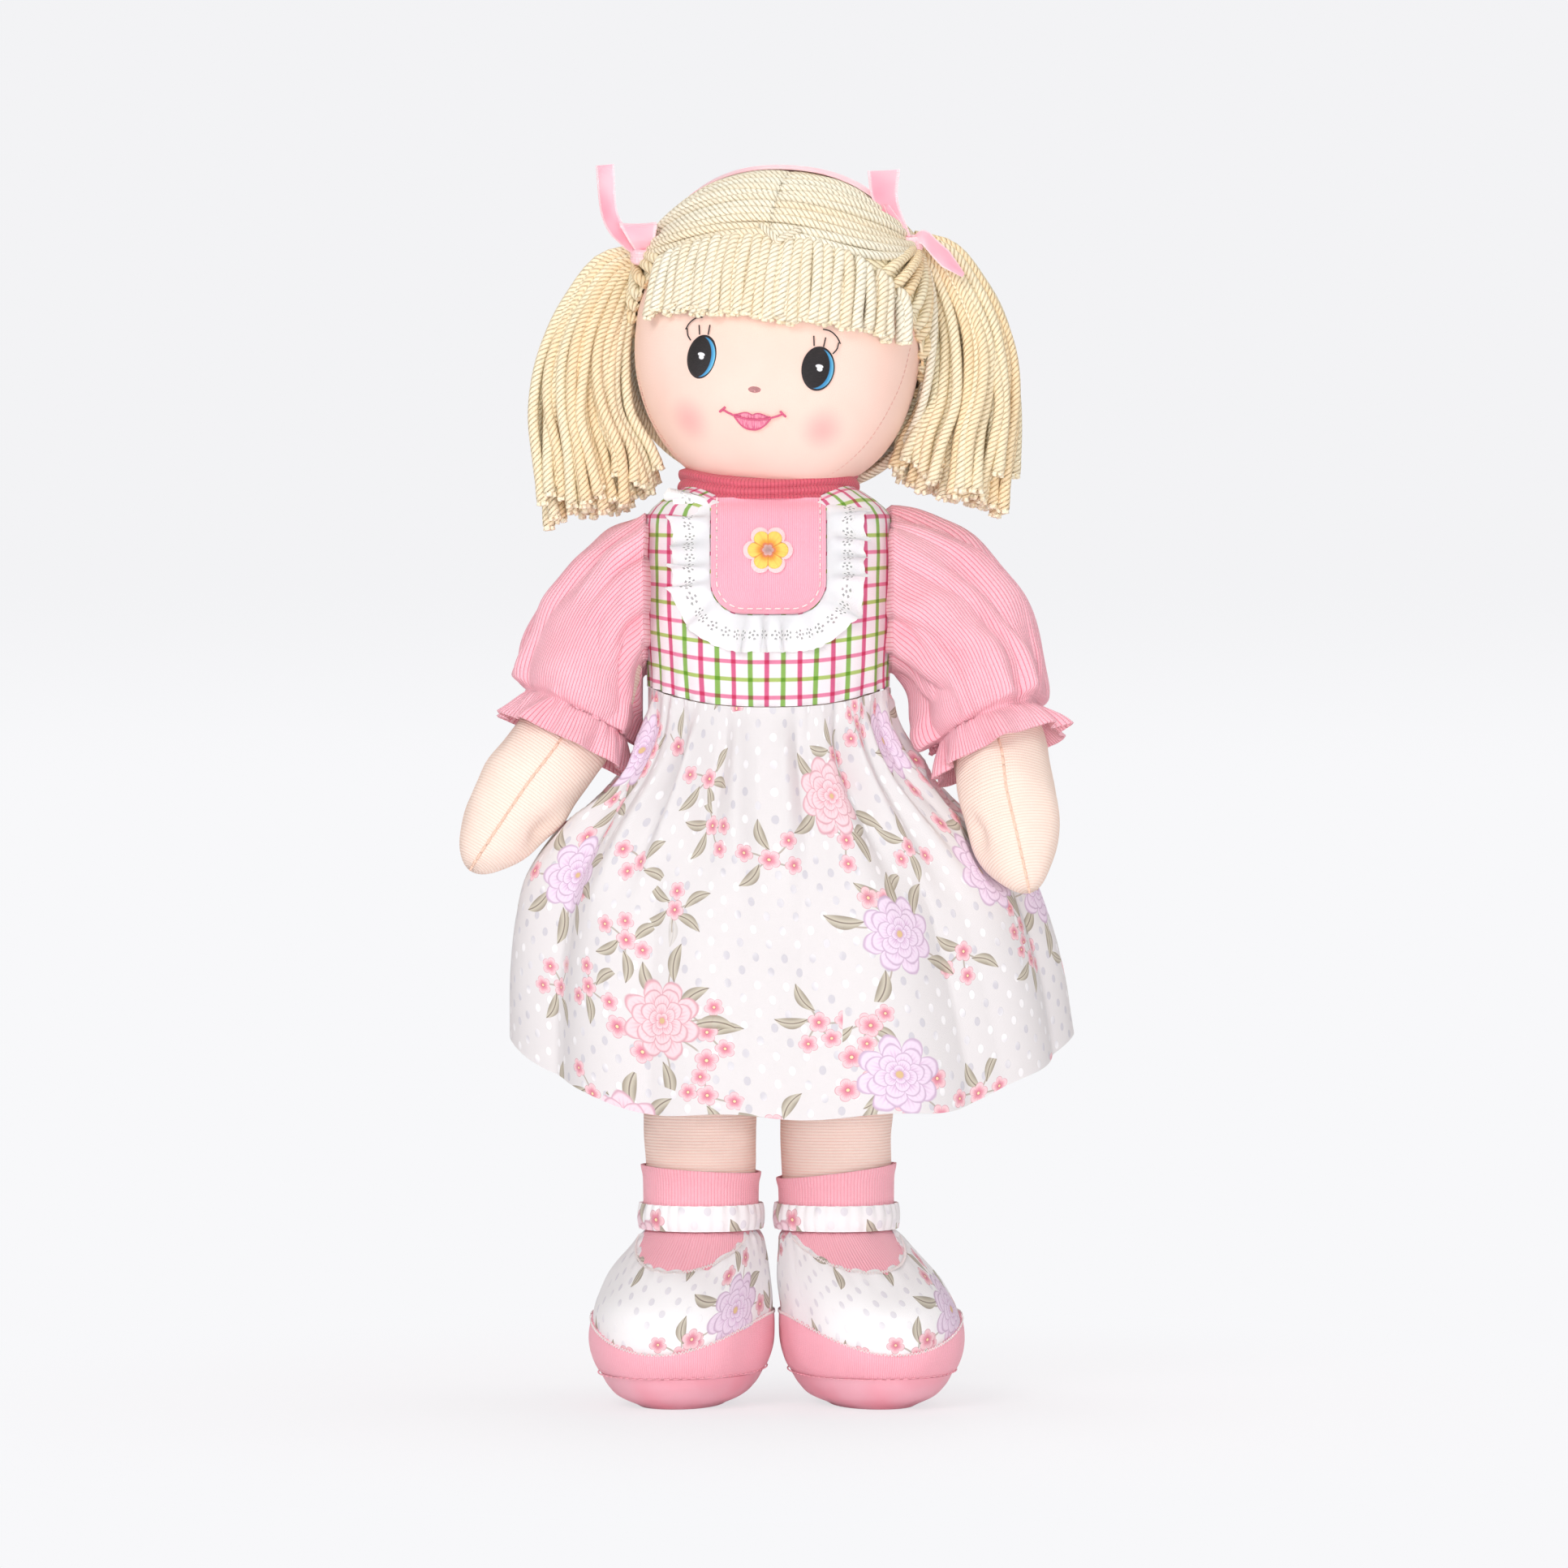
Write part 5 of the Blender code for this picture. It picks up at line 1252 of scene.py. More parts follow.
# %% Face seam
seam_places = ((0.0668, 0.026), (0.0672, 0.004), (0.0635, -0.020), (0.0525, -0.044))
seam_places += ((0.0370, -0.0605), (0.0180, -0.0690), (-0.0020, -0.0715), (-0.0240, -0.0695))
seam_places += ((-0.0430, -0.0580), (-0.0580, -0.038), (-0.0662, -0.012), (-0.0680, 0.010))
path, outward = face_line(seam_places, 0.0002, 200)
seam = strands("face_seam", stitch_lines(path, 0.0019, 0.0009, 4, 0.0002, outward), 0.00022, 4)
dress(seam, SEAM_THREAD, "head", "skin_knit")
print("face seam:", len(seam.data.polygons), "faces")


# %% [markdown]
# ## The hair
# The wig is plied yarn, each strand about 5.5 mm thick. It is sewn down along a middle part,
# from the forehead to the nape, and every strand runs over the scalp to the tie on its side.
# Paths near the part follow the shortest way over the head; those along the forehead keep to
# the edge of the wig first. Both are blended by how close a strand starts to that edge.

# %% Hair frame
HAIR_TILT, HAIR_REACH = math.radians(46), math.radians(94.5)
HAIR_LIFT = 0.0014 + YARN / 2
HAIR_AXIS = np.array((0.0, math.sin(HAIR_TILT), math.cos(HAIR_TILT)))
HAIR_RIGHT = np.array((1.0, 0.0, 0.0))
HAIR_DOWN = np.cross(HAIR_AXIS, HAIR_RIGHT)
TIES = {"left": np.array((0.0685, 0.006, 0.562)), "right": np.array((-0.0605, 0.006, 0.556))}


def hair_direction(away, angle):
    """A direction at an angle from the wig's middle, turned round it."""
    across = np.cos(angle)[..., None] * HAIR_RIGHT + np.sin(angle)[..., None] * HAIR_DOWN
    return np.cos(away)[..., None] * HAIR_AXIS + np.sin(away)[..., None] * across


def slerp(start, end, t):
    """The shortest way over a sphere from one direction to others, at shares t."""
    angle = np.arccos(np.clip((start * end).sum(axis=-1), -1, 1))[..., None, None]
    first = np.sin((1 - t[:, None]) * angle) * start[..., None, :]
    second = np.sin(t[:, None] * angle) * end[..., None, :]
    return (first + second) / np.maximum(np.sin(angle), 1e-6)


def scalp_lines(side, count=62, points=30):
    """Yarn paths from the part to one tie, blended between the edge's circle and a great circle."""
    rng, sign, tie = np.random.default_rng(11), SIDES[side], unit(to_head(TIES[side]))
    tie_away = math.acos(float(tie @ HAIR_AXIS))
    tie_angle = math.atan2(float(tie @ HAIR_DOWN), sign * float(tie @ HAIR_RIGHT))
    start = np.linspace(-HAIR_REACH + 0.015, math.radians(108), count)
    start = start + rng.uniform(-0.008, 0.008, count)
    front = np.where(start < 0, -math.pi / 2, math.pi / 2)
    away = np.abs(start)
    t = np.linspace(0, 0.985, points)
    great = slerp(hair_direction(away, front), tie[None], t)
    angle = front[:, None] + (tie_angle - front)[:, None] * t
    power = 1 + 3.2 * (away / HAIR_REACH)[:, None] ** 2
    reach = away[:, None] + (tie_away - away)[:, None] * t**power
    turned = hair_direction(reach, angle)
    turned[..., 0] *= sign
    share = smooth(away / HAIR_REACH, 0.35, 0.95)[:, None, None]
    way = unit(great + (turned - great) * share)
    pile = rng.uniform(0.0, 0.0052, (count, 1)) * t**3
    sink = 0.0004 * smooth(t, 0.05, 0.0)
    wander = 0.0007 * np.sin(rng.uniform(0, ONE_TURN, (count, 1)) + 5 * t)
    lift = HAIR_LIFT + pile - sink + wander
    return on_head(way * head_reach(way, lift)[..., None])


def temple_lines(side, seed, count=19, points=24):
    """Short strands from the wig's edge beside the face straight up to the tie, as loose loops."""
    rng, sign, tie = np.random.default_rng(seed), SIDES[side], unit(to_head(TIES[side]))
    angle = np.radians(np.linspace(-44, 82, count) + rng.uniform(-1.5, 1.5, count))
    start = hair_direction(np.full(count, HAIR_REACH - 0.01), angle) * (sign, 1, 1)
    t = np.linspace(0, 0.97, points)
    way = unit(np.stack([slerp(one, tie[None], t)[0] for one in start]))
    loop = 0.0022 * np.sin(math.pi * t) * rng.uniform(0.2, 1.0, (count, 1)) + 0.002 * t**2
    lift = HAIR_LIFT + loop - 0.0030 * smooth(t, 0.12, 0.0)
    return on_head(way * head_reach(way, lift)[..., None])


print("hair tilts back by", round(math.degrees(HAIR_TILT), 1), "degrees")


# %% Scalp
for side, sign in SIDES.items():
    lines = scalp_lines(side)
    radius = YARN / 2 * np.linspace(0.86, 0.8, lines.shape[1])
    outward = unit(lines - HEAD_CENTRE)
    yarn = strands(f"scalp_yarn_{side}", lines, radius, 8, outward, seed=21 + sign)
    dress(yarn, CROWN_YARN_LIT, "head", "yarn")
    temple = temple_lines(side, 15 + sign)
    yarn = strands(f"temple_yarn_{side}", temple, YARN / 2, 8, unit(temple - HEAD_CENTRE), seed=27)
    dress(yarn, YARN_FINISH, "head", "yarn")

# The cap under the strands stands in for the yarn beneath them; it wears the pigtails' darker yarn,
# not the crown's paler copy, so the gaps show painted shade.
away = steps(HAIR_REACH - 0.02, 0.05, 26)
phi = around(72)
reach, angle = np.broadcast_arrays(away, phi)
direction = hair_direction(reach, angle)
grid = on_head(direction * head_reach(direction, 0.0016 + 0 * reach)[..., None])
top = on_head(HAIR_AXIS * head_reach(HAIR_AXIS, 0.0016))
cloth("scalp_cap", grid, 0.0012, YARN_FINISH, "head", "yarn", "hair_cap", top=top)
print("scalp strands:", 2 * len(lines))

# %% [markdown]
# ## The fringe
# A row of short strands is stitched in along the wig's edge and hangs over the forehead. They
# are cut by hand, so their ends lie a little uneven, fluff out and show the loosened plies.


# %% Fringe
def hair_edge(x):
    """The height in the head's frame where the wig's edge crosses the face."""
    z = np.linspace(-0.01, CROWN, 500)[:, None]
    point = unit(head_front(x[None] + 0 * z, z + 0 * x[None]))
    outside = np.arccos(point @ HAIR_AXIS) > HAIR_REACH
    return np.where(outside, z, 0).max(axis=0)


def fringe_lines(count, lift, seed, points=16):
    """From the wig's edge down the forehead: across and down shift with t, lifted over the face."""
    rng = np.random.default_rng(seed)
    place = np.linspace(-1, 1, count) + rng.uniform(-0.012, 0.012, count)
    root_x = 0.0040 + 0.0535 * place
    end_x = 0.0042 + 0.0575 * place + rng.uniform(-0.0009, 0.0009, count)
    root_z = hair_edge(root_x) + 0.0015
    end_z = 0.0084 - 0.032 * end_x + rng.uniform(-0.0022, 0.0018, count)
    end_z = end_z - 0.003 * smooth(np.abs(place), 0.75, 1.0)
    t = np.linspace(0, 1, points)
    x = root_x[:, None] + (end_x - root_x)[:, None] * t**0.8
    z = root_z[:, None] + (end_z - root_z)[:, None] * t
    x = x + 0.0005 * np.sin(rng.uniform(0, ONE_TURN, (count, 1)) + 4 * t)
    arch = 0.0012 * np.sin(math.pi * t) - 0.0022 * smooth(t, 0.1, 0.0)
    out = lift + arch + rng.uniform(-0.0004, 0.0006, (count, 1))
    return raised(x, z, out, 0.6)


def tufts(lines, spread, length, seed, each=5, points=4):
    """Loosened plies at the ends: short thin strands that splay from each cut end."""
    rng = np.random.default_rng(seed)
    end = np.repeat(lines[:, -1], each, axis=0)
    along = np.repeat(unit(lines[:, -1] - lines[:, -2]), each, axis=0)
    side = rng.normal(size=along.shape)
    side = unit(side - (side * along).sum(axis=1)[:, None] * along)
    t = np.linspace(0, 1, points)[None, :, None]
    reach = length * rng.uniform(0.6, 1.1, (len(end), 1, 1))
    start = end - along * 0.003 + side * YARN * 0.24
    return start[:, None] + along[:, None] * (0.003 + reach) * t + side[:, None] * spread * t**1.5


front = fringe_lines(25, 0.0052, 5)
behind = fringe_lines(26, 0.0030, 6)
fringe_paths = np.concatenate((front, behind))
ends = 1 + 0.16 * smooth(np.linspace(0, 1, 16), 0.8, 1.0)
fringe = strands("fringe_yarn", fringe_paths, YARN / 2 * ends, 8, BACK, seed=31)
dress(fringe, CROWN_YARN_LIT, "head", "yarn", "fringe")
fluff = strands("fringe_tufts", tufts(fringe_paths, 0.0010, 0.0016, 7), 0.0012, 5, BACK, seed=32)
dress(fluff, FLUFF_LIT_FINISH, "head", "yarn")
x = np.linspace(-0.004, 0.013, 15)
dip = np.abs((x - 0.0045) / 0.0085)
z = hair_edge(x) - 0.0032 + 0.0075 * dip
knot = raised(x[None], z[None], 0.0082 - 0.002 * dip, 0.6)
dress(strands("part_knot", knot, 0.0017, 8, BACK, seed=33), CROWN_YARN_LIT, "head", "yarn")
print("fringe strands:", len(fringe_paths))

# %% [markdown]
# ## The pigtails
# Each bunch is gathered at its tie and fans out as it hangs. A table gives the bunch's outer
# and inner edge and its depth at each length. Every strand keeps one place in that section,
# spread like seeds in a sunflower, so the bunch stays full without any two strands crossing.

# %% Pigtails
PIGTAIL_LENGTH, PIGTAIL_SPREAD, PIGTAIL_DEPTH = 0.134, 0.056, 0.052
SUNFLOWER_TURN = 2.39996
PIGTAIL_SHARES = (
    (0.00, 0.05, -0.060, 0.00, 0.060, 0.26),
    (0.10, 0.38, -0.025, 0.05, 0.120, 0.42),
    (0.24, 0.70, 0.130, 0.09, 0.230, 0.66),
    (0.42, 0.92, 0.330, 0.12, 0.370, 0.86),
    (0.60, 1.01, 0.540, 0.06, 0.550, 0.96),
    (0.80, 1.00, 0.740, -0.14, 0.700, 1.00),
    (1.00, 0.92, 0.970, -0.20, 0.830, 0.94),
)


def pigtail_lines(side, seed, count=84, points=30):
    """centre(t) + a * half width(t) + b * half depth(t), for sunflower places (a, b)."""
    rng, sign, index = np.random.default_rng(seed), SIDES[side], np.arange(count)
    radius, turn = 0.95 * np.sqrt((index + 0.5) / count), index * SUNFLOWER_TURN
    a, b = radius * np.cos(turn), radius * np.sin(turn)
    length = 0.97 + rng.uniform(-0.10, 0.05, count)
    t = np.linspace(0, 1, points) ** 0.9 * length[:, None]
    out_x, out_z, in_x, in_z, deep = table(PIGTAIL_SHARES, t)
    outer = stack(sign * out_x * PIGTAIL_SPREAD, 0, -out_z * PIGTAIL_LENGTH)
    inner = stack(sign * in_x * PIGTAIL_SPREAD, 0, -in_z * PIGTAIL_LENGTH)
    shrink = 1 - 0.12 * smooth(t, 0.15, 0.0) - YARN / 2 / PIGTAIL_SPREAD
    half = (outer - inner) / 2 * (a[:, None] * shrink)[..., None]
    lines = (outer + inner) / 2 + half
    lines[..., 1] += b[:, None] * (PIGTAIL_DEPTH / 2 * deep - YARN / 2)
    wave = rng.uniform(0.0006, 0.0022, (count, 1)) * smooth(t, 0.1, 0.6)
    for axis, turns in ((0, 9), (1, 7)):
        drift = rng.normal(0, 0.0016, (count, 1)) * t
        lines[..., axis] += wave * np.sin(rng.uniform(0, ONE_TURN, (count, 1)) + turns * t) + drift
    lines[..., 2] -= PIGTAIL_LENGTH * np.clip(t - 1, 0, 1)
    return lines + TIES[side]


for side, sign in SIDES.items():
    lines = pigtail_lines(side, 40 + sign)
    ends = np.linspace(0.9, 1.0, lines.shape[1])
    ends[-2:] = 1.12
    yarn = strands(f"pigtail_yarn_{side}", lines, YARN / 2 * ends, 8, BACK, seed=50 + sign)
    loose = tufts(lines, 0.0011, 0.0022, 9)
    loose = strands(f"pigtail_tufts_{side}", loose, 0.0012, 5, BACK, seed=60)
    body = f"pigtail_{side}"
    dress(yarn, YARN_FINISH, body, "yarn", body)
    dress(loose, FLUFF_LIT_FINISH, body, "yarn")
print("pigtail strands:", 2 * len(lines))

# %% [markdown]
# ## The ribbons
# Satin ribbon, 9 mm wide with a picot edge, ties each bunch in a loose bow. A ribbon is a strip
# carried along a path: a width direction at each point, a slight cup across it, and a twist
# where the ribbon turns over.


# %% Ribbons
def ribbon(name, path, widths, ways, count=40, across=7, cup=0.0006):
    """A strip along a path: path(t) + s * width(t) * way(t) + cup * (1 - s^2) * normal."""
    t = np.linspace(0, 1, len(path))
    line = resample(table(np.column_stack((t, path)), np.linspace(0, 1, 120)).T, count)
    at = np.linspace(0, 1, count)
    width = np.interp(at, np.linspace(0, 1, len(widths)), widths)
    way = unit(read_path(np.array(ways, dtype=float), np.linspace(0, 1, len(ways)), at))
    s = np.linspace(-1, 1, across)
    normal = unit(np.cross(np.gradient(line, axis=0), way))
    rise = (1 - s**2)[None, :, None] * cup
    grid = line[:, None] + s[None, :, None] * (width / 2)[:, None, None] * way[:, None]
    grid = grid + normal[:, None] * rise
    uv = flat_uv((s / 2 + 0.5) * RIBBON_WIDTH, steps(0, run_of(line)[-1], count))
    return thicken(surface(name, grid, closed=False, uv=uv), 0.0004, 0)


KNOT_FORWARD = (0, 0.020, 0)
KNOTS = {side: tie - KNOT_FORWARD for side, tie in TIES.items()}
LOOPS = {
    # offsets in metres from the knot, then widths, then the way across the strip
    "left": (
        (((0, 0, 0), (-0.006, -0.004, 0.010), (-0.012, -0.002, 0.022), (-0.0125, 0.002, 0.036)),
         (0.004, 0.008, 0.013, 0.0158), ((1, 0.2, 0.3), (1, 0.2, 0.1), (1, 0, 0.05))),
        (((0, 0, 0), (-0.006, -0.006, 0.009), (-0.0115, -0.006, 0.0185)),
         (0.0035, 0.0075, 0.003), ((0.8, 0.5, 0.3), (0.7, 0.7, 0.2), (0.8, 0.5, 0.1))),
        (((0, 0, 0), (0.006, -0.004, 0.003), (0.0135, -0.004, -0.004), (0.026, -0.003, -0.0155)),
         (0.004, 0.0085, 0.009, 0.002), ((0.1, 0.3, 1), (0.3, 0.2, 1), (0.6, 0.2, 1))),
    ),
    "right": (
        (((0, 0, 0), (-0.008, -0.002, 0.007), (-0.0165, -0.001, 0.020), (-0.0190, 0.001, 0.0445)),
         (0.004, 0.0085, 0.0088, 0.0088), ((0.7, 0.2, 0.7), (0.9, 0.4, 0.5), (1, 0.1, 0.1))),
        (((0, 0, 0), (-0.001, -0.006, 0.007), (-0.0025, -0.007, 0.0145)),
         (0.0045, 0.012, 0.0182), ((1, 0.1, 0), (1, 0.1, 0.02), (1, 0, 0.02))),
        (((-0.0025, -0.007, 0.0145), (-0.003, -0.002, 0.0155), (-0.002, 0.003, 0.006)),
         (0.0182, 0.0175, 0.008), ((1, 0, 0.02), (1, 0, 0.02), (1, 0, 0))),
    ),
}


def knot_lines(side):
    """The ribbon wound twice round the knot: small loops in a leaning plane."""
    turn = np.linspace(0, 2 * math.pi, 25)
    lines = []
    for shift in (-0.0012, 0.0014):
        ring = stack(0.0042 * np.cos(turn), 0.0036 * np.sin(turn), shift + 0.001 * np.sin(turn))
        lines.append(ring + KNOTS[side])
    return np.array(lines)


for side in SIDES:
    for number, (path, widths, ways) in enumerate(LOOPS[side]):
        path = np.asarray(path, dtype=float) + KNOTS[side]
        strip = ribbon(f"ribbon_{side}_{number}", path, widths, ways)
        dress(strip, RIBBON, "head", "pink_satin")
        length = max(float(run_of(path)[-1]), 0.012)
    knot = strands(f"ribbon_knot_{side}", knot_lines(side), 0.0026, 12, UP, seed=4)
    dress(knot, RIBBON, "head", "pink_satin", f"bow_{side}")
print("bows tied")

# %% Crown ribbon
arc = np.linspace(-1, 1, 60)
alpha = arc * math.radians(38)
beta = column(np.radians(np.linspace(-5, 8, 9)))
direction = stack(np.sin(alpha) * np.cos(beta), np.sin(beta), np.cos(alpha) * np.cos(beta))
hump = np.sin(math.pi * steps(0.04, 0.96, 9)) ** 0.8
lift = 0.0014 + 0.98 * YARN + 0.0028 * hump * (1 - arc**4)
grid = on_head(direction * head_reach(direction, lift)[..., None])
crown = cloth(
    "crown_band", grid, 0.0005, RIBBON, "head", "pink_satin", "crown_ribbon", closed=False
)
print("crown ribbon laid")


# %% [markdown]
# ## The dress top
# The bodice is a plaid cotton shell, close over the trunk. Small tucks at the waist seam throw
# soft upright creases that fade upward.

# %% Bodice
WAIST_CENTRE, WAIST_SIDE = 0.0366, 0.0470


def waist_rise(angle):
    """The waist seam's height over the hips' axis: it climbs to the sides with cos^2."""
    return WAIST_CENTRE + (WAIST_SIDE - WAIST_CENTRE) * np.cos(angle) ** 2


phi = around(160)
seam_share = waist_rise(phi) / TORSO_LENGTH
way = column(np.linspace(0, 1, 34) ** 0.9)
share = seam_share + (1 - seam_share) * way
crease = 0.0009 * np.exp(-way / 0.16) * np.sin(26 * phi + 2 * np.sin(3 * phi))
crease = crease + 0.0006 * ripple(torso_surface(share, phi), 0.03, 12) * smooth(way, 1.0, 0.8)
grid = torso_surface(share, phi, LAYER_GAP + 0.0004)
grid = shoulder_rise(pushed(grid, crease + 0.0006))
bodice = cloth("bodice_shell", grid, 0.0010, PLAID, "torso", "plaid", "bodice")
print("bodice:", len(bodice.data.polygons), "faces")

# %% [markdown]
# ## Bib, lace and flower
# A U-shaped knit bib is sewn on the chest with white running stitches. Eyelet lace is
# gathered round it: the more its free edge spreads, the deeper its pleats. The flower is a
# satin patch on a felt backing.

# %% Bib
BIB_WIDTH, BIB_TOP, BIB_BOTTOM, BIB_CORNER = 0.055, 0.4380, 0.3815, 0.016


def bib_edge(share, inset=0.0):
    """A place along the U, down one side and up the other, and its outward direction."""
    side = BIB_TOP - BIB_BOTTOM - BIB_CORNER
    arc = BIB_CORNER * math.pi / 2
    base = BIB_WIDTH - 2 * BIB_CORNER
    run = np.abs(share - 0.5) * (2 * side + 2 * arc + base)
    sign = np.where(share < 0.5, -1, 1)
    turn = np.clip((run - base / 2) / BIB_CORNER, 0, math.pi / 2)
    x = np.minimum(run, base / 2) + (BIB_CORNER - inset) * np.sin(turn)
    z = BIB_BOTTOM + BIB_CORNER - (BIB_CORNER - inset) * np.cos(turn)
    z = z + np.clip(run - base / 2 - arc, 0, None)
    return sign * x, z, sign * np.sin(turn), -np.cos(turn)


drop = column(np.sin(np.linspace(0, math.pi / 2, 26)) ** 1.3)[::-1]
z = BIB_BOTTOM + (BIB_TOP - BIB_BOTTOM) * (1 - drop)
below = np.clip(BIB_BOTTOM + BIB_CORNER - z, 0, BIB_CORNER)
half = BIB_WIDTH / 2 - BIB_CORNER + np.sqrt(BIB_CORNER**2 - below**2)
x = np.linspace(-1, 1, 40) * half
puff = 0.0007 * np.sin(math.pi * np.clip((BIB_TOP - z) / 0.05, 0, 1))
grid = torso_front(x, z, 0.0028) - BACK * (puff + 0 * x)[..., None]
bib = cloth("bib_panel", grid, 0.0009, BIB_RIB, "torso", "pink_knit", "bib", closed=False)

x, z, _, _ = bib_edge(np.linspace(0, 1, 300), 0.0026)
path = torso_front(x, z, 0.0046)
stitches = stitch_lines(path, 0.0026, 0.0018, 5, 0.0004, 0 * path - BACK)
stitches = strands("bib_stitches", stitches, 0.00035, 6)
dress(stitches, PALE_THREAD, "torso", "lace")
print("bib stitches:", len(stitches.data.vertices) // 32)


# %% Lace
LACE_WIDTH, LACE_PLEATS, LACE_GATHER = 0.0170, 15, 1.75


def lace_finish():
    """Eyelet lace: alpha is cut by rings of holes, and a stitched rim scallops the free edge."""
    material, n, shader = fabric("eyelet_lace", roughness=0.85, sheen=0.3)
    u, v, _ = n.split(n.uv())
    x = n.pingpong(u, 0.0065) - 0.00325
    y = v - LACE_WIDTH * 0.45
    reach = n.length(x, y)
    turn = n.angle(y, x)
    ring = abs(reach - 0.0019)
    spot = n.cosine(turn * 5.0)
    hole = n.rise(ring, 0.0006, 0.0004) * n.rise(spot, 0.1, 0.4)
    middle = n.rise(reach, 0.0007, 0.0005)
    hole = n.most(hole, middle)
    flower = n.rise(reach, 0.0034, 0.0029)
    edge = abs(n.sine(u * (math.pi / 0.0042)))
    rim = n.rise(v - edge * 0.0010, 0.0018, 0.0004)
    stitched = n.most(flower * 0.6, rim)
    n.plug(shader.inputs["Alpha"], 1.0 - hole * 0.7)
    threads = n.wave(u + v * 0.6, 0.0005)
    height = threads * 0.25 + stitched * 0.75
    weave = n.group(WOVEN_THREADS, ("Height",), Vector=n.uv(), Pitch=0.0006)
    colour = n.mix(stitched, tint(252, 252, 255), tint(255, 255, 255))
    finish(n, shader, colour, height, 0.00035, extra=weave, extra_depth=0.00008)
    return material


share = np.linspace(0, 1, LACE_PLEATS * 14 + 1)
x, z, out_x, out_z = bib_edge(share)
way = steps(1, 0, 14)
phase = 2 * math.pi * LACE_PLEATS * share + 0.9 * np.sin(7 * share * math.pi + 1)
size = 0.8 + 0.35 * np.sin(9.3 * share * math.pi)
scallop = 0.0007 * np.abs(np.sin(share * math.pi * 62)) * way**4
reach = 0.0006 + (LACE_WIDTH + scallop) * way
sheet = torso_front(x + reach * out_x, z + reach * out_z, 0.0027)
outward = -normals_of(sheet, closed=False)
outward = outward * np.sign(-outward[..., 1:2])
wave = (0.5 + 0.5 * np.sin(phase)) ** 1.3 * 0.0062 * size * np.sqrt(way)
lean = 0.0034 * np.cos(phase + 0.5) * size * way
sheet = sheet + outward * (wave + 0.0008)[..., None]
sheet = sheet + stack(-out_z, 0, out_x) * lean[..., None]
total = 2 * (BIB_TOP - BIB_BOTTOM) + BIB_WIDTH
uv = flat_uv(share * total * LACE_GATHER, LACE_WIDTH * (1 - way))
lace = cloth(
    "lace_frill", sheet, 0.0004, lace_finish(), "torso", "lace", "lace_trim",
    offset=0, closed=False, uv=uv,
)
print("lace pleats:", LACE_PLEATS)


# %% Flower
FLOWER_RADIUS, FLOWER_PLACE = 0.012, (-0.0002, 0.4122)


def flower_finish():
    """Zones by share of the petal's edge: felt rim, yellow satin shaded orange, ring, centre."""
    material, n, shader = fabric("flower_satin", roughness=0.45, sheen=0.2, specular=0.5)
    u, v, _ = n.split(n.uv())
    reach = n.length(u, v)
    turn = n.angle(v, u)
    lobe = abs(n.cosine(turn * 3.0))
    edge = lobe ** 0.7 * 0.26 + 0.74
    share = reach / edge
    streak = n.noise(n.join(turn * 6.0, reach), 1.0, 2.0)
    deep = n.rise(share, 0.62, 0.30, 0.0, 0.75) + n.rise(streak, 0.4, 0.8, 0.0, 0.3)
    colour = n.mix(deep, tint(255, 214, 100), tint(242, 150, 44))
    colour = n.mix(n.rise(lobe, 0.3, 0.0, 0.0, 0.7), colour, tint(222, 114, 38))
    for low, high, over in (
        (0.80, 0.84, (252, 214, 216)), (0.34, 0.31, (240, 140, 92)), (0.25, 0.22, (248, 196, 190))
    ):
        colour = n.mix(n.rise(share, low, high), colour, tint(*over))
    height = n.wave(turn, 0.09) * 0.4 + n.rise(share, 0.84, 0.78)
    finish(n, shader, colour, height, 0.0003)
    return material


angle = around(120)
ring = steps(1.0, 0.05, 16)
petal = 1 - 0.26 * (1 - np.abs(np.cos(angle * 3)) ** 0.7)
u, v = ring * petal * np.cos(angle), ring * petal * np.sin(angle)
dome = 0.0006 + 0.0017 * (1 - ring**4) - 0.0006 * np.exp(-((ring - 0.3) / 0.1) ** 2)
x, z = FLOWER_PLACE[0] + FLOWER_RADIUS * u, FLOWER_PLACE[1] + FLOWER_RADIUS * v
grid = torso_front(x, z, 0.0048) - BACK * (dome + 0 * u)[..., None]
tip = torso_front(np.array(FLOWER_PLACE[0]), np.array(FLOWER_PLACE[1]), 0.0048 + 0.0021)
flower = cloth(
    "flower_applique", grid, 0.0008, flower_finish(), "torso", "flower_satin", "flower_patch",
    offset=-1, top=tip, uv=flat_uv(u, v, wrap=True),
)
print("flower sewn on")

# %% [markdown]
# ## The collar
# A band of deep pink rib is rolled and pushed down under the chin, so it lies in slanting folds.

# %% Collar
phi = around(150)
climb = steps(0, 1, 30)
slant = climb + 0.20 * np.sin(phi + 0.6) + 0.09 * np.sin(3 * phi + 0.8)
fold = np.abs(np.sin(math.pi * 2.6 * slant)) ** 0.7
lip = smooth(climb, 0.86, 1.0)
radius_in = 0.0022 * (1 - fold) + 0.0052 * lip + 0.0012 * climb
x, y = oval(phi, 0.0450 - radius_in, 0.0366 - radius_in)
rise = 0.0088 + 0.0082 * np.cos(phi) ** 2
grid = stack(x, y, 0.4382 + rise * climb + 0.0005 * np.sin(3 * phi) * climb)
collar = cloth("collar_roll", grid, 0.0010, COLLAR_RIB, "torso", "collar_knit", "collar", offset=-1)
print("collar rolled")

# %% [markdown]
# ## Arms and sleeves
# Each arm is one stuffed tube of skin knit that bends at the cuff and rounds off into a mitten
# hand. Its seam runs down the front in peach thread, and one stitch pulled through marks the
# thumb. The sleeve is pink rib, puffed from the armhole and drawn in by elastic, with a frill.

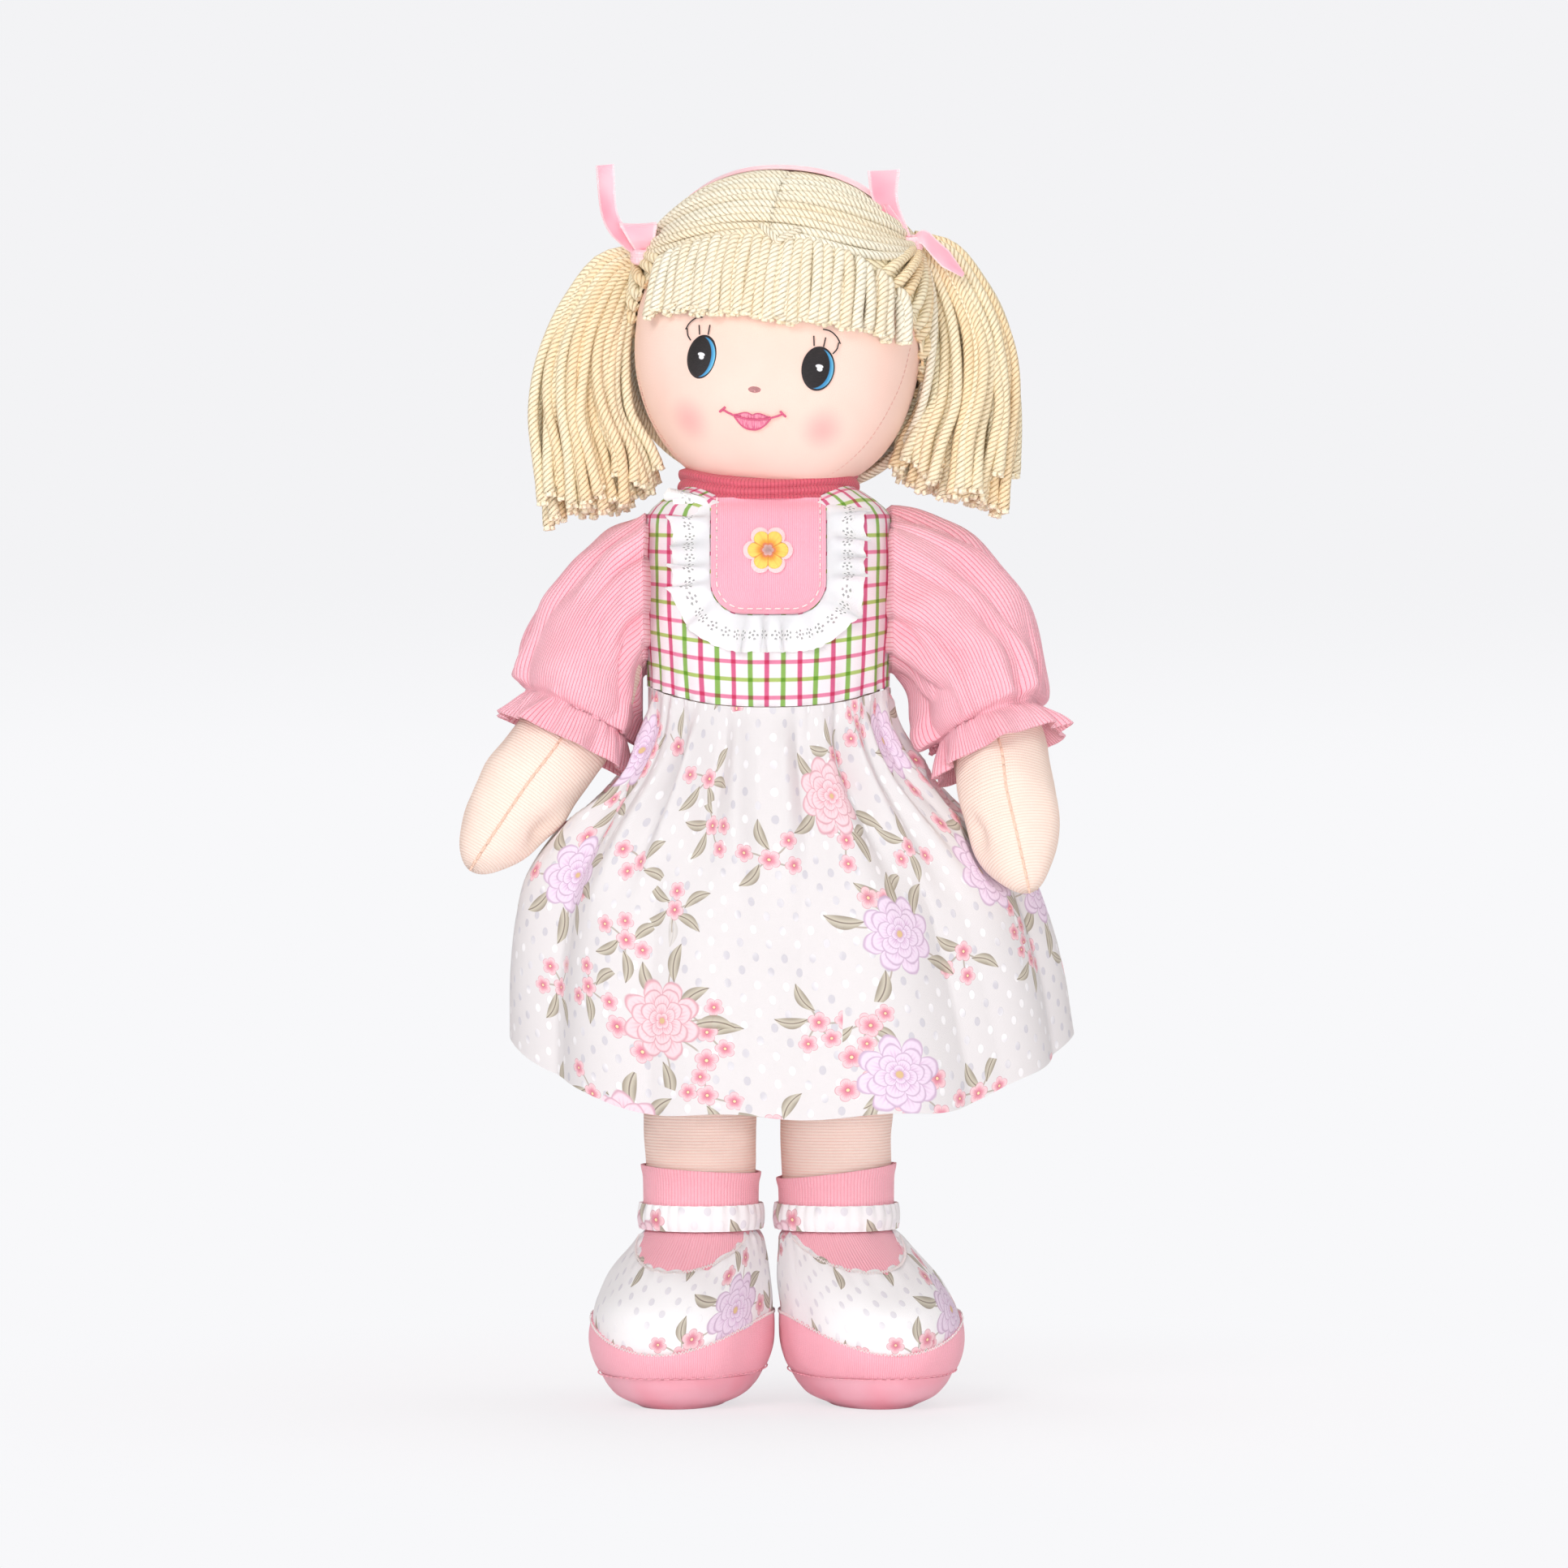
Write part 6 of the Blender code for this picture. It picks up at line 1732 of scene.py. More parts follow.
# %% Arm lines
ARMHOLE_RADIUS, ARM_RADIUS, CUFF_RADIUS = 0.040, 0.0235, 0.0275
CUFF_SHARE, HAND_SHARE, FRILL_LENGTH, FRILL_FLARE = 0.44, 0.70, 0.016, 0.008
UPPER_ARM = {"left": (0.0800, math.radians(36)), "right": (0.0680, math.radians(29))}
FOREARM = {"left": (0.0830, math.radians(12.5)), "right": (0.0920, math.radians(34))}
ARM_FORWARD = {"left": 0.054, "right": 0.022}
ARM_SHARES = (
    (0.00, 1.12, 1.12), (0.20, 1.06, 1.06), (0.44, 1.00, 1.00),
    (0.60, 1.00, 0.98), (0.75, 1.00, 0.92), (1.00, 0.92, 0.84),
)
SLEEVE_SHARES = (
    (0.00, 0.00, 0.00, 0.00, 0.00),
    (0.25, 0.44, 0.19, 0.30, 0.10),
    (0.50, 0.77, 0.48, 0.58, 0.30),
    (0.75, 0.92, 0.73, 0.79, 0.62),
    (1.00, 1.00, 1.00, 1.00, 1.00),
)


def arm_centres(side):
    """Shoulder, cuff and fingertip of an arm, from its two lengths and angles."""
    sign = SIDES[side]
    shoulder = np.array((sign * ARMHOLE_REACH, 0, SHOULDER_HEIGHT))
    (upper, lean), (fore, swing) = UPPER_ARM[side], FOREARM[side]
    cuff = shoulder + upper * np.array((sign * math.sin(lean), 0, -math.cos(lean)))
    cuff[1] -= ARM_FORWARD[side] / 4
    tip = cuff + fore * np.array((sign * math.sin(swing), 0, -math.cos(swing)))
    tip[1] = -ARM_FORWARD[side]
    return shoulder, cuff, tip


def arm_frames(side, place):
    """Centres along an arm, the outward way and the front-to-back way across it."""
    shoulder, cuff, tip = arm_centres(side)
    out_share, down_share = SLEEVE_SHARES[1][1:3]
    ways = np.array((out_share, (out_share + down_share) / 2, down_share))
    middle = (1 + CUFF_SHARE) / 2
    rows = [(0, *shoulder), (CUFF_SHARE / 2, *(shoulder + (cuff - shoulder) * ways))]
    rows += [(CUFF_SHARE, *cuff), (middle, *((cuff + tip) / 2)), (1, *tip)]
    centre = table(rows, place).T
    ahead = table(rows, np.minimum(place + 0.01, 1))
    along = unit((ahead - table(rows, np.maximum(place - 0.01, 0))).T)
    out = unit(SIDES[side] * np.cross(along, BACK))
    return centre, out, np.cross(along, out)


def sleeve_frames(side, place):
    """Centres along a sleeve, the ways across it and its radius."""
    sign = SIDES[side]
    shoulder, cuff, _ = arm_centres(side)
    out_way, down_way, turn, shrink = table(SLEEVE_SHARES, place)
    ways = np.stack((out_way, (out_way + down_way) / 2, down_way), axis=-1)
    _, cuff_out, cuff_side = arm_frames(side, np.array((CUFF_SHARE,)))
    start = np.array((sign, 0, 0))
    along = unit(start + (np.cross(cuff_out, cuff_side) - start) * turn[:, None])
    out = unit(sign * np.cross(along, BACK))
    radius = ARMHOLE_RADIUS + (CUFF_RADIUS - ARMHOLE_RADIUS) * shrink
    return shoulder + (cuff - shoulder) * ways, out, np.cross(along, out), radius


def arm_radius(place):
    """The arm's radius: even up to the hand, which rounds off as a quarter of a circle does."""
    past = np.clip((place - HAND_SHARE) / (1 - HAND_SHARE), 0, 1)
    return ARM_RADIUS * np.sqrt(1 - past**2)


def rings_round(centre, out, side_way, radius_out, radius_side, phi):
    """Rings round a line of centres: centre + r1 cos(phi) out + r2 sin(phi) side."""
    first = (radius_out * np.cos(phi))[..., None] * out[:, None]
    second = (radius_side * np.sin(phi))[..., None] * side_way[:, None]
    return centre[:, None] + first + second


def keep_off(grid, side, reach):
    """Nothing but the first ring comes nearer to the trunk than the armhole's seam."""
    grid[1:, :, 0] = SIDES[side] * np.maximum(SIDES[side] * grid[1:, :, 0], reach)
    return grid


def sewn_on(shell, ring, side, closer=0.45, tuck=0.007):
    """A sleeve's root: the ring is drawn together, laid on the shell, and goes on inside it.

    The part inside keeps the armhole shut when the arm swings.
    """
    tree = BVHTree.FromPolygons(
        [tuple(v.co) for v in shell.data.vertices], [tuple(p.vertices) for p in shell.data.polygons]
    )
    near = [Vector(point) for point in ring * (1, closer, 1)]
    seam = np.array([tuple(tree.find_nearest(point)[0]) for point in near])
    return np.stack((seam - (SIDES[side] * tuck, 0, 0), seam, (seam + ring) / 2, ring))


print("arm lines ready")

# %% Arms
for side, sign in SIDES.items():
    body = f"arm_{side}"
    hand = HAND_SHARE + (1 - HAND_SHARE) * np.sin(np.linspace(0.04, 0.992, 18) * math.pi / 2)
    place = np.concatenate((np.linspace(0, HAND_SHARE, 34), hand))
    centre, out, side_way = arm_frames(side, place)
    centre[0, 0], out[0] = sign * ARMHOLE_REACH, UP
    side_way[0] = np.cross((sign, 0, 0), UP)
    wide, deep = (column(values) for values in table(ARM_SHARES, place))
    phi = around(64)
    front = sign * math.pi / 2
    thumb_turn = front + sign * math.radians(62)
    thumb = bump(column(place) - 0.80, 0.045) * bump(turned_by(phi, thumb_turn), 0.30)
    seam = bump(turned_by(phi, front), 0.10)
    dent = arm_radius(column(place)) - 0.0050 * thumb - 0.0007 * seam
    grid = rings_round(centre, out, side_way, dent * wide, dent * deep, phi)
    grid = keep_off(grid, side, ARMHOLE_REACH + 0.0016)
    far = smooth(column(place), CUFF_SHARE, 0.55)
    grid = stuffing(grid, 0.0011, 0.026, 8 + sign, far)
    tip = arm_centres(side)[2]
    arm = surface(f"arm_skin_{side}", grid, bottom=grid[0].mean(axis=0), top=tip)
    dress(arm, SKIN, body, "skin_knit", body)
    column_at = int(round(front % (2 * math.pi) / (2 * math.pi) * len(phi))) % len(phi)
    line = np.concatenate((grid[18:, column_at], [tip]))
    line = resample(line, 80)
    outward = unit(line - resample(np.concatenate((centre[18:], [tip])), 80) + (0, -1e-4, 0))
    seam_path = stitch_lines(line, 0.0042, 0.0004, 5, 0.0005, outward)
    seam_thread = strands(f"arm_seam_{side}", seam_path, 0.00065, 6)
    dress(seam_thread, PEACH_THREAD, body, "skin_knit")
print("arms stuffed")

# %% Sleeves
FRILL_PLACES = np.array((0.10, 0.24, 0.42, 0.62, 0.82, 1.0))
SLEEVE_PUFF = {"left": 0.0012, "right": -0.0030}
NARROW = ARM_RADIUS + 0.0022


def folds_round(phi, waves, rng):
    """Uneven folds round a tube: a sum of cosines with random sizes and turns, about -1 to 1."""
    total = 0 * phi
    for count in waves:
        total = total + np.cos(count * phi + rng.uniform(0, ONE_TURN)) * rng.uniform(0.6, 1.2)
    return total / math.sqrt(len(waves)) / 1.2


def sleeve_radius(side, way, phi, girth, rng):
    """Armhole to elastic: the puff, the bulge that hangs over the gather, and the folds."""
    body = girth + SLEEVE_PUFF[side] * np.sin(math.pi * way**1.4) + 0 * phi
    body = body + 0.0016 * bump(way - 0.86, 0.12)
    broad = (np.abs(folds_round(phi + 0.5 * way, (2, 3, 5), rng)) - 0.5) * 0.0125
    broad = broad * np.sin(math.pi * way) ** 0.8
    top = (np.abs(folds_round(phi, (4, 6, 9), rng)) - 0.5) * 0.0084 * bump(way, 0.42)
    cuff = np.abs(folds_round(phi, (3, 5, 8), rng)) - 0.5
    cuff = cuff * 0.0105 * smooth(way, 0.35, 0.95)
    body = body + broad + top + cuff
    body = np.maximum(body, NARROW + 0.0048 * smooth(way, 1.0, 0.80))
    drawn = smooth(way, 0.93, 1.0)
    return body + (NARROW + 0.25 * cuff - body) * drawn


def frill_radius(flare, phi, rng):
    """The frill beyond the elastic: tucks that open into nine uneven waves at its edge."""
    wave = np.cos(9 * phi + 0.9 * np.sin(2 * phi) + rng.uniform(0, ONE_TURN))
    wave = wave + 0.35 * np.cos(14 * phi + rng.uniform(0, ONE_TURN))
    tucks = folds_round(phi, (15, 21, 26), rng) * 0.0012 * (1 - flare)
    return NARROW + FRILL_FLARE * flare**0.8 + 0.0034 * wave * flare + tucks


for side, sign in SIDES.items():
    arm = f"arm_{side}"
    rng = np.random.default_rng(61 + sign)
    place = np.linspace(0, 1, 72) ** 0.85
    centre, out, side_way, girth = sleeve_frames(side, place)
    along = np.cross(out[-1], side_way[-1])
    centre = centre + along * column(0.0042 * bump(place - 0.90, 0.08))
    centre = np.vstack((centre, centre[-1] + along * FRILL_LENGTH * FRILL_PLACES[:, None]))
    out, side_way = (np.vstack((way, *[way[-1]] * len(FRILL_PLACES))) for way in (out, side_way))
    phi = around(240)
    body = sleeve_radius(side, column(place), phi, column(girth), rng)
    frill = frill_radius(column(FRILL_PLACES), phi, rng)
    radius = np.maximum(np.vstack((body, frill)), NARROW - 0.0004)
    grid = rings_round(centre, out, side_way, radius, radius, phi)
    grid = stuffing(grid, 0.0010, 0.028, 30 + sign)
    grid = keep_off(grid, side, ARMHOLE_REACH + 0.0014)
    grid = np.vstack((sewn_on(bodice, grid[0], side), grid[1:]))
    sleeve = cloth(
        f"puffed_sleeve_{side}", grid, 0.0011, PINK_RIB, arm, "pink_knit", f"sleeve_{side}", offset=-1
    )
    turn = np.linspace(0, 2 * math.pi, 61)
    middle, cuff_out, cuff_side = arm_frames(side, np.array((CUFF_SHARE,)))
    radius = ARM_RADIUS + 0.0002
    ring = rings_round(middle, cuff_out, cuff_side, radius, radius, turn)
    elastic = strands(f"elastic_{side}", ring, 0.0007, 8)
    dress(elastic, PALE_THREAD, arm, "elastic", f"cuff_elastic_{side}")
print("sleeves puffed, gathers and frills:", len(phi), "columns")

# %% [markdown]
# ## The skirt
# The skirt is one long strip of printed cotton gathered onto the waist seam. Many small gathers
# merge into a dozen uneven folds, and three deep ones fall from the waist in front. Where an arm
# or a sleeve lies against it, the cloth gives way: each point moves inward until it clears the
# balls that stand for the arm.


# %% Skirt
def arm_balls(side):
    """Balls that fill a sleeve, its frill and the forearm: centres and radii."""
    sleeve, out, side_way, girth = sleeve_frames(side, np.linspace(0, 1, 11))
    along = np.cross(out[-1], side_way[-1])
    way = np.linspace(0, 1, 5)
    frill = sleeve[-1] + along * FRILL_LENGTH * way[:, None]
    place = np.linspace(CUFF_SHARE, 1, 30)
    centre, _, _ = arm_frames(side, place)
    puff = 0.0040 * np.sin(math.pi * np.linspace(0, 1, 11) ** 1.6)
    radii = np.concatenate((girth + puff, CUFF_RADIUS + 0.0085 * way, arm_radius(place)))
    return np.vstack((sleeve, frill, centre)), radii


def pressed(grid, waist, room=0.0018):
    """Solve |p + d * inward - centre| = radius for the least d at which each point is clear."""
    inward = unit(grid * (0, 0, 1) - grid)
    depth = np.zeros(grid.shape[:2])
    for side in SIDES:
        for centre, radius in zip(*arm_balls(side)):
            away = grid - centre
            along = -(away * inward).sum(axis=-1)
            reach = along**2 - (away**2).sum(axis=-1) + (radius + room) ** 2
            inside = np.linalg.norm(away, axis=-1) < radius + room
            depth = np.maximum(depth, inside * (along + np.sqrt(np.clip(reach, 0, None))))
    drawn = grid + inward * depth[..., None]
    girth = np.linalg.norm(drawn[..., :2], axis=-1, keepdims=True)
    least = np.linalg.norm(waist, axis=-1, keepdims=True)
    drawn[..., :2] *= np.maximum(girth, np.minimum(least, girth + depth[..., None])) / girth
    return drawn


SKIRT_SHARES = (
    (0.00, 0.00, 0.00, 0.0014, 1.00), (0.10, 0.02, 0.08, 0.0080, 1.00),
    (0.20, 0.14, 0.20, 0.0120, 0.90), (0.30, 0.35, 0.36, 0.0135, 0.60),
    (0.40, 0.57, 0.50, 0.0135, 0.30), (0.53, 0.79, 0.65, 0.0125, 0.10),
    (0.65, 0.885, 0.77, 0.0115, 0.00), (0.80, 0.955, 0.90, 0.0105, 0.00),
    (1.00, 1.00, 1.00, 0.0095, 0.00),
)
SKIRT_WIDTH, SKIRT_DEPTH, SKIRT_LENGTH = 0.270, 0.186, 0.195
SKIRT_LIFT, SKIRT_SWAY, SKIRT_STRIP = 0.036, 0.011, 0.74
# the angle of each deep fold at the waist, and how far it swings on the way to the hem
DEEP_FOLDS = ((4.14, -0.25), (4.66, 0.06), (5.40, 0.22))
phi = around(420)
length = steps(0, 1, 76)
width, depth, folds, square = table(SKIRT_SHARES, length)
waist_width, _ = table(TORSO_SHARES, WAIST_SIDE / TORSO_LENGTH)
_, waist_depth = table(TORSO_SHARES, WAIST_CENTRE / TORSO_LENGTH)
waist_x = float(TORSO_WIDTH / 2 * waist_width) + 0.0028
waist_y = float(TORSO_DEPTH / 2 * waist_depth) + 0.0028
half_x = waist_x + (SKIRT_WIDTH / 2 - waist_x) * width
half_y = waist_y + (SKIRT_DEPTH / 2 - waist_y) * depth
drift = phi + 0.05 * np.sin(3 * phi + 1) * length + 0.03 * np.sin(5 * phi) * (1 - length)
near = 0.62 * np.abs(np.cos(8 * drift + 0.5)) + 0.38 * np.abs(np.cos(11.5 * drift + 1.4))
far = 0.60 * np.abs(np.cos(5.5 * drift + 0.3)) + 0.40 * np.abs(np.cos(3.5 * drift + 1.1))
gather = near + (far - near) * smooth(length, 0.12, 0.60)
small = 0.5 * np.cos(46 * drift + 1.3 * np.sin(4 * phi)) + 0.5 * np.cos(33 * drift + 2)
deep = sum(
    bump(phi - place - swing * length + gap, 0.055)
    for place, swing in DEEP_FOLDS for gap in (-0.10, 0.10)
)
deep = deep * smooth(length, 0.02, 0.10) * smooth(length, 0.62, 0.22)
wave = 0.0036 * deep + (gather - 0.60) * folds + small * 0.0009 * np.exp(-length / 0.08) + 0.0008
x, y = oval(phi, half_x + wave, half_y + wave, 2 + (TORSO_POWER - 2) * square)
x = x + SKIRT_SWAY * length * width
waist = stack(*oval(phi, waist_x, waist_y, TORSO_POWER), 0)[..., :2]
top = SIT_PIVOT + waist_rise(phi) - LAYER_GAP
hem = SIT_PIVOT + WAIST_CENTRE - SKIRT_LENGTH + SKIRT_LIFT * np.cos(phi) ** 4
hem = hem + 0.0014 * np.cos(11 * phi + 1)
z = top + (hem - top) * length
grid = pressed(stack(x, y, z)[::-1], waist)
across = np.linspace(0, SKIRT_STRIP, len(phi) + 1)
uv = flat_uv(across, steps(0, 0.19, 76))
skirt = cloth("gathered_skirt", grid, 0.0010, FLORAL, None, "floral", "skirt", offset=-1, uv=uv)
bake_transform(skirt)
print("skirt:", len(skirt.data.polygons), "faces")

# %% [markdown]
# ## Legs and socks
# The legs are straight stuffed tubes with a domed top that turns in the hips. The ribbed socks
# reach up out of the shoes, their edge rolled over.

# %% Legs
LEG_SHARES = ((0.00, 0.00), (0.16, 0.15), (0.30, 0.90), (0.50, 1.00), (1.00, 1.00))
STRAP_HEIGHT = 0.0125
SOCK_SLOPE = {"left": 0.0036, "right": 0.0018}


def leg_rings(side, heights, extra, phi):
    """Rings round a leg at heights above the ankle, a layer outside its skin."""
    (share,) = table(LEG_SHARES, column(heights) / LEG_LENGTH)
    radius = ANKLE_RADIUS + (LEG_RADIUS - ANKLE_RADIUS) * share + extra
    x = LEG_SPACING / 2 * SIDES[side] + radius * np.cos(phi)
    return stack(x, radius * np.sin(phi), FOOT_HEIGHT + column(heights))


for side, sign in SIDES.items():
    body = f"leg_{side}"
    phi = around(72)
    shaft = leg_rings(side, np.linspace(0.0006, LEG_LENGTH, 50), 0, phi)
    theta = column(np.linspace(0.04, 0.96, 12) * math.pi / 2)
    dome = stack(np.cos(theta) * np.cos(phi), np.cos(theta) * np.sin(phi), np.sin(theta))
    centre = np.array((LEG_SPACING / 2 * sign, 0, LEG_PIVOT))
    grid = np.vstack((shaft, LEG_RADIUS * dome + centre))
    height = grid[..., 2] - FOOT_HEIGHT
    soft = smooth(height, SOCK_HEIGHT, 0.05) * smooth(height, LEG_LENGTH, 0.12)
    dent = 0.0012 * ripple(grid, 0.030, 14 + sign) - 0.0004
    grid = pushed(grid, dent * soft)
    top = centre + UP * LEG_RADIUS
    leg = surface(f"leg_skin_{side}", grid, bottom=grid[0].mean(axis=0), top=top)
    dress(leg, LEG_SKIN_LIT, body, "skin_knit", body)

    heights = np.append(np.linspace(0.0004, SOCK_HEIGHT, 18), SOCK_HEIGHT + 0.0007)
    tube = leg_rings(side, heights, 0.0006, phi)
    swell = 0.0008 * bump(SOCK_HEIGHT - column(heights), 0.003)
    slope = SOCK_SLOPE[side] * sign * np.cos(phi) - 0.6 * SOCK_SLOPE[side]
    tilt = smooth(column(heights), 0.010, SOCK_HEIGHT) * slope
    tube = pushed(tube, swell) + UP * tilt[..., None]
    sock = cloth(f"sock_rib_{side}", tube, 0.0013, SOCK_RIB, body, "pink_knit", f"sock_{side}")

    phi = around(200)
    heights = np.linspace(0.0006, STRAP_HEIGHT, 12)
    way = steps(0, 1, 12)
    tuck = np.cos(31 * phi + 1.5 * np.sin(3 * phi)) * (0.35 + 0.65 * np.abs(2 * way - 1))
    tube = leg_rings(side, heights, 0.0024, phi)
    bulge = 0.0011 * np.sin(math.pi * way) + 0.00055 * tuck
    strap = cloth(
        f"strap_band_{side}", pushed(tube, bulge), 0.0012, SHOE_FLORAL_LIT, body, "floral",
        f"shoe_strap_{side}",
    )
print("legs, socks and straps done")

# %% [markdown]
# ## The shoes
# Each shoe is a soft bootee in layers that meet at seams: a padded satin bottom, a knit band
# stitched on with a pinked edge, and a printed vamp cut out over the instep. The opening shows
# the knit foot under it and is whipped with white thread.

# %% Shoe shape
FOOT_SHARES = (
    (0.00, 0.46, 0.56, 1.00), (0.05, 0.68, 0.74, 1.00), (0.11, 0.80, 0.84, 1.00),
    (0.19, 0.89, 0.91, 1.00), (0.31, 0.97, 0.98, 1.02), (0.46, 1.00, 1.00, 1.00),
    (0.58, 0.985, 0.96, 0.92), (0.70, 0.925, 0.87, 0.70), (0.82, 0.835, 0.74, 0.42),
    (0.92, 0.745, 0.62, 0.18), (1.00, 0.670, 0.52, 0.02),
)
BAND_SIDE, BAND_TOE, OPENING = 0.044, 0.028, 0.016
OPENING_SPAN = (math.radians(208), math.radians(332))


def foot_surface(side, share, angle, out=0.0):
    """The shoe at shares of its height: ovals set back over the ankle and turned out."""
    width, length, setback = table(FOOT_SHARES, share)
    x, y = oval(angle, FOOT_WIDTH / 2 * width + out, FOOT_LENGTH / 2 * length + out, 2.1)
    y = y - FOOT_SETBACK * setback
    yaw = FOOT_YAW * SIDES[side]
    ankle = (LEG_SPACING / 2 + FOOT_OUTSET * setback) * SIDES[side] + FOOT_SWAY * setback
    turned = x * math.cos(yaw) - y * math.sin(yaw), x * math.sin(yaw) + y * math.cos(yaw)
    return stack(ankle + turned[0], turned[1], FOOT_HEIGHT * share)


def shoe_edges(angle):
    """Shares of height at each angle for the band's top and the vamp's edge."""
    toe = np.clip(-np.sin(angle), 0, 1) ** 2
    band = (BAND_SIDE + (BAND_TOE - BAND_SIDE) * toe) / FOOT_HEIGHT
    vamp = 0.995 - OPENING / FOOT_HEIGHT * np.clip((toe - 0.2) / 0.8, 0, 1) ** 0.75
    return band, vamp


def zigzag(side, which, shift, span, waves, out, swing):
    """Whip stitches: share = edge(angle) + shift + swing * sin(waves * turn), over a span."""
    way = np.linspace(0, 1, waves * 8 + 1)
    turn = span[0] + (span[1] - span[0]) * way
    share = shoe_edges(turn)[which] + shift + swing * np.sin(2 * math.pi * waves * way)
    return foot_surface(side, share, turn, out)


print("shoe shape ready")

# %% Shoes
EDGE = SOLE_HEIGHT / FOOT_HEIGHT
for side, sign in SIDES.items():
    body = f"leg_{side}"
    phi = around(128)
    inside = foot_surface(side, steps(0.02, 0.998, 44), phi, -0.0024)
    ends = {"bottom": inside[0].mean(axis=0), "top": inside[-1].mean(axis=0)}
    foot = surface(f"foot_core_{side}", inside, **ends)
    dress(foot, SOCK_RIB, body, "pink_knit", f"foot_{side}")

    way = steps(0, 1, 20)
    grid = foot_surface(side, EDGE * way**1.7, phi, -0.0002)
    grid[..., 2] = np.maximum(grid[..., 2], 0.0)
    middle = smooth(way, 1.0, 0.5) * smooth(way, 0, 0.3)
    grid[..., 2] += 0.0003 * (1 + ripple(grid, 0.03, 33)) * middle
    cloth(
        f"sole_pad_{side}", grid, 0.0012, SOLE_SATIN, body, "sole_satin", f"shoe_sole_{side}",
        offset=-1, bottom=grid[0].mean(axis=0),
    )

    phi = around(300)
    band_top, vamp_top = shoe_edges(phi)
    way = steps(0, 1, 24)
    pinked = 0.0009 / FOOT_HEIGHT * np.abs(turned_by(75 * phi, 0)) / math.pi
    share = EDGE + (band_top + pinked * way - EDGE) * way
    grid = foot_surface(side, share, phi, 0.0002)
    puff = 0.0009 * np.sin(math.pi * way) ** 0.6 - 0.0005 * np.exp(-way / 0.05)
    puff = puff + 0.0006 * ripple(grid, 0.03, 40 + sign)
    band = cloth(
        f"band_knit_{side}", pushed(grid, puff), 0.0013, BAND_RIB, body, "pink_knit",
        f"shoe_band_{side}", offset=-1,
    )

    share = band_top - 0.012 + (vamp_top - band_top + 0.012) * way
    grid = foot_surface(side, share, phi, -0.0004 - 0.0018 * smooth(way, 0.93, 1.0))
    pucker = 0.0005 * np.cos(26 * phi + 2 * np.sin(3 * phi)) * np.exp(-(1 - way) / 0.12)
    dent = 0.0008 * ripple(grid, 0.03, 44 + sign) + pucker
    vamp = cloth(
        f"vamp_print_{side}", pushed(grid, dent), 0.0010, SHOE_FLORAL_LIT, body, "floral",
        f"shoe_upper_{side}", offset=-1,
    )

    turn = np.linspace(0, 2 * math.pi, 400)
    line = foot_surface(side, EDGE + 0.010 + 0.010 * np.sin(turn + 1), turn, 0.0009)
    outward = unit(line - line.mean(axis=0))
    dashes = stitch_lines(line, 0.0026, 0.0016, 5, 0.0003, outward)
    dress(strands(f"sole_stitches_{side}", dashes, 0.0003, 6), ROSE_THREAD, body, "pink_knit")

    # name, which edge, its shift, span, stitches, how far out, slot
    rows = (
        ("band", 0, 0.004, (0, 2 * math.pi), 170, 0.0007, "pink_knit"),
        ("whip", 1, -0.010, OPENING_SPAN, 60, 0.0003, "floral"),
    )
    for name, which, shift, span, waves, out, slot in rows:
        line = zigzag(side, which, shift, span, waves, out, 0.007)
        outward = unit((line - line.mean(axis=0)) * (1, 1, 0.3))
        sewn = strands(f"{name}_stitches_{side}", line[None], 0.00022, 5, outward[None])
        dress(sewn, PALE_THREAD, body, slot)
print("shoes sewn")

# %% [markdown]
# ## Floor, light and camera
# The doll stands on a pale seamless floor. Four soft lights give its even light: a key high on
# the left, a low fill in front, one from above and one behind that lifts the backdrop and the
# edges. The camera is level with the doll's middle.

# %% Floor
def seamless_finish():
    """Lit near the doll; from there it fades, for the camera alone, to the backdrop's own tone."""
    material, n, shader = fabric("studio_floor", roughness=0.7, sheen=0.0, specular=0.1)
    n.plug(shader.inputs["Base Color"], FLOOR_COLOUR)
    x, y, _ = n.split(n.place())
    reach = n.length(x, y)
    plain = n.add("Emission", (), {"Color": FLOOR_TONE, "Strength": 1.0})
    for_camera = n.get("LightPath", (), (), "Is Camera Ray")
    factor = n.rise(reach, 0.14, 0.50, 0.72, 1.0) * for_camera
    n.surface(n.tree.nodes["Material Output"], factor, shader, plain)
    return material


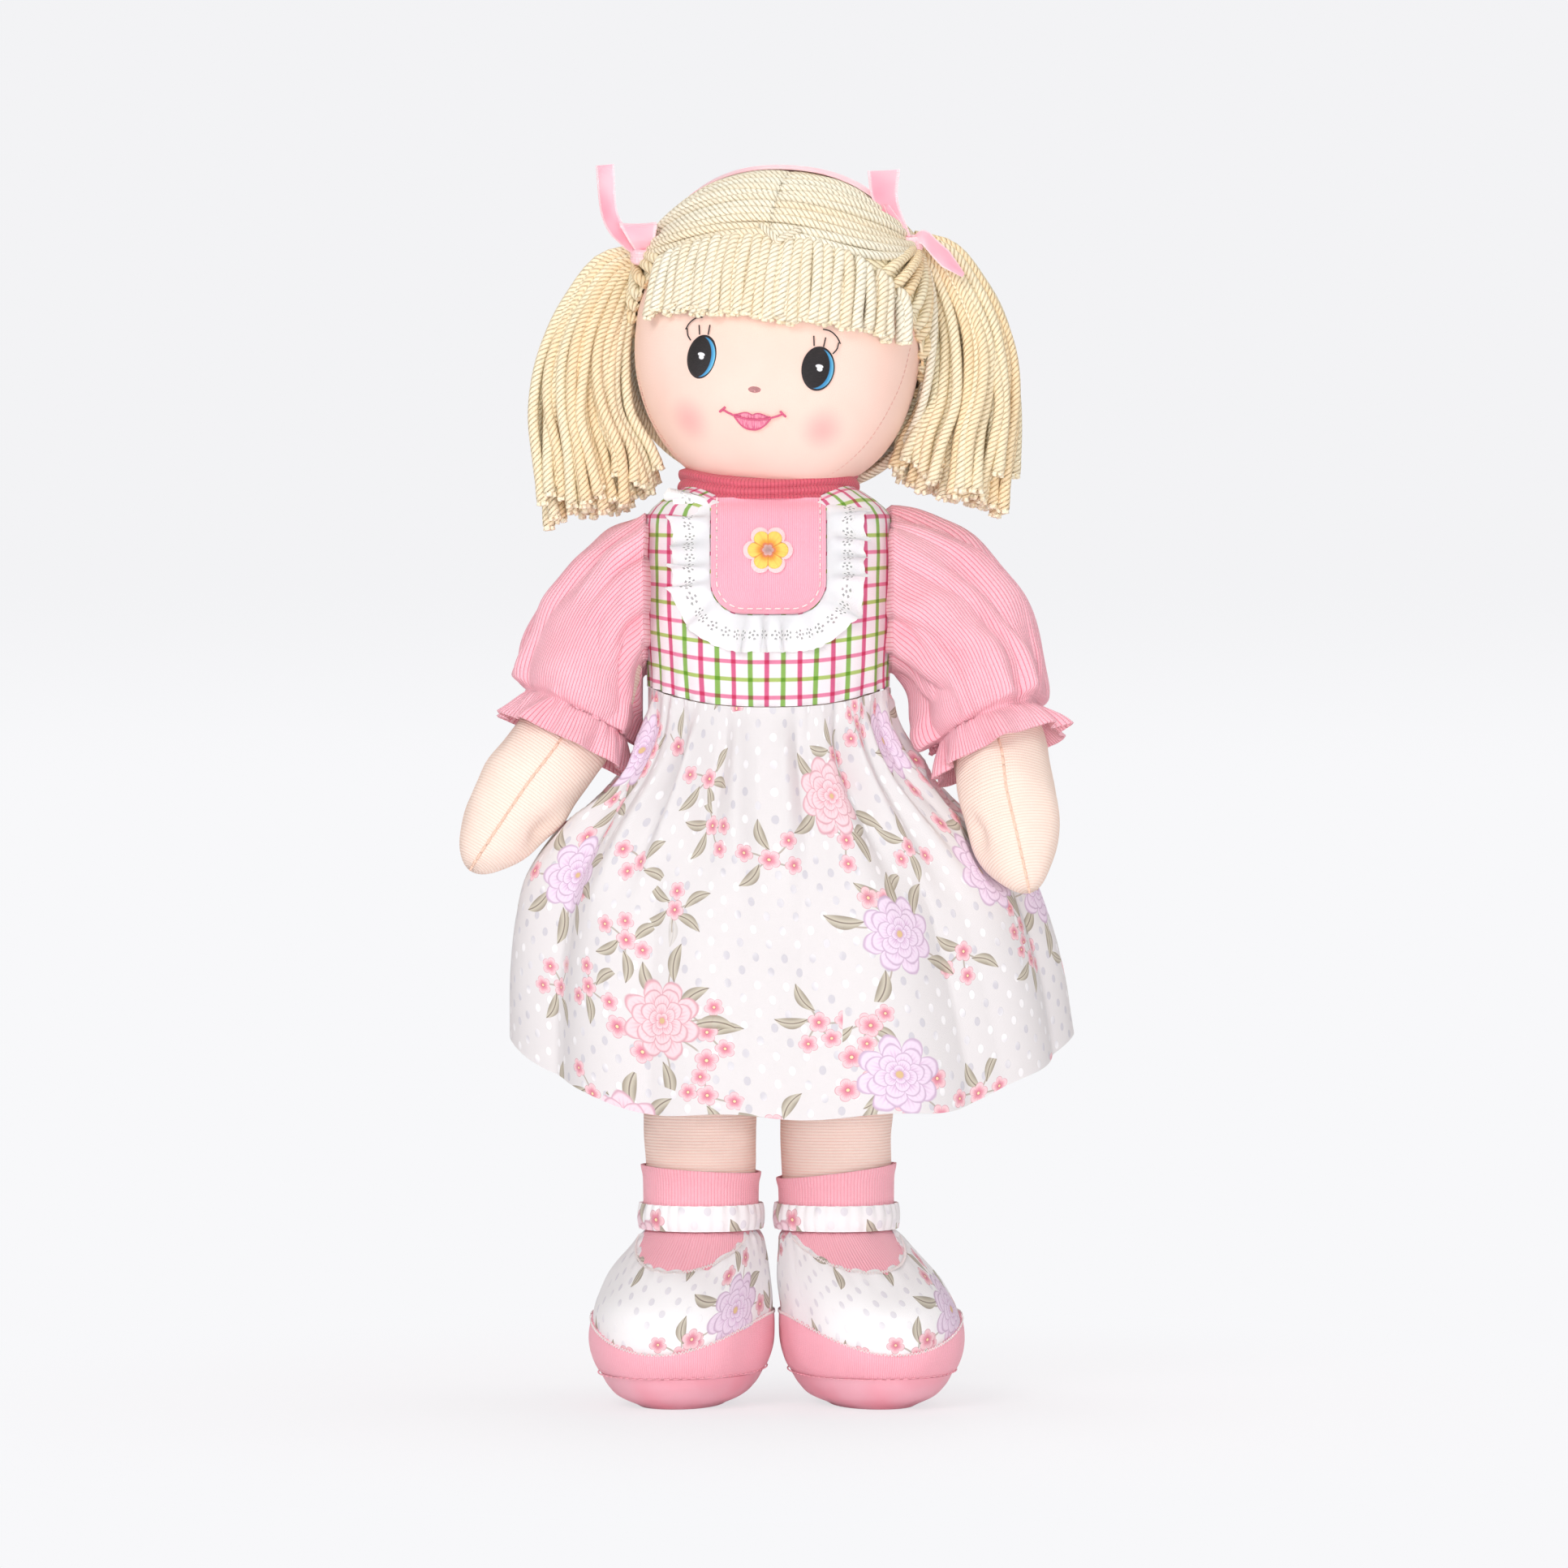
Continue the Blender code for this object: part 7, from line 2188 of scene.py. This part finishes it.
BACKDROP_TONE, FLOOR_TONE = tint(243, 243, 245), tint(248, 248, 250)
FLOOR_COLOUR = tint(252, 248, 250)
floor = mesh_object(
    "studio_floor_plane",
    np.array(((-9, -9, 0), (9, -9, 0), (9, 9, 0), (-9, 9, 0)), dtype=float),
    [(0, 1, 2, 3)],
)
floor.data.materials.append(seamless_finish())

world = bpy.data.worlds.new("studio_world")
bpy.context.scene.world = world
world.use_nodes = True
n = Nodes(world.node_tree)
n.tree.nodes.clear()
_, _, height = n.split(n.get("TexCoord", (), (), "Generated"))
tone = n.mix(n.rise(height, 0.0, 0.035), FLOOR_TONE, BACKDROP_TONE)
seen = n.add("Background", (), {"Color": tone})
glow = n.add("Background", (), {"Color": (1.0, 0.985, 0.975, 1.0), "Strength": 0.45})
for_camera = n.get("LightPath", (), (), "Is Camera Ray")
n.surface(n.add("OutputWorld"), for_camera, glow, seen)
print("floor and backdrop set")


# %% Lights
def soft_light(name, place, aim, size, power):
    """A wide area light at a place, turned to face a point; size is its width and height."""
    data = bpy.data.lights.new(name, "AREA")
    data.shape = "RECTANGLE"
    data.energy, data.size, data.size_y = power, *size
    light = bpy.data.objects.new(name, data)
    bpy.context.scene.collection.objects.link(light)
    light.location = place
    direction = Vector(aim) - Vector(place)
    light.rotation_euler = direction.to_track_quat("-Z", "Y").to_euler()
    return light


soft_light("key_light", (-0.9, -2.0, 1.35), (0, 0, 0.28), (1.0, 1.0), 22)
soft_light("fill_light", (0.5, -2.2, 0.14), (0, 0, 0.14), (1.5, 0.7), 25)
soft_light("top_light", (0.2, 0.35, 2.0), (0, 0, 0.3), (1.4, 1.4), 12.5)
soft_light("back_light", (0.5, 2.5, 0.7), (0, 0, 0.3), (1.4, 1.4), 14)
print("four lights")

# %% Camera
camera_data = bpy.data.cameras.new("studio_camera")
camera_data.lens = 141.2
camera = bpy.data.objects.new("studio_camera", camera_data)
bpy.context.scene.collection.objects.link(camera)
camera.location = (0.0075, -3.0, 0.2998)
camera.rotation_euler = (math.pi / 2, 0, 0)
bpy.context.scene.camera = camera
bpy.context.scene.view_settings.view_transform = "Standard"
print("camera at", tuple(round(value, 3) for value in camera.location))
